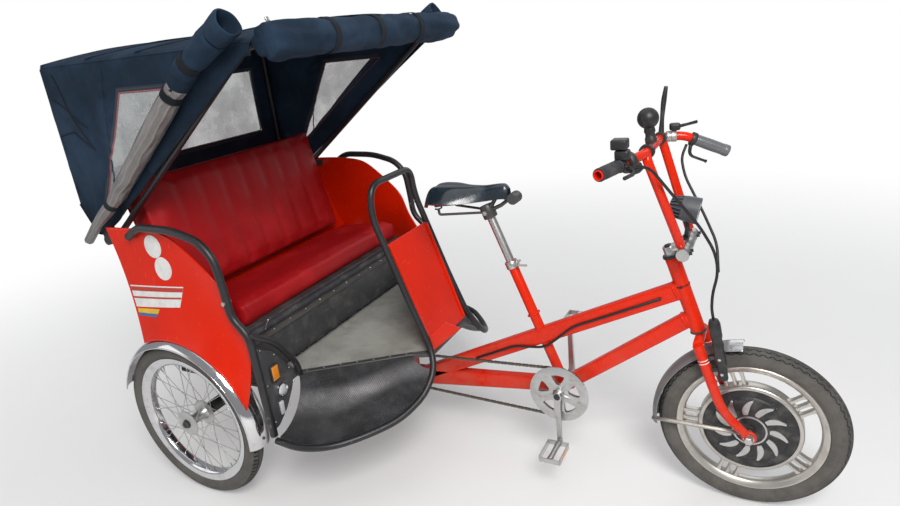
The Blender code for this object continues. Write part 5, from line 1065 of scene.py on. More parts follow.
def stepPart():
    # the cove: a quarter turn from the floor's edge down and out to the rim tube
    share = np.linspace(0, 1, 90)[None, :]
    down = np.linspace(0, 1, 40)[:, None]
    start, end = np.array((0.341, -0.385, floorZ)), np.array((0.655, -0.165, floorZ))
    edge = start + (end - start) * share[..., None]
    smooth = rounded(rimLine, 0.055, 8)
    length = lengths(smooth)
    corner = lengths(rimLine)
    at = along(np.stack((corner / corner[-1] * length[-1], 0 * corner, 0 * corner), 1), share[0])[:, 0]
    rim = np.stack([np.interp(at, length, smooth[:, n]) for n in range(3)], 1)[None]
    run = unit(end - start)
    out = np.array((run[1], -run[0], 0)) * (panelWall / 2 + 0.0006)
    reach = rim - edge
    flat = reach * (1, 1, 0)
    inset = 1 - (0.011 + panelWall) / np.linalg.norm(flat, axis=-1, keepdims=True)
    angle = (down * math.pi / 2)[..., None]
    spot = edge + out + (flat * inset - out) * (1 - np.cos(angle)) + upward * reach[..., 2:] * np.sin(angle)
    return shellPart(spot, panelWall)


def stepFinish():
    # ribbed rubber sheet: diagonal ribs in two directions, and in the cove a band with a painted highlight, painted
    # lighter and also a little smoother
    f = Finish("Ribbed step rubber", coat=0.25, coatRough=0.22)
    u, v, _ = f.uv()
    ribs = f.wave(u + v * 0.9, 0.0082)
    weft = f.wave(u * 0.9 - v, 0.0031)
    x, _, z = f.axes()
    middle = 0.330 + f.ease(x, -0.333, -0.063) * 0.060
    coveHighlightAndPolish = f.ease(abs(z - middle), 0.046, 0.004) * f.ease(f.noise(6.0, 3.0), 0.30, 0.60, 0.55, 1.0)
    worn = f.ease(f.noise(11.0, 5.0, 0.65), 0.42, 0.72)
    dust = f.ease(f.noise(30.0, 4.0, 0.7), 0.50, 0.80)
    body = f.mix(worn, (0.020, 0.020, 0.022), (0.060, 0.062, 0.068))
    body = f.mix(dust * 0.4, body, (0.15, 0.145, 0.135))
    # painted highlight: the band in the cove is painted a lighter grey; only its lower roughness is real polish
    body = f.mix(coveHighlightAndPolish * (0.35 + ribs * 0.45), body, (0.34, 0.33, 0.34))
    height = ribs * 1.3 + weft * 0.3 + f.noise(20.0, 3.0) * 1.2
    return f.set(colour=body, rough=0.32 + dust * 0.3 - coveHighlightAndPolish * 0.12, normal=f.bump(height, 0.0014)).material


def carpetFinish():
    # flattened pile: clumps, footworn paler lanes, soiling in patches, darker along the back edge by the kick panel
    f = Finish("Worn floor carpet", sheen=0.4)
    x = f.axes()[0]
    pile = f.cells(900.0) * 0.6 + f.noise(240.0, 4.0, 0.7)
    lane = f.ease(f.noise(5.0, 4.0, 0.6), 0.34, 0.66)
    soil = f.ease(f.noise(9.0, 5.0, 0.7), 0.50, 0.74)
    dark = f.ease(x, -0.505, -0.530)
    body = f.mix(lane, (0.21, 0.205, 0.165), (0.37, 0.37, 0.32))
    body = f.mix(soil * 0.6, body, (0.115, 0.105, 0.08))
    # darker along the back edge, where the carpet meets the kick panel under the seat
    backEdgeDark = f.node("ShaderNodeMath", {"operation": "MINIMUM"}, {0: dark + soil * dark, 1: 0.85})
    body = f.mix(backEdgeDark, body, (0.035, 0.032, 0.028))
    body = f.mix(f.ease(pile, 0.75, 0.35) * 0.5, body, (0.09, 0.085, 0.065))
    return f.set(colour=body, rough=0.92,
                 normal=f.bump(pile * 1.3 + f.noise(15.0, 4.0) * 2.0, 0.0022)).material


def panelFinish():
    # satin dark sheet, scuffed and dusty
    f = Finish("Dark grey sheet")
    scuff = f.ease(f.noise(46.0, 5.0, 0.7, stretch=(1.0, 0.25, 1.6)), 0.56, 0.70)
    dust = f.ease(f.noise(13.0, 5.0, 0.7), 0.44, 0.74)
    body = f.mix(dust * 0.8, (0.050, 0.052, 0.056), (0.125, 0.122, 0.116))
    body = f.mix(scuff * 0.35, body, (0.19, 0.19, 0.19))
    return f.set(colour=body, rough=0.36 + dust * 0.25 + scuff * 0.1,
                 normal=f.bump(f.cells(540.0) * 0.5 + scuff * 0.5, 0.0004)).material


stepRubber, floorCarpet, greyPanel = stepFinish(), carpetFinish(), panelFinish()
slotOf.update({stepRubber.name: "black_plastic", floorCarpet.name: "carpet", greyPanel.name: "grey_panel"})
step = stepPart()
put("step_right_sheet", [step], stepRubber, "frame", 50, ("step_right",))
put("step_left_sheet", [mirror(step)], stepRubber, "frame", 50, ("step_left",))

# the floor's aluminium edge strip with screws, along the top of each step
start, end = np.array((0.343, -0.382, floorZ + 0.0012)), np.array((0.655, -0.163, floorZ + 0.0012))
run = unit(end - start)
inwards = np.array((-run[1], run[0], 0))
line = start + (end - start) * np.linspace(0, 1, 22)[:, None, None]
section = np.array(((-0.001, -0.012), (-0.0035, -0.002), (-0.001, 0.0008), (0.010, 0.0022), (0.0155, 0.0018),
                    (0.0158, -0.0008)))
strip = gridPart(line + inwards * section[None, :, :1] + upward * section[None, :, 1:])
screws = start + (end - start) * np.linspace(0.06, 0.94, 7)[:, None] + inwards * 0.0085
put("floor_edge_strips", both(strip), darkSteel, "frame", 35)
put("floor_edge_screws", both(rodsPart(screws + (0, 0, 0.001), screws + (0, 0, 0.0034), 0.0036, 12, 0.0026)),
    silver, "frame", 35)

floorOutline = np.array(((-0.1155, -0.485), (0.3317, -0.485), (0.3317, -0.385), (0.341, -0.385),
                         (0.655, -0.165), (0.715, -0.140)))
floorOutline = np.concatenate((floorOutline, (floorOutline * (1, -1))[::-1]))
put("floor_board", [slabPart(floorOutline, 0.0118, (1, 0, 0), (0, 1, 0), (0, 0, 0.414), 0.001)], greyPanel,
    "frame", 35, ("floor",))

# carpet: a dense sheet with worn relief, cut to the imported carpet's outline
u, v = np.meshgrid(np.linspace(0, 1, 72), np.linspace(-1, 1, 100), indexing="ij")
x = 0.2504 + (0.694 - 0.2504) * u
half = np.interp(x, (0.2504, 0.341, 0.655, 0.694), (0.3655, 0.3655, 0.1450, 0.1210))
ripple = np.sin(x * 61 + v * 5) * np.sin(v * 17 - x * 23) * 0.0007 + np.sin(x * 190) * np.sin(v * 88) * 0.0003
grid = np.stack((x, v * half, 0.4224 + np.maximum(ripple, -0.0006) + 0 * x), -1)
put("carpet_sheet", [shellPart(grid, 0.0036)], floorCarpet, "frame", 60, ("carpet",))
seed, tufts = np.random.default_rng(4), 900
y = seed.uniform(-0.36, 0.36, tufts)
root = np.stack((np.full(tufts, 0.2515) + seed.uniform(0, 0.003, tufts), y, np.full(tufts, 0.4235)), 1)
tip = root + np.stack((seed.uniform(0.002, 0.016, tufts), seed.uniform(-0.006, 0.006, tufts),
                       seed.uniform(0.002, 0.012, tufts)), 1)
put("carpet_fray", [rodsPart(root, tip, 0.0006, 3, 0.0002)], darkCloth, "frame", 60)

# side panel: flares out over the wheel and dips ahead of the arm rest
sideTop = np.array(((-0.228, 0, 0.950), (-0.080, 0, 0.952), (0.060, 0, 0.940), (0.150, 0, 0.868), (0.235, 0, 0.790),
                    (0.258, 0, 0.700), (0.312, 0, 0.610)))


def sideSurface():
    # from the arch over the wheel up to the smoothed top line, leaning out towards the bottom
    share = np.linspace(0, 1, 36)[:, None]
    s = np.linspace(0, 1, 120)[None, :]
    arch, first, last = 0.287 + 0.0195, math.radians(114), math.radians(19)
    angle = first + (last - first) * s
    bottom = np.stack((arch * np.cos(angle), 0 * angle, 0.287 + arch * np.sin(angle)), -1)
    upper = along(sideTop, s[0])
    for _ in range(60):
        upper[1:-1] = upper[1:-1] * 0.5 + (upper[:-2] + upper[2:]) * 0.25
    spot = bottom * (1 - share[..., None]) + upper[None] * share[..., None]
    spot[..., 1] = -0.532 - 0.050 * (1 - share) ** 2
    return spot


sideGrid = sideSurface()
sideParts = [shellPart(sideGrid, 0.0058), tubePart(sideGrid[-1], 0.0042, 12),
             tubePart(sideGrid[0][4:-4] + (0, -0.0005, 0.0015), 0.0038, 12)]
put("side_right_shell", sideParts, bodyOrange, "frame", 50, ("side_panel_right",))
put("side_left_shell", [mirror(part) for part in sideParts], bodyOrange, "frame", 50, ("side_panel_left",))


def onPanel(points, out):
    # (x, z) laid on the side panel: y from the six nearest grid points, weighted by 1 / distance squared
    flat = sideGrid[..., (0, 2)].reshape(-1, 2)
    gap = ((points.reshape(-1, 1, 2) - flat) ** 2).sum(axis=2)
    near = np.argsort(gap, axis=1)[:, :6]
    weight = 1 / (np.take_along_axis(gap, near, 1) + 1e-7)
    y = (sideGrid[..., 1].reshape(-1)[near] * weight).sum(axis=1) / weight.sum(axis=1)
    spot = points.reshape(-1, 2)
    return np.stack((spot[:, 0], y - out, spot[:, 1]), 1).reshape(*points.shape[:-1], 3)


def roundSticker(x, z, radius):
    # a blank disc with a thin wall
    angle = np.arange(40) / 40 * turn
    reach = np.array((0.02, 0.35, 0.7, 0.97, 1.0, 0.97, 0.7, 0.35, 0.02)) * radius
    flat = np.stack((x + reach[:, None] * np.cos(angle), z + reach[:, None] * np.sin(angle)), -1)
    lift = np.repeat((0.0038, 0.0036, 0.0032), (4, 1, 4))[:, None]
    return gridPart(onPanel(flat, 0.0) - np.stack((0 * lift, lift, 0 * lift), -1))


def bandSticker(corners, low, high, out):
    # a strip between two shares of the height of a four-cornered sticker
    p = np.asarray(corners, float)
    s, t = np.linspace(0, 1, 30)[:, None, None], np.linspace(low, high, 9)[None, :, None]
    flat = (p[0] * (1 - s) + p[1] * s) * (1 - t) + (p[3] * (1 - s) + p[2] * s) * t
    return shellPart(onPanel(flat, out), 0.0005)


notice = ((-0.166, 0.761), (0.090, 0.775), (0.066, 0.707), (-0.147, 0.689))
lowerStrip = ((-0.142, 0.685), (-0.030, 0.692), (-0.045, 0.665), (-0.138, 0.660))
put("panel_stickers_white", [roundSticker(-0.015, 0.900, 0.038), roundSticker(0.013, 0.829, 0.038),
                             bandSticker(notice, 0, 1, 0.0036)], whiteLabel, "frame", 50)
put("panel_sticker_band", [bandSticker(notice, 0.06, 0.26, 0.0042), bandSticker(notice, 0.52, 0.60, 0.0042)],
    redLabel, "frame", 50)
put("panel_sticker_strip", [bandSticker(lowerStrip, 0, 0.6, 0.0037)], yellowLabel, "frame", 50)
put("panel_sticker_edge", [bandSticker(lowerStrip, 0.62, 1, 0.0037)], blueLabel, "frame", 50)

# front side panels with reflectors and marker lamps
frontOutline = np.array(((-0.534, 0.296), (-0.534, 0.590), (-0.475, 0.548), (-0.398, 0.440), (-0.425, 0.385),
                         (-0.462, 0.335), (-0.512, 0.296)))


def softOutline(outline, reach=0.012, steps=5):
    # every corner of a closed outline eased
    closed = np.concatenate((outline[-1:], outline, outline[:1]))
    out = []
    share = np.linspace(0, 1, steps + 1)[:, None]
    for before, corner, after in zip(closed, closed[1:], closed[2:]):
        r = min(reach, np.linalg.norm(corner - before) / 2.1, np.linalg.norm(after - corner) / 2.1)
        a, b = corner + unit(before - corner) * r, corner + unit(after - corner) * r
        p, q = a + (corner - a) * share, corner + (b - corner) * share
        out.append(p + (q - p) * share)
    return np.concatenate(out)


face = 0.338
panel = slabPart(softOutline(frontOutline), 0.0056, (0, 1, 0), (0, 0, 1), (0.335, 0, 0), 0.0016)
rivets = np.array(((-0.523, 0.575), (-0.523, 0.450), (-0.523, 0.318), (-0.470, 0.535), (-0.420, 0.462),
                   (-0.412, 0.405), (-0.452, 0.340)))
rivetSpot = np.stack((np.full(len(rivets), face - 0.001), rivets[:, 0], rivets[:, 1]), 1)
put("front_side_panels", both(panel), greyPanel, "frame", 35, ("front_side_panel_left", "front_side_panel_right"))
put("panel_rivets", both(rodsPart(rivetSpot, rivetSpot + (0.0024, 0, 0), 0.0036, 12, 0.0022)), silver, "frame", 35)
for name, size, spot, edge, material in (
        ("reflector_holders", (0.008, 0.036, 0.056), (0.0030, -0.487, 0.480), 0.0030, blackPlastic),
        ("amber_reflectors", (0.006, 0.028, 0.048), (0.0055, -0.487, 0.480), 0.0020, amberLens),
        ("white_reflectors", (0.007, 0.017, 0.045), (0.0030, -0.488, 0.352), 0.0016, clearLens)):
    put(name, both(blockPart(size, (face + spot[0], *spot[1:]), None, edge)), material, "frame")
markerSpot = (face, -0.474, 0.412)
bowl = lathePart([(0.000, 0.022), (0.006, 0.0222), (0.0105, 0.0205), (0.0085, 0.0180), (0.003, 0.010),
                  (0.0015, 0.004)], markerSpot, (1, 0, 0), 48)
lens = lathePart([(0.0070, 0.0176), (0.0100, 0.0150), (0.0117, 0.0095), (0.0122, 0.003)], markerSpot, (1, 0, 0), 40)
put("marker_bowls", both(bowl), chrome, "frame", 45)
put("marker_lenses", both(lens), clearLens, "frame", 60)

# arm tubes with their branches, and the hoop with the steps' rims
armLine = np.array(((-0.105, 0.930), (-0.045, 0.966), (0.106, 0.962), (0.215, 0.932), (0.262, 0.880), (0.272, 0.790),
                    (0.278, 0.690), (0.334, 0.640), (0.338, 0.500), (0.345, 0.285)))
armY = 0.532 + 0.003 + 0.0012 + 0.0125
armPath = np.stack((armLine[:, 0], np.full(len(armLine), -armY), armLine[:, 1]), 1)
branch = np.array(((0.334, -0.548, 0.640), (0.352, -0.470, 0.580), (0.352, -0.398, 0.470), (0.352, -0.392, 0.424)))
armParts = [tubePart(rounded(armPath, 0.045, 10), 0.0125, 24), tubePart(rounded(branch, 0.030, 8), 0.0100, 20)]
put("arm_tube_right_smooth", armParts, blackTube, "frame", 50, ("arm_tube_right",))
put("arm_tube_left_smooth", [mirror(part) for part in armParts], blackTube, "frame", 50, ("arm_tube_left",))
rightSide = np.concatenate((rimLine, hoopLeg))
hoopPath = np.concatenate((rightSide, (rightSide * (1, -1, 1))[::-1]))
put("hoop_and_rims", [tubePart(rounded(hoopPath, 0.055, 10), 0.011, 24)], blackTube, "frame", 50, ("front_hoop",))

# bulkhead with a folded edge
foot, head = np.array((0.708, 0, 0.432)), np.array((0.590, 0, 0.800))
slope = unit(head - foot)
wide, tall = 0.140 - 0.011 - 0.0003, np.linalg.norm(head - foot)
bulk = softOutline(np.array(((-wide, 0), (wide, 0), (wide, tall), (-wide, tall))), 0.010)
standing = np.cross(across, slope)
edge = [blockPart((0.012, tall - 0.01, 0.010),
                  foot + slope * tall / 2 + across * side * (wide - 0.006) + unit(standing) * 0.004,
                  np.stack((across, slope, standing), 1), 0.003) for side in (1, -1)]
put("bulkhead_panel", [slabPart(bulk, 0.0056, across, slope, foot, 0.001), *edge], bodyOrange, "frame", 35,
    ("front_bulkhead",))
gussetEdge = np.array(((0.7014, -0.130, 0.4161), (0.7108, -0.130, 0.4857), (0.7573, -0.100, 0.5257),
                       (0.7934, -0.060, 0.4887)))
a, b = np.linspace(0, 1, 12)[:, None, None], np.linspace(0, 1, 12)[None, :, None]
gusset = ((gussetEdge[0] * (1 - a) + gussetEdge[1] * a) * (1 - b)
          + (gussetEdge[3] * (1 - a) + gussetEdge[2] * a) * b)
put("bulkhead_gusset", [shellPart(gusset, 0.003)], bodyOrange, "frame", 40)

# bench box, its kick panel's riveted strip and the padded tube under the cushion's front
hookLine = np.array(((0.2555, -0.440, 0.585), (0.290, -0.440, 0.600), (0.300, -0.440, 0.625), (0.312, -0.440, 0.640)))
put("kick_hook", both(tubePart(rounded(hookLine, 0.012, 6), 0.0032, 12)), chrome, "frame", 50)
boltSpot = np.array(((0.2755, -0.5345, 0.744),))
put("arm_tube_bolts", both(rodsPart(boltSpot, boltSpot - (0, 0.0300, 0), 0.0042, 16),
                           rodsPart(boltSpot - (0, 0.0262, 0), boltSpot - (0, 0.0315, 0), 0.0074, 6)), silver,
    "frame", 30)
smoothCopy("seat_base", greyPanel, 35, 0.002)
smoothCopy("battery", blackPlastic, 35, 0.004)
heads = np.stack((np.full(12, 0.2540), np.linspace(-0.45, 0.45, 12), np.full(12, 0.566)), 1)
put("kick_strip", [blockPart((0.004, 0.955, 0.034), (0.2525, 0, 0.566), None, 0.0015)], stripGrey, "frame", 35)
put("kick_rivets", [rodsPart(heads, heads + (0.0022, 0, 0), 0.0042, 12, 0.0026)], silver, "frame", 35)
share = np.linspace(0, 1, 60)
pad = np.stack((np.full(60, 0.2625), np.linspace(-0.478, 0.478, 60), 0.5945 + 0.0008 * np.sin(share * 40)), 1)
put("kick_padded_tube", [tubePart(pad, 0.0115 + 0.0006 * np.sin(share * 31), 20)], gripRubber, "frame", 50)
smoothCopy("back_board", bodyOrange, 35, 0.0015)


# mudguards: a crowned shell and its grid
def guardPart(centre, radius, width, first, last, count=90):
    wall, crown = 0.0022, 0.020
    a = np.linspace(first, last, count)[:, None]
    s = np.linspace(-1, 1, 25)[None, :]
    r = radius - crown * (np.abs(s) ** 2.6) * width / 0.086
    grid = np.stack((centre[0] + r * np.cos(a), centre[1] + s * width / 2 + 0 * a, centre[2] + r * np.sin(a)), -1)
    return shellPart(grid, wall), grid


for name, side in (("left", 1), ("right", -1)):
    middle = rearAxle + across * side * wheelY
    guard, grid = guardPart(middle, 0.305, 0.086, math.radians(-8), math.radians(162))
    edges = [tubePart(grid[:, n], 0.0022, 10) for n in (0, -1)]
    put("mudguard_rear_" + name, [guard, *edges], chrome, "frame", 50, ("rear_mudguard_" + name,))
    spots = grid[(3, 42, 80), 12]
    put("mudguard_bolts_" + name, [rodsPart(spots, spots + unit(spots - middle) * 0.0040, 0.0052, 6, 0.0048)],
        darkSteel, "frame", 30)
print("body made")


# Hood: cloth sheets, bows, rolled curtains

hoodSize = {"half": 0.500, "rear": -0.380, "front": 0.520, "sideZ": 1.475, "camber": 0.045}
hoodHalf, hoodRear, hoodFront, hoodSideZ, hoodCamber = hoodSize.values()
opening = np.array(((-0.380, 1.020), (-0.330, 0.915), (-0.285, 0.915), (0.500, 1.435), (0.520, 1.435)))
sideWindow = np.array(((-0.030, 1.370), (0.250, 1.370), (-0.180, 1.075), (-0.225, 1.040)))
rearWindow = np.array(((-0.400, 1.110), (0.400, 1.110), (0.400, 1.370), (-0.400, 1.370)))


def roofZ(y):   # a parabola across the hood
    return hoodSideZ + hoodCamber * (1 - (y / hoodHalf) ** 2)


def lowEdge(x):   # height of the side opening's edge
    return np.interp(x, opening[:, 0], opening[:, 1])


def sag(x, y):
    # roof cloth sinks between the bows and puckers along the seams
    return (-0.004 * np.sin(math.pi * np.clip((x + 0.380) / 0.900, 0, 1)) * (1 - (y / hoodHalf) ** 2)
            + 0.0012 * np.sin(x * 31 + y * 9) * np.sin(y * 14 - x * 5))


def sideFold(x, z):
    # outward drapes: a fan from the bow's foot, puckers along seam and roof edge, a slack rear corner
    angle = np.arctan2(z - 0.86, x + 0.30)
    far = np.hypot(x + 0.30, z - 0.86)
    fan = 0.0030 * np.sin(angle * 24 + 3 * np.sin(far * 9)) * np.clip(far / 0.25, 0, 1)
    fan = fan * np.clip((hoodSideZ - z) / 0.10, 0, 1)
    seamAt = -0.069 - (1.468 - z) * 0.245
    pucker = 0.0016 * np.sin(z * 150 + 2 * np.sin(x * 40)) * np.exp(-((x - seamAt) / 0.020) ** 2)
    slack = 0.0048 * np.exp(-((x + 0.275) / 0.055) ** 2) * np.sin(np.clip((z - 0.98) / 0.48, 0, 1) * math.pi)
    crease = 0.0030 * np.sin((z * 0.8 + x * 0.6) * 44) * np.exp(-((x + 0.26) / 0.07) ** 2)
    crease = crease * np.clip((1.47 - z) / 0.08, 0, 1)
    return -(fan + pucker + slack + crease) - 0.0012


def sideSheet():
    # from the slanting lower edge up to the roof's edge
    x, t = np.meshgrid(np.linspace(-0.3795, 0.5195, 112), np.linspace(0, 1, 68), indexing="ij")
    low = lowEdge(x)
    z = low + (hoodSideZ - 0.012 - low) * t
    return np.stack((x, -0.4975 + sideFold(x, z), z), -1)


def roofSheet():
    # the parabola with its long edges drawn in, sunk between the bows
    x, s = np.meshgrid(np.linspace(-0.3795, 0.5195, 84), np.linspace(-1, 1, 84), indexing="ij")
    edge = np.clip((np.abs(s) - 0.955) / 0.045, 0, 1)
    y = hoodHalf * 0.9945 * np.sign(s) * (np.abs(s) - 0.004 * edge)
    z = roofZ(y) - 0.0026 + sag(x, y) - 0.012 * edge ** 2
    return np.stack((x, y, z), -1)


def backSheet():
    # upright from the hem to the roof, with shallow waves across and along
    y, t = np.meshgrid(np.linspace(-0.497, 0.497, 96), np.linspace(0, 1, 56), indexing="ij")
    top = roofZ(y) - 0.006
    z = 1.020 + (top - 1.020) * t
    x = hoodRear + 0.0026 + 0.0018 * np.sin(y * 22) * np.sin(z * 17 + y * 6) + 0.0012
    return np.stack((x, y, z), -1)


def insideShape(f, a, b, shape, soft=0.002):
    # 1 inside a convex outline: the smallest distance to its edges, eased
    nearest = None
    area = (shape[:, 0] * np.roll(shape[:, 1], -1) - shape[:, 1] * np.roll(shape[:, 0], -1)).sum()
    for p, q in zip(shape, np.roll(shape, -1, 0)):
        step = (q - p) / np.linalg.norm(q - p) * (1 if area > 0 else -1)
        away = (b - float(p[1])) * float(step[0]) - (a - float(p[0])) * float(step[1])
        nearest = away if nearest is None else nearest.calc("MINIMUM", nearest, away)
    return f.ease(nearest, -soft, soft), nearest


def hoodFinish(name, shape, plane, frameWide=0.016):
    # canvas with a clear vinyl window set in it, a stitched border round it, faded by the sun
    f = Finish(name, shine=0.20)
    u, v, _ = f.uv()
    x, y, z = f.axes()
    weave = 0.0011
    thread = f.wave(u, weave) * f.wave(u + v, weave * 2) + f.wave(v, weave) * (1.0 - f.wave(u + v, weave * 2))
    patch = f.ease(f.noise(3.4, 5.0, 0.62), 0.36, 0.66)
    dust = f.ease(f.noise(23.0, 5.0, 0.7), 0.54, 0.82)
    body = f.mix(patch, (0.008, 0.021, 0.042), (0.021, 0.047, 0.088))
    body = f.mix(thread * 0.30, body, (0.007, 0.010, 0.016))
    body = f.mix(dust * 0.06, body, (0.16, 0.17, 0.18))
    height = thread * 0.35 + f.noise(26.0, 4.0) * 1.3
    rough = 0.80 - patch * 0.1
    if shape is None:
        return f.set(colour=body, rough=rough, normal=f.bump(height, 0.0007)).material
    a = x + axleToMiddle if plane == "side" else y
    inside, away = insideShape(f, a, z, np.asarray(shape, float))
    border = f.ease(away, -frameWide, -frameWide + 0.0015) * (1.0 - inside)
    stitch = f.ease(abs(away + frameWide * 0.55), 0.0012, 0.0006) * f.ease(f.wave(u + v, 0.0046), 0.35, 0.5)
    body = f.mix(border * 0.6, body, (0.052, 0.060, 0.070))
    body = f.mix(stitch, body, (0.10, 0.11, 0.12))
    haze = f.ease(f.noise(7.0, 5.0, 0.62), 0.30, 0.70)
    streak = f.noise(30.0, 3.0, 0.5, stretch=(0.4, 1.0, 2.4))
    vinyl = f.mix(haze, (0.33, 0.36, 0.36), (0.52, 0.54, 0.54))
    body = f.mix(inside, body, vinyl)
    return f.set(colour=body, rough=rough * (1.0 - inside) + inside * (0.10 + haze * 0.12),
                 alpha=1.0 - inside * (0.66 - haze * 0.20),
                 normal=f.bump(height * (1.0 - inside) + border * 2.0
                               + inside * (streak * 1.5 + f.noise(5.0, 3.0) * 9.0), 0.0010)).material


windowed = hoodFinish("Hood side with window", sideWindow, "side")
rearWindowed = hoodFinish("Hood back with window", rearWindow, "back")
roofCanvas = hoodFinish("Hood roof canvas", None, "")
for m in (windowed, rearWindowed, roofCanvas):
    slotOf[m.name] = "hood_cloth"
clothWall = 0.0022
sideWall = shellPart(sideSheet(), clothWall)
right = put("hood_side_right", [sideWall], windowed, "frame", 60, ("hood_cover", "side_window_right"))
left = put("hood_side_left", [mirror(sideWall)], windowed, "frame", 60, ("hood_cover", "side_window_left"))
roof = put("hood_roof", [shellPart(roofSheet(), clothWall)], roofCanvas, "frame", 60, ("hood_cover",))
back = put("hood_back", [shellPart(backSheet(), clothWall)], rearWindowed, "frame", 60, ("hood_cover",))


# piping round the windows, seams at the corners, hems along the lower edges
def onSide(points, out=-0.4986):
    # (x, z) points laid on the folded side sheet
    points = np.asarray(points, float)
    return np.stack((points[:, 0], out + sideFold(points[:, 0], points[:, 1]), points[:, 1]), 1)


def evenly(points, count=80):
    # a flat path cut into even short steps, so that it can follow the folds
    points = np.asarray(points, float)
    run = np.concatenate(((0,), np.cumsum(np.linalg.norm(np.diff(points, axis=0), axis=1))))
    share = np.linspace(0, run[-1], count)
    return np.stack([np.interp(share, run, points[:, n]) for n in (0, 1)], 1)


windowPipe = tubePart(onSide(evenly(np.concatenate((sideWindow, sideWindow[:1])), 160)), 0.0024, 10)
hem = tubePart(onSide(evenly(opening, 120)), 0.0040, 12, 0.7)
seam = tubePart(onSide(evenly(((-0.071, 1.460), (-0.115, 1.325), (-0.184, 0.990)))), 0.0024, 8)
laces = [tubePart(onSide(evenly(line, 40), -0.5000), 0.0016, 8) for line in
         (((-0.331, 1.442), (-0.283, 1.332), (-0.216, 1.203)), ((-0.361, 1.367), (-0.290, 1.330), (-0.218, 1.273)),
          ((-0.372, 1.250), (-0.300, 1.262), (-0.222, 1.212)))]


def straightRun(first, last, count):
    # even steps between two points
    return np.stack([np.linspace(a, b, count) for a, b in zip(first, last)], 1)


cornerSeam = tubePart(straightRun((hoodRear + 0.0012, -0.4985, 1.022), (hoodRear + 0.0012, -0.4985, 1.462), 24),
                      0.0034, 10)
roofSeam = tubePart(straightRun((hoodRear + 0.003, -0.4972, hoodSideZ - 0.009), (0.517, -0.4972, hoodSideZ - 0.009),
                                60),
                    0.0036, 10)
put("hood_window_piping", both(windowPipe), pinkPiping, "frame", 60)
put("hood_hems", both(hem), darkCloth, "frame", 60)
put("hood_laces", both(*laces), darkCloth, "frame", 60)
put("hood_seams", both(seam, cornerSeam, roofSeam), roofCanvas, "frame", 60)
backRing = np.stack((np.full(5, hoodRear - 0.0004), *np.concatenate((rearWindow, rearWindow[:1])).T), 1)
backHem = straightRun((hoodRear + 0.002, -0.497, 1.0215), (hoodRear + 0.002, 0.497, 1.0215), 40)
ridge = np.linspace(-0.495, 0.495, 60)
backTop = np.stack((np.full(60, hoodRear + 0.0022), ridge, roofZ(ridge) - 0.0045), 1)
put("hood_back_piping", [tubePart(rounded(backRing, 0.014, 6), 0.0024, 10), tubePart(backHem, 0.0042, 10, 0.7),
                         tubePart(backTop, 0.0036, 10)], roofCanvas, "frame", 60)
for where in (-0.150, 0.080, 0.300):
    line = np.stack((np.full(60, where), ridge, roofZ(ridge) + 0.0002 + sag(where, ridge)), 1)
    put("hood_roof_seam_%d" % round((where + 0.5) * 100), [tubePart(line, 0.0026, 8)], roofCanvas, "frame", 60)

# bows
inset = hoodHalf - 0.005 - 0.0003 - 0.010
topZ = hoodSideZ - 0.005 - 0.0003 - 0.010
rearX, frontX = hoodRear + 0.0153, hoodFront - 0.020
rearBow = np.array(((-0.250, -inset, 0.904), (rearX, -inset, 1.030), (rearX, -inset, topZ), (rearX, inset, topZ),
                    (rearX, inset, 1.030), (-0.250, inset, 0.904)))
frontBow = np.array(((-0.250, -inset, 0.904), (frontX, -inset, topZ), (frontX, inset, topZ), (-0.250, inset, 0.904)))
cheek = np.array(((-0.262, 0.892), (-0.226, 0.892), (-0.226, 0.918), (-0.166, 0.918), (-0.166, 0.944),
                  (-0.262, 0.944)))
cheekPart = slabPart(softOutline(cheek, 0.006), 0.0056, (1, 0, 0), (0, 0, 1), (0, -0.5257, 0), 0.001)
footPart = lathePart([(0.0, 0.006), (0.0, 0.0155), (0.001, 0.016), (0.042, 0.016), (0.0435, 0.0155), (0.0435, 0.006)],
                     (-0.250, -0.4852, 0.904), (0, -1, 0), 32)
put("hood_bows", [tubePart(rounded(rearBow, 0.05, 10), 0.010, 20), tubePart(rounded(frontBow, 0.05, 10), 0.010, 20),
                  *both(cheekPart, footPart)], blackTube, "frame", 45, ("hood_frame",))

# rolled side curtains: vinyl and canvas wound together, strapped to the bow
curtain = np.array(((-0.322, 0.030, 0.906, 0.45), (-0.236, 0.030, 0.974, 0.50), (-0.130, 0.006, 1.058, 0.75),
                    (0.100, 0, 1.243, 0.95), (0.280, 0, 1.387, 1.00), (0.323, 0, 1.420, 1.08),
                    (0.508, 0, 1.516, 1.15)))
curtainRadii = curtain[:, 3] * 0.034
curtainLine = np.stack((curtain[:, 0], -(hoodHalf + 0.0003 + curtain[:, 1] + curtainRadii), curtain[:, 2]), 1)
curtainRun = flowing(curtainLine, 14)
curtainShare = np.linspace(0, 1, len(curtainRun))
curtainRadius = np.interp(curtainShare, np.linspace(0, 1, len(curtainLine)), curtainRadii)
curtainTies = (0.30, 0.62, 0.86)
for place in curtainTies:
    curtainRadius = curtainRadius * (1 - 0.13 * np.exp(-((curtainShare - place) / 0.022) ** 2))


def curtainPart(low, high, sides=40, spirals=2.6):
    # part of the roll between two shares of its run; the edge of the wound sheet shows as a step
    pick = slice(int(low * len(curtainRun)), max(int(high * len(curtainRun)), 2))
    path, radius = curtainRun[pick], curtainRadius[pick]

    def swell(s, a):
        wound = ((a + s * spirals) / turn) % 1.0
        crease = 0.030 * np.sin(s * 47 + a * 2) * np.sin(a * 3 + s * 19) + 0.020 * np.sin(a * 7 + 5 * np.sin(s * 11))
        return 1.0 - 0.085 * wound + crease * 0.8
    return tubePart(path, radius, sides, swell=swell)


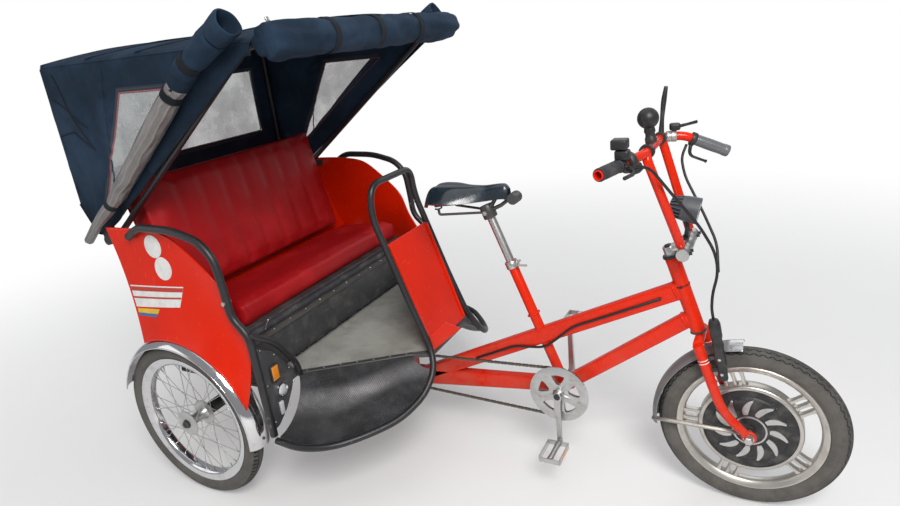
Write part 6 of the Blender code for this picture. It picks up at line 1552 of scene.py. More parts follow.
def vinylRollFinish():
    # layers of clear sheet seen through one another, in streaks along the roll
    f = Finish("Rolled clear sheet", coat=0.4, coatRough=0.15)
    v = f.uv()[1]
    layer = f.noise(18.0, 4.0, 0.6, stretch=(1.0, 1.0, 0.4))
    streak = f.wave(v + f.noise(9.0) * 0.03, 0.016)
    body = f.mix(layer, (0.075, 0.070, 0.068), (0.235, 0.215, 0.205))
    body = f.mix(f.ease(streak, 0.7, 1.0) * 0.5, body, (0.30, 0.275, 0.27))
    return f.set(colour=body, rough=0.24 + layer * 0.16,
                 normal=f.bump(streak * 0.6 + layer * 2.0 + f.noise(60.0, 3.0) * 0.3, 0.0022)).material


rolledVinyl = vinylRollFinish()
slotOf[rolledVinyl.name] = "clear_sheet"
lower, upper = curtainPart(0.0, 0.66), curtainPart(0.64, 0.955)
# the upper end stands open: a soft cup with a wall of wound cloth
cupAxis, cupR = unit(curtainRun[-1] - curtainRun[-5]), curtainRadius[-1]
a = np.arange(48) / 48 * turn
rows = np.array(((-0.058, 0.93), (-0.030, 0.99), (-0.008, 1.01), (-0.001, 0.95), (0.0, 0.86), (-0.006, 0.78),
                 (-0.030, 0.70), (-0.050, 0.55), (-0.052, 0.10)))
cupSide = unit(np.cross(cupAxis, across))
spoke = cupSide * np.cos(a)[:, None] + np.cross(cupAxis, cupSide) * np.sin(a)[:, None]
soft = 1 + 0.035 * np.sin(a * 3 + 1) + 0.03 * np.sin(a * 5)
cup = gridPart(curtainRun[-1] + cupAxis * rows[:, None, :1] + spoke * (rows[:, None, 1:] * cupR * soft[:, None]))
rollRight = put("curtain_right_vinyl", [lower], rolledVinyl, "frame", 50, ("side_curtain_right",))
rollRight2 = put("curtain_right_canvas", [upper, cup], roofCanvas, "frame", 50, ("side_curtain_right",))
rollLeft = put("curtain_left_vinyl", [mirror(lower)], rolledVinyl, "frame", 50, ("side_curtain_left",))
rollLeft2 = put("curtain_left_canvas", [mirror(upper), mirror(cup)], roofCanvas, "frame", 50, ("side_curtain_left",))
rollRadius, rollX = 0.058, hoodFront + 0.0523
frontZ = hoodSideZ - rollRadius * 0.2
frontLine = straightRun((rollX, -0.498, frontZ), (rollX, 0.498, frontZ), 120)
frontTies = (-0.25, -0.02, 0.22)


def frontSwell(s, a):
    # share of the radius: one wound edge, waists at the straps, loose lumps and creases
    wound = ((a + 0.8 * np.sin(s * 3.0)) / turn) % 1.0
    strap = sum(np.exp(-((s - 0.498 - place) / 0.022) ** 2) for place in frontTies)
    loose = (0.055 * np.sin(s * 9 + a) * np.sin(a * 2 - s * 5)
             + 0.042 * np.sin(a * 7 + 3 * np.sin(s * 7)) * np.cos(s * 3.1)
             + 0.026 * np.sin(s * 31 + a * 3 + 2 * np.sin(s * 11)) + 0.016 * np.sin(s * 53 - a * 5))
    near = 0.10 * np.clip(1 - s / 0.05, 0, 1) ** 2 + 0.10 * np.clip((s - 0.95) / 0.05, 0, 1) ** 2
    return 0.87 - 0.10 * wound - 0.050 * strap + loose * (1 - 0.6 * strap) - near


rollFront = put("front_roll_canvas", [tubePart(frontLine, rollRadius, 48, swell=frontSwell)], roofCanvas, "frame", 50,
                ("front_curtain_roll",))


def strapAround(centre, run, radius, wide=0.024, thick=0.0018, count=48):
    # a webbing band round a roll
    t = unit(np.asarray(run, float))
    side = unit(np.cross(t, upward if abs(t[2]) < 0.9 else across))
    angle = np.arange(count) / count * turn
    circle = side * np.cos(angle)[:, None] + np.cross(side, t) * np.sin(angle)[:, None]
    rows = [centre + circle * (radius + d) + t * w for d, w in
            ((0, -wide / 2), (thick, -wide / 2 + thick / 2), (thick, wide / 2 - thick / 2), (0, wide / 2))]
    return gridPart(np.stack(rows), wrapRows=True)


straps = [strapAround(np.array((rollX, y, frontZ)), across, 0.0482) for y in frontTies]
zipAt, hanging = np.array((0.580, -0.470, frontZ + 0.028)), turnedBy((0.35, 0.25, -1.0), (1, 0, 0.3))
put("hood_zip_pull", [blockPart((0.004, 0.009, 0.034), zipAt, hanging, 0.0018),
                      blockPart((0.006, 0.013, 0.014), zipAt + (-0.006, -0.004, 0.022), hanging, 0.003)],
    silver, "frame", 40)
put("front_roll_straps", straps, darkCloth, "frame", 50)
ties = []
for share, wide in zip(curtainTies, (0.020, 0.026, 0.026)):
    n = int(share * (len(curtainRun) - 1))
    ties.append(strapAround(curtainRun[n], curtainRun[n + 1] - curtainRun[n - 1], curtainRadius[n] * 0.985, wide))
put("curtain_straps", both(*ties), darkCloth, "frame", 50)
print("hood made")


# Saddle and seat post

saddleSize = {"middle": 0.848, "length": 0.262, "width": 0.182, "top": 0.968, "depth": 0.052}
saddleMid, saddleLong, saddleWide, saddleTop, saddleDeep = saddleSize.values()
# share of the length, share of the width, share of the height
saddleShares = np.array(((0.0, 0.72, 0.86), (0.10, 0.96, 0.98), (0.28, 1.00, 0.98), (0.48, 0.66, 0.92),
                         (0.70, 0.32, 0.94), (0.92, 0.25, 1.10), (1.0, 0.16, 1.08)))


def saddlePart():
    # a padded shell: two lobes behind, a channel down the middle, sides turned under
    s = np.linspace(0, 1, 90)
    smooth = np.stack([np.interp(s, saddleShares[:, 0], saddleShares[:, n]) for n in (1, 2)], 1)
    for _ in range(26):
        smooth[1:-1] = smooth[1:-1] * 0.5 + (smooth[:-2] + smooth[2:]) * 0.25
    a = np.linspace(-1, 1, 61)[None, :]
    x = (saddleMid + saddleLong * (s - 0.5))[:, None] + 0 * a
    half = saddleWide / 2 * smooth[:, :1]
    lobe = 0.06 * np.exp(-((np.abs(a) - 0.48) / 0.26) ** 2) * np.clip(1 - s / 0.42, 0, 1)[:, None]
    channel = -0.05 * np.exp(-(a / 0.16) ** 2) * np.clip(1 - s / 0.75, 0, 1)[:, None]
    z = saddleTop - saddleDeep * (1 - smooth[:, 1:] + 0.75 * np.abs(a) ** 3 - lobe - channel)
    end = np.clip(s / 0.05, 0, 1)[:, None] * np.clip((1 - s) / 0.04, 0, 1)[:, None]
    z = z - 0.010 * (1 - end) ** 2
    return shellPart(np.stack((x, half * a, z), -1), 0.0115)


def saddleFinish():
    # pebbled vinyl, rubbed paler in patches
    f = Finish("Saddle vinyl", coat=0.55, coatRough=0.12)
    pebble = f.cells(700.0, feature="SMOOTH_F1")
    worn = f.ease(f.noise(14.0, 4.0, 0.6), 0.42, 0.74)
    body = f.mix(worn, (0.013, 0.020, 0.028), (0.042, 0.060, 0.080))
    return f.set(colour=body, rough=0.20 + worn * 0.22 + pebble * 0.08,
                 normal=f.bump(pebble * 0.2 + worn * 0.5, 0.0006)).material


saddleVinyl = saddleFinish()
slotOf[saddleVinyl.name] = "black_plastic"
saddle = put("saddle_cover", [saddlePart()], saddleVinyl, "frame", 55, ("saddle",))
head = seatTop + tubeUp * 0.176
post = lathePart([(0, 0.0135), (0.262, 0.0136), (0.2655, 0.0130)], seatTop - tubeUp * 0.0897, tubeUp, 40)
put("seat_post_fluted", [post], silver, "frame", 35, ("seat_post",))


def coilPart(foot, top, radius, wire, turns):
    # a coil spring between two points
    foot, top = np.asarray(foot, float), np.asarray(top, float)
    t = np.linspace(0, 1, int(turns * 22))[:, None]
    axis = unit(top - foot)
    side = unit(np.cross(axis, (0.2, 1, 0.1)))
    up = np.cross(axis, side)
    angle = t * turns * turn
    return tubePart(foot + (top - foot) * t + (side * np.cos(angle) + up * np.sin(angle)) * radius, wire, 10)


under = saddleTop - saddleDeep * 0.36
rearSpring = saddleMid - saddleLong * 0.34
noseX = saddleMid + saddleLong * 0.40
noseCoil = np.array((0.9995, 0, 0.934))
fitting = [lathePart([(-0.022, 0.0138), (-0.022, 0.0215), (-0.019, 0.0231), (0.019, 0.0231), (0.022, 0.0215),
                      (0.022, 0.004)],
                     head, tubeUp, 32)]
for side in (1, -1):
    y = side * saddleWide * 0.24
    rail = np.array(((rearSpring, y * 1.3, under - 0.045), (rearSpring, y * 1.3, head[2]),
                     (head[0], side * 0.0136, head[2]),
                     (noseX, side * 0.0136 * 0.6, 0.957)))
    fitting.append(tubePart(rounded(rail, 0.02, 8), 0.0042, 12))
    fitting.append(coilPart((rearSpring, y * 1.3, under - 0.043), (rearSpring, y * 1.3, under - 0.004), 0.0105,
                            0.0024, 4.5))
fitting.append(coilPart(noseCoil - across * 0.019, noseCoil + across * 0.019, 0.0152, 0.0030, 6.0))
fitting.append(rodsPart([noseCoil - across * 0.0205], [noseCoil + across * 0.0205], 0.0055, 20))
fitting += [lathePart([(s * 0.0185, 0.004), (s * 0.0185, 0.0150), (s * 0.0205, 0.0176), (s * 0.0215, 0.0170),
                       (s * 0.0215, 0.004)],
                      noseCoil, steps=32) for s in (1, -1)]
arm = np.stack((head, head * 0.5 + noseCoil * 0.5 - (0, 0, 0.002), noseCoil - (0.012, 0, 0)))
fitting.append(tubePart(arm, (0.0085, 0.0078, 0.0070), 20, 0.8))
put("saddle_springs_and_clamp", fitting, darkSteel, "frame", 45, ("saddle_frame",))
put("saddle_clamp_bolt", [rodsPart([head + (0, -0.028, 0)], [head + (0, 0.028, 0)], 0.0042, 16),
                          rodsPart([head + (0, -0.0300, 0)], [head + (0, -0.0225, 0)], 0.0078, 6),
                          rodsPart([head + (0, 0.0225, 0)], [head + (0, 0.0300, 0)], 0.0078, 6)], silver, "frame", 30)
collar = lathePart([(-0.0237, 0.0170), (-0.0237, 0.0205), (-0.0225, 0.0210), (-0.0015, 0.0210), (-0.0004, 0.0204),
                    (-0.0004, 0.0170)],
                   seatTop, tubeUp, 48, ring=True)
collarAhead = np.cross(tubeUp, across)
middle = seatTop - tubeUp * 0.012 - collarAhead * 0.021
lever = np.array((middle - across * 0.020, middle - across * 0.020 + (0.012, -0.003, 0),
                  middle - across * 0.019 + (0.040, -0.001, 0)))
put("seat_collar", [collar, rodsPart([middle + across * 0.020], [middle - across * 0.020], 0.0042, 16),
                    tubePart(rounded(lever, 0.008, 6), np.linspace(0.0044, 0.0034, 9), 14),
                    blockPart((0.012, 0.013, 0.020), middle + collarAhead * 0.003,
                              np.stack((unit(np.cross(across, tubeUp)), across, tubeUp), 1), 0.003)],
    silver, "frame", 40, ("seat_clamp",))
print("saddle made")


# Steering: fork, stem, bar, lamp, front mudguard, brake and cables

forkSize = {"half": 0.060, "crown": 0.028, "lug": 0.0115}


def forkPieces():
    # two bent legs that taper to flattened ends, with crown, stripes and axle nuts
    halfFork, crownDrop = forkSize["half"], forkSize["crown"]
    legs = []
    for side in (1, -1):
        y = side * halfFork
        end = frontAxle + (0, y, 0)
        path = rounded((onSteering(-crownDrop / 2, 0, y), onSteering(-0.230, 0, y), end), 0.060, 12)
        share = lengths(path) / lengths(path)[-1]
        legs.append(tubePart(path, 0.0154 - 0.0028 * share, 24))
        legs.append(lathePart([(-0.0055, 0.0088), (-0.0055, 0.0190), (-0.0040, 0.0204), (0.0040, 0.0204),
                               (0.0055, 0.0190), (0.0055, 0.0088)], end, steps=40, ring=True))
        flat = unit(path[-8] - path[-1])
        legs.append(tubePart(np.stack((end + flat * 0.006, end + flat * 0.026, end + flat * 0.052)),
                             (0.0178, 0.0160, 0.0118), 24, 0.42))
    crown = lathePart([(-0.060, 0.0125), (-0.058, 0.0140), (0.058, 0.0140), (0.060, 0.0125)],
                      onSteering(-0.0003 - crownDrop / 2), steps=32)
    steerer = rodsPart([onSteering(-crownDrop / 2)], [onSteering(headLength + 0.030)], 0.0125, 24)
    put("fork_legs_and_crown", [*legs, crown, steerer], orangePaint, "steering", 45, ("fork",))
    stripe = [(-0.0016, 0.0140), (-0.0014, 0.0150), (0.0014, 0.0150), (0.0016, 0.0140)]
    rings = [lathePart(stripe, onSteering(-drop, 0, side * halfFork), steerUp, 32, ring=True)
             for side in (1, -1) for drop in (0.060, 0.069)]
    put("fork_stripes", rings, whiteLabel, "steering", 50)
    face = halfFork + forkSize["lug"]
    nuts = [slabPart(hexagon, 0.0112, (1, 0, 0), (0, 0, 1), frontAxle + (0, side * (face + 0.0064), 0), 0.0012)
            for side in (1, -1)]
    nuts += [lathePart([(side * (face - 0.0040), 0.0088), (side * (face - 0.0040), 0.0148),
                        (side * (face - 0.0018), 0.0148), (side * (face - 0.0018), 0.0088)],
                       frontAxle, steps=32, ring=True) for side in (1, -1)]
    nuts.append(lathePart([(-face - 0.0123, 0.0070), (-face - 0.0112, 0.0084), (face + 0.0112, 0.0084),
                           (face + 0.0123, 0.0070)], frontAxle, steps=24))
    put("front_axle_nuts", nuts, silver, "steering", 30, ("front_axle",))


forkPieces()
lowerCup = [(0.0, 0.0215), (-0.0005, 0.0232), (-0.004, 0.0238), (-0.0058, 0.0222), (-0.0058, 0.0130), (0.0, 0.0130)]
put("headset_lower", [lathePart(lowerCup, steerFoot + steerUp * 0.0059, steerUp, 40, ring=True)],
    darkSteel, "frame", 35)

clampCentre, headTop, neck = np.array((1.507, 0, 0.812)), onSteering(headLength), onSteering(headLength + 0.0238)
stemParts = [lathePart([(0.0003, 0.0128), (0.0003, 0.0230), (0.004, 0.0236), (0.008, 0.0210), (0.0095, 0.0176),
                        (0.032, 0.0176), (0.034, 0.0166), (0.034, 0.006)], headTop, steerUp, 40),
             tubePart(np.stack((neck, (neck + clampCentre) / 2, clampCentre)), (0.0140, 0.0150, 0.0150), 28),
             lathePart([(-0.098, 0.0120), (-0.0978, 0.0165), (-0.0965, 0.0175), (-0.060, 0.0175), (-0.058, 0.0160),
                        (-0.026, 0.0160), (-0.024, 0.0175),
                        (0.024, 0.0175), (0.026, 0.0160), (0.058, 0.0160), (0.060, 0.0175), (0.0965, 0.0175),
                        (0.0978, 0.0165), (0.098, 0.0120)],
                       clampCentre, steps=40)]
put("stem_and_cross_clamp", stemParts, silver, "steering", 40, ("stem",))
boltAt = np.array([clampCentre + (0.0170, y, 0.004) for y in (-0.088, -0.064, 0.064, 0.088)])
put("headset_upper", [lathePart([(0.0004, 0.0236), (0.0006, 0.0250), (0.0070, 0.0250), (0.0092, 0.0238),
                                 (0.0092, 0.0178), (0.0004, 0.0178)],
                                headTop, steerUp, 40, ring=True)], blackPlastic, "steering", 35)
put("stem_bolts", [rodsPart(boltAt, boltAt + (0.0062, 0, 0.001), 0.0046, 12),
                   lathePart([(0.0340, 0.0110), (0.0375, 0.0110), (0.0385, 0.0095), (0.0385, 0.003)], headTop,
                             steerUp, 24)],
    blackPlastic, "steering", 35)

barSize = {"x": 1.415, "z": 1.090, "half": 0.117, "tube": 0.0125}
barX, barZ, barHalf, barTube = barSize.values()
leftTop, rightTop = np.array((barX, barHalf, barZ)), np.array((barX, -barHalf, barZ))
rightEnd = np.array((1.352, -0.335, 1.086))
leftKnee, leftEnd = np.array((1.476, 0.130, 1.090)), np.array((1.588, 0.168, 1.036))
leftSeat = clampCentre + across * 0.075
rise = unit(leftTop - leftSeat)
leftFoot = leftSeat + rise * (0.0175 + 0.0003 + barTube * rise[1])
rightFoot = leftFoot * (1, -1, 1)
bars = [tubePart(rounded((leftFoot, leftTop, rightTop, rightFoot), 0.035, 10), barTube, 24),
        tubePart(rounded((rightTop + (0, 0.035, 0), rightTop, rightEnd + unit(rightTop - rightEnd) * 0.020), 0.035,
                         10), 0.0125, 24),
        tubePart(rounded((leftTop - (0, 0.035, 0), leftTop, leftKnee, leftEnd), 0.018, 8), barTube, 24),
        lathePart([(0.0005, 0.0098), (0.0, 0.0104), (0.0, 0.0120), (0.0006, 0.0125), (0.0235, 0.0125),
                   (0.0235, 0.0098)],
                  rightEnd, unit(rightTop - rightEnd), 32, ring=True)]
put("handlebar_tubes", bars, orangePaint, "steering", 50, ("handlebar",))


def gripPieces(name, end, before):
    # the grip, and the lever whose clamp sits next to it
    run = unit(before - end)
    first = end + run * 0.004
    s = np.linspace(0, 1, 60)
    length = 0.092
    ridges = 0.0006 * (np.sin(s * length / 0.0042 * turn) > 0) * (s > 0.12) * (s < 0.90)
    r = 0.0152 + 0.0012 * np.sin(s * math.pi) + ridges
    profile = np.concatenate((np.array(((0.0, 0.0129), (0.0, 0.0160), (0.002, 0.0165), (0.006, 0.0165))),
                              np.stack((0.006 + s * (length - 0.012), np.minimum(r, 0.0165)), 1),
                              np.array(((length - 0.005, 0.0165), (length - 0.001, 0.0162), (length, 0.0150),
                                        (length, 0.0129)))))
    sleeve = [lathePart(profile, first, run, 36, ring=True)]
    if name == "left":
        sleeve = [lathePart([(-0.0052, 0.002), (-0.0052, 0.0140), (-0.0040, 0.0160), (0.0, 0.0168), (0.010, 0.0168),
                             (0.0112, 0.0158),
                             (0.050, 0.0165), (0.086, 0.0158), (0.0915, 0.0150), (0.0915, 0.0131), (0.0, 0.0131),
                             (0.0, 0.002)], first, run, 36)]
    put("grip_sleeve_" + name, sleeve, smoothGrip if name == "left" else gripRubber, "steering", 40,
        ("grip_" + name,))
    start = first + run * (length + 0.0003)
    ahead = np.array((0, 0, -1.0)) if name == "left" else np.array((1.0, 0, -0.3))
    ahead = unit(ahead - run * (ahead @ run))
    clamp = lathePart([(0.0, 0.0129), (0.0, 0.0172), (0.0012, 0.0181), (0.0128, 0.0181), (0.0140, 0.0172),
                       (0.0140, 0.0129)], start, run, 36, ring=True)
    root = start + run * 0.007 + ahead * 0.0165
    knee = root + ahead * 0.030 - run * 0.030 * 0.3
    tip = knee - run * 0.050
    line = rounded((root, knee, tip), 0.030, 10)
    lever = tubePart(line, np.linspace(0.0072, 0.0050, len(line)), 18, 0.72)
    ball = tubePart(np.stack((tip + run * 0.002, tip - run * 0.003)), (0.0050, 0.0046), 16)
    parts = [clamp, lever, ball, blockPart((0.014, 0.016, 0.014), root - ahead * 0.002, turnedBy(run, ahead), 0.004)]
    if name == "right":
        # a switch box stands on this clamp
        seat = start + run * 0.007
        parts += [rodsPart([seat + (0, 0, 0.0165)], [seat + (0, 0, 0.044)], 0.0085, 20),
                  blockPart((0.036, 0.030, 0.026), seat + (0.006, 0, 0.026), None, 0.007),
                  blockPart((0.0392, 0.0392, 0.0252), seat + (0, 0, 0.052), None, 0.005)]
    put("brake_lever_parts_" + name, parts, blackPlastic, "steering", 45, ("brake_lever_" + name,))


gripPieces("right", rightEnd, rightTop)
gripPieces("left", leftEnd, leftKnee)
rightRun, leftRun = unit(rightEnd - rightTop), unit(leftKnee - leftTop)
rightReach = rightEnd - rightTop
housing = [(-0.013, 0.0129), (-0.013, 0.0215), (-0.011, 0.0250), (-0.006, 0.0272), (0.006, 0.0272), (0.011, 0.0250),
           (0.013, 0.0215), (0.013, 0.0129)]
clamp = [(-0.009, 0.0129), (-0.009, 0.0186), (-0.0075, 0.0200), (0.0075, 0.0200), (0.009, 0.0186), (0.009, 0.0129)]
put("bar_housings", [lathePart(housing, rightTop + rightReach * 0.40, rightRun, 48, ring=True),
                     lathePart(clamp, (barX, -0.088, barZ), steps=40, ring=True),
                     blockPart((0.030, 0.020, 0.022), rightTop + rightReach * 0.36 + (0.020, 0.004, -0.018),
                               turnedBy((0.4, 0.1, -0.9), rightRun), 0.006),
                     blockPart((0.030, 0.026, 0.020), (1.450, 0.130, 1.1160), turnedBy((0, 0, 1), leftRun), 0.006),
                     tubePart(np.array(((1.462, 0.136, 1.116), (1.480, 0.160, 1.117), (1.500, 0.198, 1.117))),
                              (0.0050, 0.0042, 0.0048), 14, 0.8)],
    blackPlastic, "steering", 40)
sleeves = [(0.014, 0.0129), (0.014, 0.0150), (0.0155, 0.0158), (0.0225, 0.0158), (0.024, 0.0146), (0.027, 0.0146),
           (0.0285, 0.0160), (0.040, 0.0160), (0.0415, 0.0148), (0.0415, 0.0129)]
put("bar_cable_sleeves", [lathePart(sleeves, leftTop, leftRun, 40, ring=True)], silver, "steering", 40)
upright = np.array(((1.418, 0.098, 1.098), (1.420, 0.100, 1.140), (1.424, 0.102, 1.190), (1.430, 0.104, 1.232)))
put("bar_upright_lever", [tubePart(flowing(upright, 6),
                                   np.interp(np.linspace(0, 1, 19), (0, 0.35, 0.7, 1),
                                             (0.0110, 0.0075, 0.0100, 0.0070)), 18, 0.75),
                          lathePart([(-0.011, 0.0129), (-0.011, 0.0172), (-0.010, 0.0180), (0.010, 0.0180),
                                     (0.011, 0.0172), (0.011, 0.0129)],
                                    (barX, 0.094, barZ), (0, 1, 0), 36, ring=True)], blackPlastic, "steering", 45)
bulbRadius = 0.028
hornBase = np.array((barX, -0.030, barZ + 0.0128))
hornTop = np.array((barX - 0.008, -0.030, barZ + 0.0128 + 0.036 + bulbRadius))
bulb = np.linspace(-math.pi / 2 + 0.5, math.pi / 2 - 0.02, 26)
hornRun = hornTop - hornBase
hornTall = np.linalg.norm(hornRun)
bulbProfile = [(0.0, 0.0150), (0.012, 0.0155), (0.016, 0.0130), (0.024, 0.0125), (0.030, 0.0150)]
bulbProfile += [(hornTall + bulbRadius * math.sin(a), bulbRadius * math.cos(a) + 0.0001) for a in bulb]
put("horn_ball", [lathePart(bulbProfile, hornBase, unit(hornRun), 48)], blackPlastic, "steering", 40, ("horn_bulb",))

lampCentre, tilt = np.array((1.497, 0, 0.915)), math.radians(12)
lampRun = np.array((math.cos(tilt), 0, -math.sin(tilt)))
lampBack = lampCentre - lampRun * 0.039
# a bowl in front, and behind it a tapered core with fins that run along it
bowl = [(0.0300, 0.0040), (0.0300, 0.0300), (0.0330, 0.0335), (0.0420, 0.0350), (0.0640, 0.0362), (0.0765, 0.0366),
        (0.0780, 0.0358), (0.0776, 0.0340), (0.0730, 0.0325), (0.0640, 0.0240), (0.0600, 0.0100), (0.0598, 0.0040)]
core = [(0.0, 0.0040), (0.0, 0.0150), (0.0020, 0.0170), (0.0300, 0.0262), (0.0310, 0.0040)]
lampSide = np.cross(lampRun, across)
fin = np.array(((0.002, 0.014), (0.032, 0.024), (0.032, 0.0338), (0.014, 0.0300), (0.002, 0.0232)))
ribs = [slabPart(fin, 0.0030, lampRun, lampSide * math.cos(a) + across * math.sin(a), lampBack, 0.0006)
        for a in (turn * index / 18 for index in range(18))]
put("headlamp_body", [lathePart(bowl, lampBack, lampRun, 56), lathePart(core, lampBack, lampRun, 40), *ribs],
    greyPlastic,
    "steering", 28, ("headlamp",))
lensProfile = [(0.0745, 0.0338), (0.0765, 0.0320), (0.0775, 0.0220), (0.0779, 0.0100), (0.0780, 0.002)]
put("headlamp_lens", [lathePart(lensProfile, lampBack, lampRun, 48)], clearLens, "steering", 60)
lampFoot = clampCentre + (-0.0052, 0, 0.0175)
put("headlamp_bracket", [tubePart(np.stack((lampFoot, lampFoot + (0.004, 0, 0.03), lampCentre - (0, 0, 0.022))),
                                  0.0062, 20),
                         blockPart((0.020, 0.034, 0.004), lampFoot + (0, 0, 0.002), None, 0.001)], blackPlastic,
    "steering", 45, ("headlamp",))

# front mudguard: dark, with a bright front end, and a flat strip stay each side
guard, guardGrid = guardPart(frontAxle, 0.257 + 0.018, 0.062, math.radians(96), math.radians(186), 70)


def guardFinish():
    # dusty grey that turns to bright metal at the front tip
    f = Finish("Mudguard, bright at its front", metal=0.0)
    x = f.axes()[0]
    tip = f.ease(x, 0.836, 0.846)
    dust = f.ease(f.noise(15.0, 4.0, 0.65), 0.44, 0.74)
    body = f.mix(dust * 0.7, (0.24, 0.245, 0.255), (0.30, 0.29, 0.28))
    body = f.mix(tip, body, (0.66, 0.66, 0.67))
    return f.set(colour=body, metal=0.55 + tip * 0.45, rough=0.36 + dust * 0.25 - tip * 0.14,
                 normal=f.bump(f.noise(240.0, 3.0) * 0.4, 0.0004)).material


brightGuard = guardFinish()
slotOf[brightGuard.name] = "grey_plastic"
put("front_mudguard_shell", [guard, tubePart(guardGrid[:, 0], 0.0018, 8), tubePart(guardGrid[:, -1], 0.0018, 8)],
    brightGuard,
    "steering", 50, ("front_mudguard",))
stays = []
for side in (1, -1):
    y = side * (forkSize["half"] - forkSize["lug"] - 0.004 - 0.0003)
    eye = frontAxle + (0, y, 0)
    angle = math.radians(183)
    tip = frontAxle + (math.cos(angle) * 0.275, side * 0.062 * 0.38, math.sin(angle) * 0.275)
    stays.append(tubePart(rounded((eye, (eye[0] - 0.240, y, eye[2]), tip), 0.030, 8), 0.0064, 12, 0.30))
    stays.append(lathePart([(-0.0030, 0.0088), (-0.0030, 0.0120), (0.0030, 0.0120), (0.0030, 0.0088)], eye, steps=32,
                           ring=True))
put("front_mudguard_stays", stays, dullStrip, "steering", 45, ("front_mudguard",))
low, high = onSteering(-0.130, 0.036, -0.060), onSteering(0.055, 0.064, -0.060)
brakeRun, brakeTall = unit(high - low), np.linalg.norm(high - low)
body = [(0.0, 0.0040), (0.0, 0.0110), (0.004, 0.0128), (0.050, 0.0128), (0.056, 0.0150), (0.110, 0.0158),
        (0.116, 0.0140), (0.128, 0.0138), (0.134, 0.0160), (brakeTall - 0.014, 0.0160), (brakeTall - 0.002, 0.0120),
        (brakeTall, 0.0060)]
put("front_brake_arm", [lathePart(body, low, brakeRun, 40),
                        rodsPart([onSteering(-0.095, 0.040, -0.060)], [onSteering(-0.095, 0.0148, -0.060)], 0.0078,
                                 20),
                        rodsPart([onSteering(-0.060, 0.044, -0.060)], [onSteering(-0.060, 0.0150, -0.060)], 0.0060,
                                 20),
                        blockPart((0.020, 0.026, 0.062), (low + high) / 2 + steerAhead * 0.004 - brakeRun * 0.040,
                                  turnedBy(brakeRun, steerAhead), 0.004)],
    blackPlastic, "steering", 45, ("front_brake",))
put("front_brake_bolts", [rodsPart([low + brakeRun * at - across * 0.0115], [low + brakeRun * at - across * 0.0185],
                                   0.0046, 6)
                          for at in (0.024, 0.070)], silver, "steering", 30)

# cables of both levers, down ahead of the risers and on to the brake
steerPlace = np.array((1.689, 0, 0.546))
rightCable = np.array(((0.2888, -0.2300, 0.5360), (0.253, -0.168, 0.522), (0.211, -0.104, 0.439),
                       (0.144, -0.056, 0.334),
                       (0.107, -0.046, 0.264), (0.097, -0.042, 0.204), (0.109, -0.052, 0.144)))
leftCable = np.array(((0.2072, 0.1330, 0.5185), (0.219, 0.118, 0.484), (0.207, 0.104, 0.434), (0.149, 0.058, 0.339),
                      (0.107, 0.008, 0.269), (0.097, -0.042, 0.204)))
backward = np.array((-1, 1, 1))
rightRoute = [*(rightCable * backward + steerPlace), high + brakeRun * 0.0303, high + brakeRun * 0.0003]
leftRoute = list(leftCable * backward + steerPlace)
cableRuns = [tubePart(rounded(route, 0.030, 10), radius, 14)
             for route, radius in ((rightRoute, 0.0040), (leftRoute, 0.0038))]
put("brake_cable_pair", cableRuns, cableBlack, "steering", 60, ("brake_cables",))
beamLine = np.array(((1.440, 0.648), (1.260, 0.564), (1.170, 0.523), (1.128, 0.482), (1.075, 0.437), (1.023, 0.431),
                     (0.970, 0.428), (0.820, 0.357)))
beamRoute = np.stack((beamLine[:, 0], np.full(len(beamLine), -0.0223), beamLine[:, 1]), 1)
tie = strapAround(onSteering(0.150), steerUp, 0.0213, 0.0035, 0.0012)
put("head_tube_tie", [tie, blockPart((0.007, 0.005, 0.006), onSteering(0.150, 0, -0.0235),
                                     turnedBy(steerUp, steerAhead), 0.001)], cableBlack, "frame", 45)
put("frame_cable_sheath", [tubePart(rounded(beamRoute, 0.030, 10), 0.0040, 14)], cableBlack, "frame", 60,
    ("frame_cable",))
print("steering made")


# Cushions

cushionCloth = {"mesh": 0.0094, "steps": 20, "mass": 0.3, "pressure": 3.0, "stretch": 18, "shear": 8, "bend": 0.8}


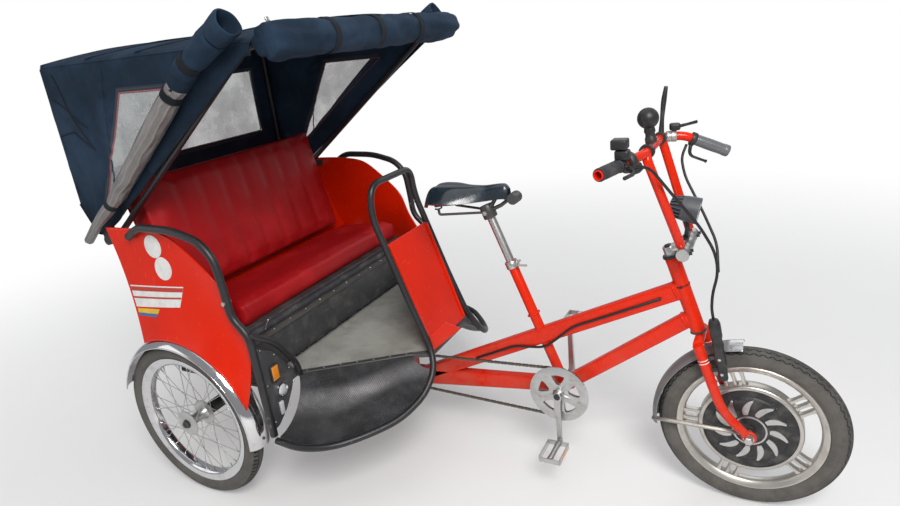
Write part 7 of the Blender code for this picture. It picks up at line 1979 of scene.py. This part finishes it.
def cushionPiece(name, node, cap):
    # the imported block, remeshed, then blown up a little by the Cloth simulation; each point's move is capped
    mesh = frame["nodes"][node].data.copy()
    block = np.empty(len(mesh.vertices) * 3, np.float32)
    mesh.vertices.foreach_get("co", block)
    block = block.reshape(-1, 3)
    centre = (block.max(axis=0) + block.min(axis=0)) / 2
    mesh.vertices.foreach_set("co", (centre + (block - centre) * 0.985).ravel())
    work = bmesh.new()
    work.from_mesh(mesh)
    bmesh.ops.remove_doubles(work, verts=work.verts, dist=0.00002)
    work.to_mesh(mesh)
    work.free()
    piece = bpy.data.objects.new(name, mesh)
    bpy.context.scene.collection.objects.link(piece)
    remesh = piece.modifiers.new("even", "REMESH")
    remesh.mode, remesh.voxel_size = "VOXEL", cushionCloth["mesh"]
    bpy.context.view_layer.update()
    even = bpy.data.meshes.new_from_object(piece.evaluated_get(bpy.context.evaluated_depsgraph_get()))
    piece.modifiers.clear()
    piece.data = even
    count = len(even.vertices)
    rest = np.empty(count * 3, np.float32)
    even.vertices.foreach_get("co", rest)
    rest = rest.reshape(-1, 3)
    cloth = piece.modifiers.new("blown", "CLOTH")
    s, c = cloth.settings, cushionCloth
    s.quality, s.mass = 5, c["mass"]
    s.use_pressure, s.uniform_pressure_force = True, c["pressure"]
    s.tension_stiffness = s.compression_stiffness = c["stretch"]
    s.shear_stiffness, s.bending_stiffness = c["shear"], c["bend"]
    s.effector_weights.gravity = 0.0
    cloth.collision_settings.use_collision = False
    scene = bpy.context.scene
    cloth.point_cache.frame_start, cloth.point_cache.frame_end = 1, c["steps"]
    for number in range(1, c["steps"] + 1):
        scene.frame_set(number)
    blown = bpy.data.meshes.new_from_object(piece.evaluated_get(bpy.context.evaluated_depsgraph_get()))
    piece.modifiers.clear()
    piece.data = blown
    scene.frame_set(1)
    now = np.empty(count * 3, np.float32)
    blown.vertices.foreach_get("co", now)
    now = now.reshape(-1, 3)
    move = now - rest
    size = np.linalg.norm(move, axis=1, keepdims=True)
    now = rest + move * np.minimum(1.0, cap / np.maximum(size, 1e-6))
    return piece, now.astype(np.float64)


def finishCushion(piece, points, node):
    # the shaped points go back into the piece, which is then smoothed, shaded and given its finish
    mesh = piece.data
    mesh.vertices.foreach_set("co", points.astype(np.float32).ravel())
    mesh.update()
    layer = mesh.uv_layers.get("surface") or mesh.uv_layers.new(name="surface")
    index = np.empty(len(mesh.loops), np.int32)
    mesh.loops.foreach_get("vertex_index", index)
    layer.data.foreach_set("uv", points[index][:, :2].astype(np.float32).ravel())
    mesh.polygons.foreach_set("use_smooth", np.ones(len(mesh.polygons), bool))
    finer = piece.modifiers.new("finer", "SUBSURF")
    finer.levels = finer.render_levels = 1
    stand(piece, redCloth, "frame", (node,))


piece, points = cushionPiece("seat_cushion_cover", "seat_cushion", 0.014)
x, y, z = (points - shift).T
top = np.clip((z - 0.640) / 0.03, 0, 1)
# soft creases at the ends, a shallow dip under each rider
crease = (0.0022 * np.sin(y * 95 + x * 30) * np.exp(-((np.abs(y) - 0.44) / 0.045) ** 2)
          + 0.0016 * np.sin(x * 60 + y * 11) * np.exp(-((np.abs(y) - 0.47) / 0.03) ** 2))
dip = -0.0035 * np.exp(-((np.abs(y) - 0.22) / 0.13) ** 2) * np.exp(-((x - 0.09) / 0.09) ** 2)
wave = 0.0009 * np.sin(y * 23 + 3 * np.sin(x * 14)) * np.sin(x * 19)
points[:, 2] += (crease + dip + wave) * top
finishCushion(piece, points, "seat_cushion")

piece, points = cushionPiece("back_cushion_cover", "back_cushion", 0.012)
x, y, z = (points - shift).T
low, high = np.array((-0.060, 0.655)), np.array((-0.153, 1.110))
slopeBack = unit(high - low)
out = np.array((slopeBack[1], -slopeBack[0]))
depth = (x - low[0]) * out[0] + (z - low[1]) * out[1]
front = np.clip((depth + 0.018) / 0.014, 0, 1)
share = ((x - low[0]) * slopeBack[0] + (z - low[1]) * slopeBack[1]) / np.linalg.norm(high - low)
# nine upright flutes, fading towards the top and bottom rolls
fade = np.clip(np.minimum(share - 0.04, 0.96 - share) / 0.06, 0, 1)
flute = -0.0048 * np.abs(np.cos(y / 0.92 * 9 * math.pi)) ** 6 * fade
push = flute + 0.0009 * np.sin(z * 40 + y * 17) * np.sin(y * 31)
points[:, 0] += push * front * out[0]
points[:, 2] += push * front * out[1]
finishCushion(piece, points, "back_cushion")
print("cushions made")


# Camera, light and ground

def lookFrom(place, yaw, pitch, roll):
    # degrees: yaw to the left of +y, pitch downwards, roll about the line of sight
    a, p, r = (math.radians(v) for v in (yaw, pitch, roll))
    forward = Vector((-math.sin(a) * math.cos(p), math.cos(a) * math.cos(p), -math.sin(p)))
    right = Vector((math.cos(a), math.sin(a), 0))
    up = right.cross(forward)
    rolled = right * math.cos(r) + up * math.sin(r), up * math.cos(r) - right * math.sin(r)
    return Matrix.Translation(place) @ Matrix((*rolled, -forward)).transposed().to_4x4()


camera = bpy.data.objects.new("camera", bpy.data.cameras.new("camera"))
bpy.context.scene.collection.objects.link(camera)
camera.matrix_world = lookFrom((0.957, -1.757, 1.434), 29.40, 19.11, -6.47)
camera.data.lens, camera.data.sensor_width = 25.29, 36.0
camera.data.clip_start = 0.05
bpy.context.scene.camera = camera
bpy.context.scene.view_settings.view_transform = "Standard"


def lamp(name, place, aim, size, power, colour=(1, 1, 1)):
    # a square area light turned towards a point
    light = bpy.data.lights.new(name, "AREA")
    light.shape, light.size, light.energy, light.color = "SQUARE", size, power, colour
    piece = bpy.data.objects.new(name, light)
    bpy.context.scene.collection.objects.link(piece)
    piece.location = place
    piece.rotation_euler = (Vector(aim) - Vector(place)).to_track_quat("-Z", "Y").to_euler()


lamp("key", (1.9, -2.4, 3.3), (-0.1, 0.0, 0.6), 1.5, 132, (1.0, 0.985, 0.96))
lamp("sky", (-0.4, 0.2, 4.2), (0.0, 0.0, 0.0), 4.0, 36, (0.96, 0.98, 1.0))
lamp("side", (-3.0, -2.6, 1.8), (0.0, 0.0, 0.7), 2.4, 16)
lamp("back", (0.6, 3.4, 2.4), (0.0, 0.0, 0.7), 2.6, 20)

world = bpy.data.worlds.new("studio")
bpy.context.scene.world = world
world.use_nodes = True
tree = world.node_tree
background = tree.nodes["Background"]
path = tree.nodes.new("ShaderNodeLightPath")
plain = tree.nodes.new("ShaderNodeBackground")
plain.inputs["Color"].default_value = (1, 1, 1, 1)
background.inputs["Color"].default_value = (0.93, 0.96, 1.0, 1)
background.inputs["Strength"].default_value = 0.30
# the camera sees plain white; the light comes from the faint sky colour
chooser = tree.nodes.new("ShaderNodeMixShader")
tree.links.new(path.outputs["Is Camera Ray"], chooser.inputs[0])
tree.links.new(background.outputs[0], chooser.inputs[1])
tree.links.new(plain.outputs[0], chooser.inputs[2])
tree.links.new(chooser.outputs[0], tree.nodes["World Output"].inputs[0])

# one wide flat floor
floorReach = 30.0
side = np.linspace(-floorReach, floorReach, 13)
grid = np.stack((*np.meshgrid(side, side, indexing="ij"), np.zeros((13, 13))), -1)
f = Finish("Studio floor", shine=0.1)
tone = f.mix(f.noise(3.0, 4.0, 0.6), (0.84, 0.84, 0.84), (0.88, 0.88, 0.88))
f.set(colour=tone, rough=0.75)
# the camera sees the floor fade to white away from the vehicle; the light on the vehicle stays as it is
x, y, z = f.axes()
away = (x * x + y * y + z * z) ** 0.5
seen = f.node("ShaderNodeLightPath", out=0) * f.ease(away, 0.9, 4.6, 0.22, 1.0)
white = f.node("ShaderNodeEmission", {}, {"Color": (1.0, 1.0, 1.0)})
blend = f.node("ShaderNodeMixShader", {}, {0: seen, 1: Tap(f.tree, f.shader.outputs[0]), 2: white})
f.tree.links.new(blend.socket, f.tree.nodes["Material Output"].inputs[0])
data = gridPart(grid, wrapCols=False, ends=False)
mesh = bpy.data.meshes.new("ground")
mesh.from_pydata(data[0].tolist(), [], data[1][0].tolist())
mesh.materials.append(f.material)
mesh.polygons.foreach_set("use_smooth", np.ones(len(mesh.polygons), bool))
ground = bpy.data.objects.new("ground", mesh)
bpy.context.scene.collection.objects.link(ground)
ground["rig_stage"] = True
print("stage made")

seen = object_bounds()
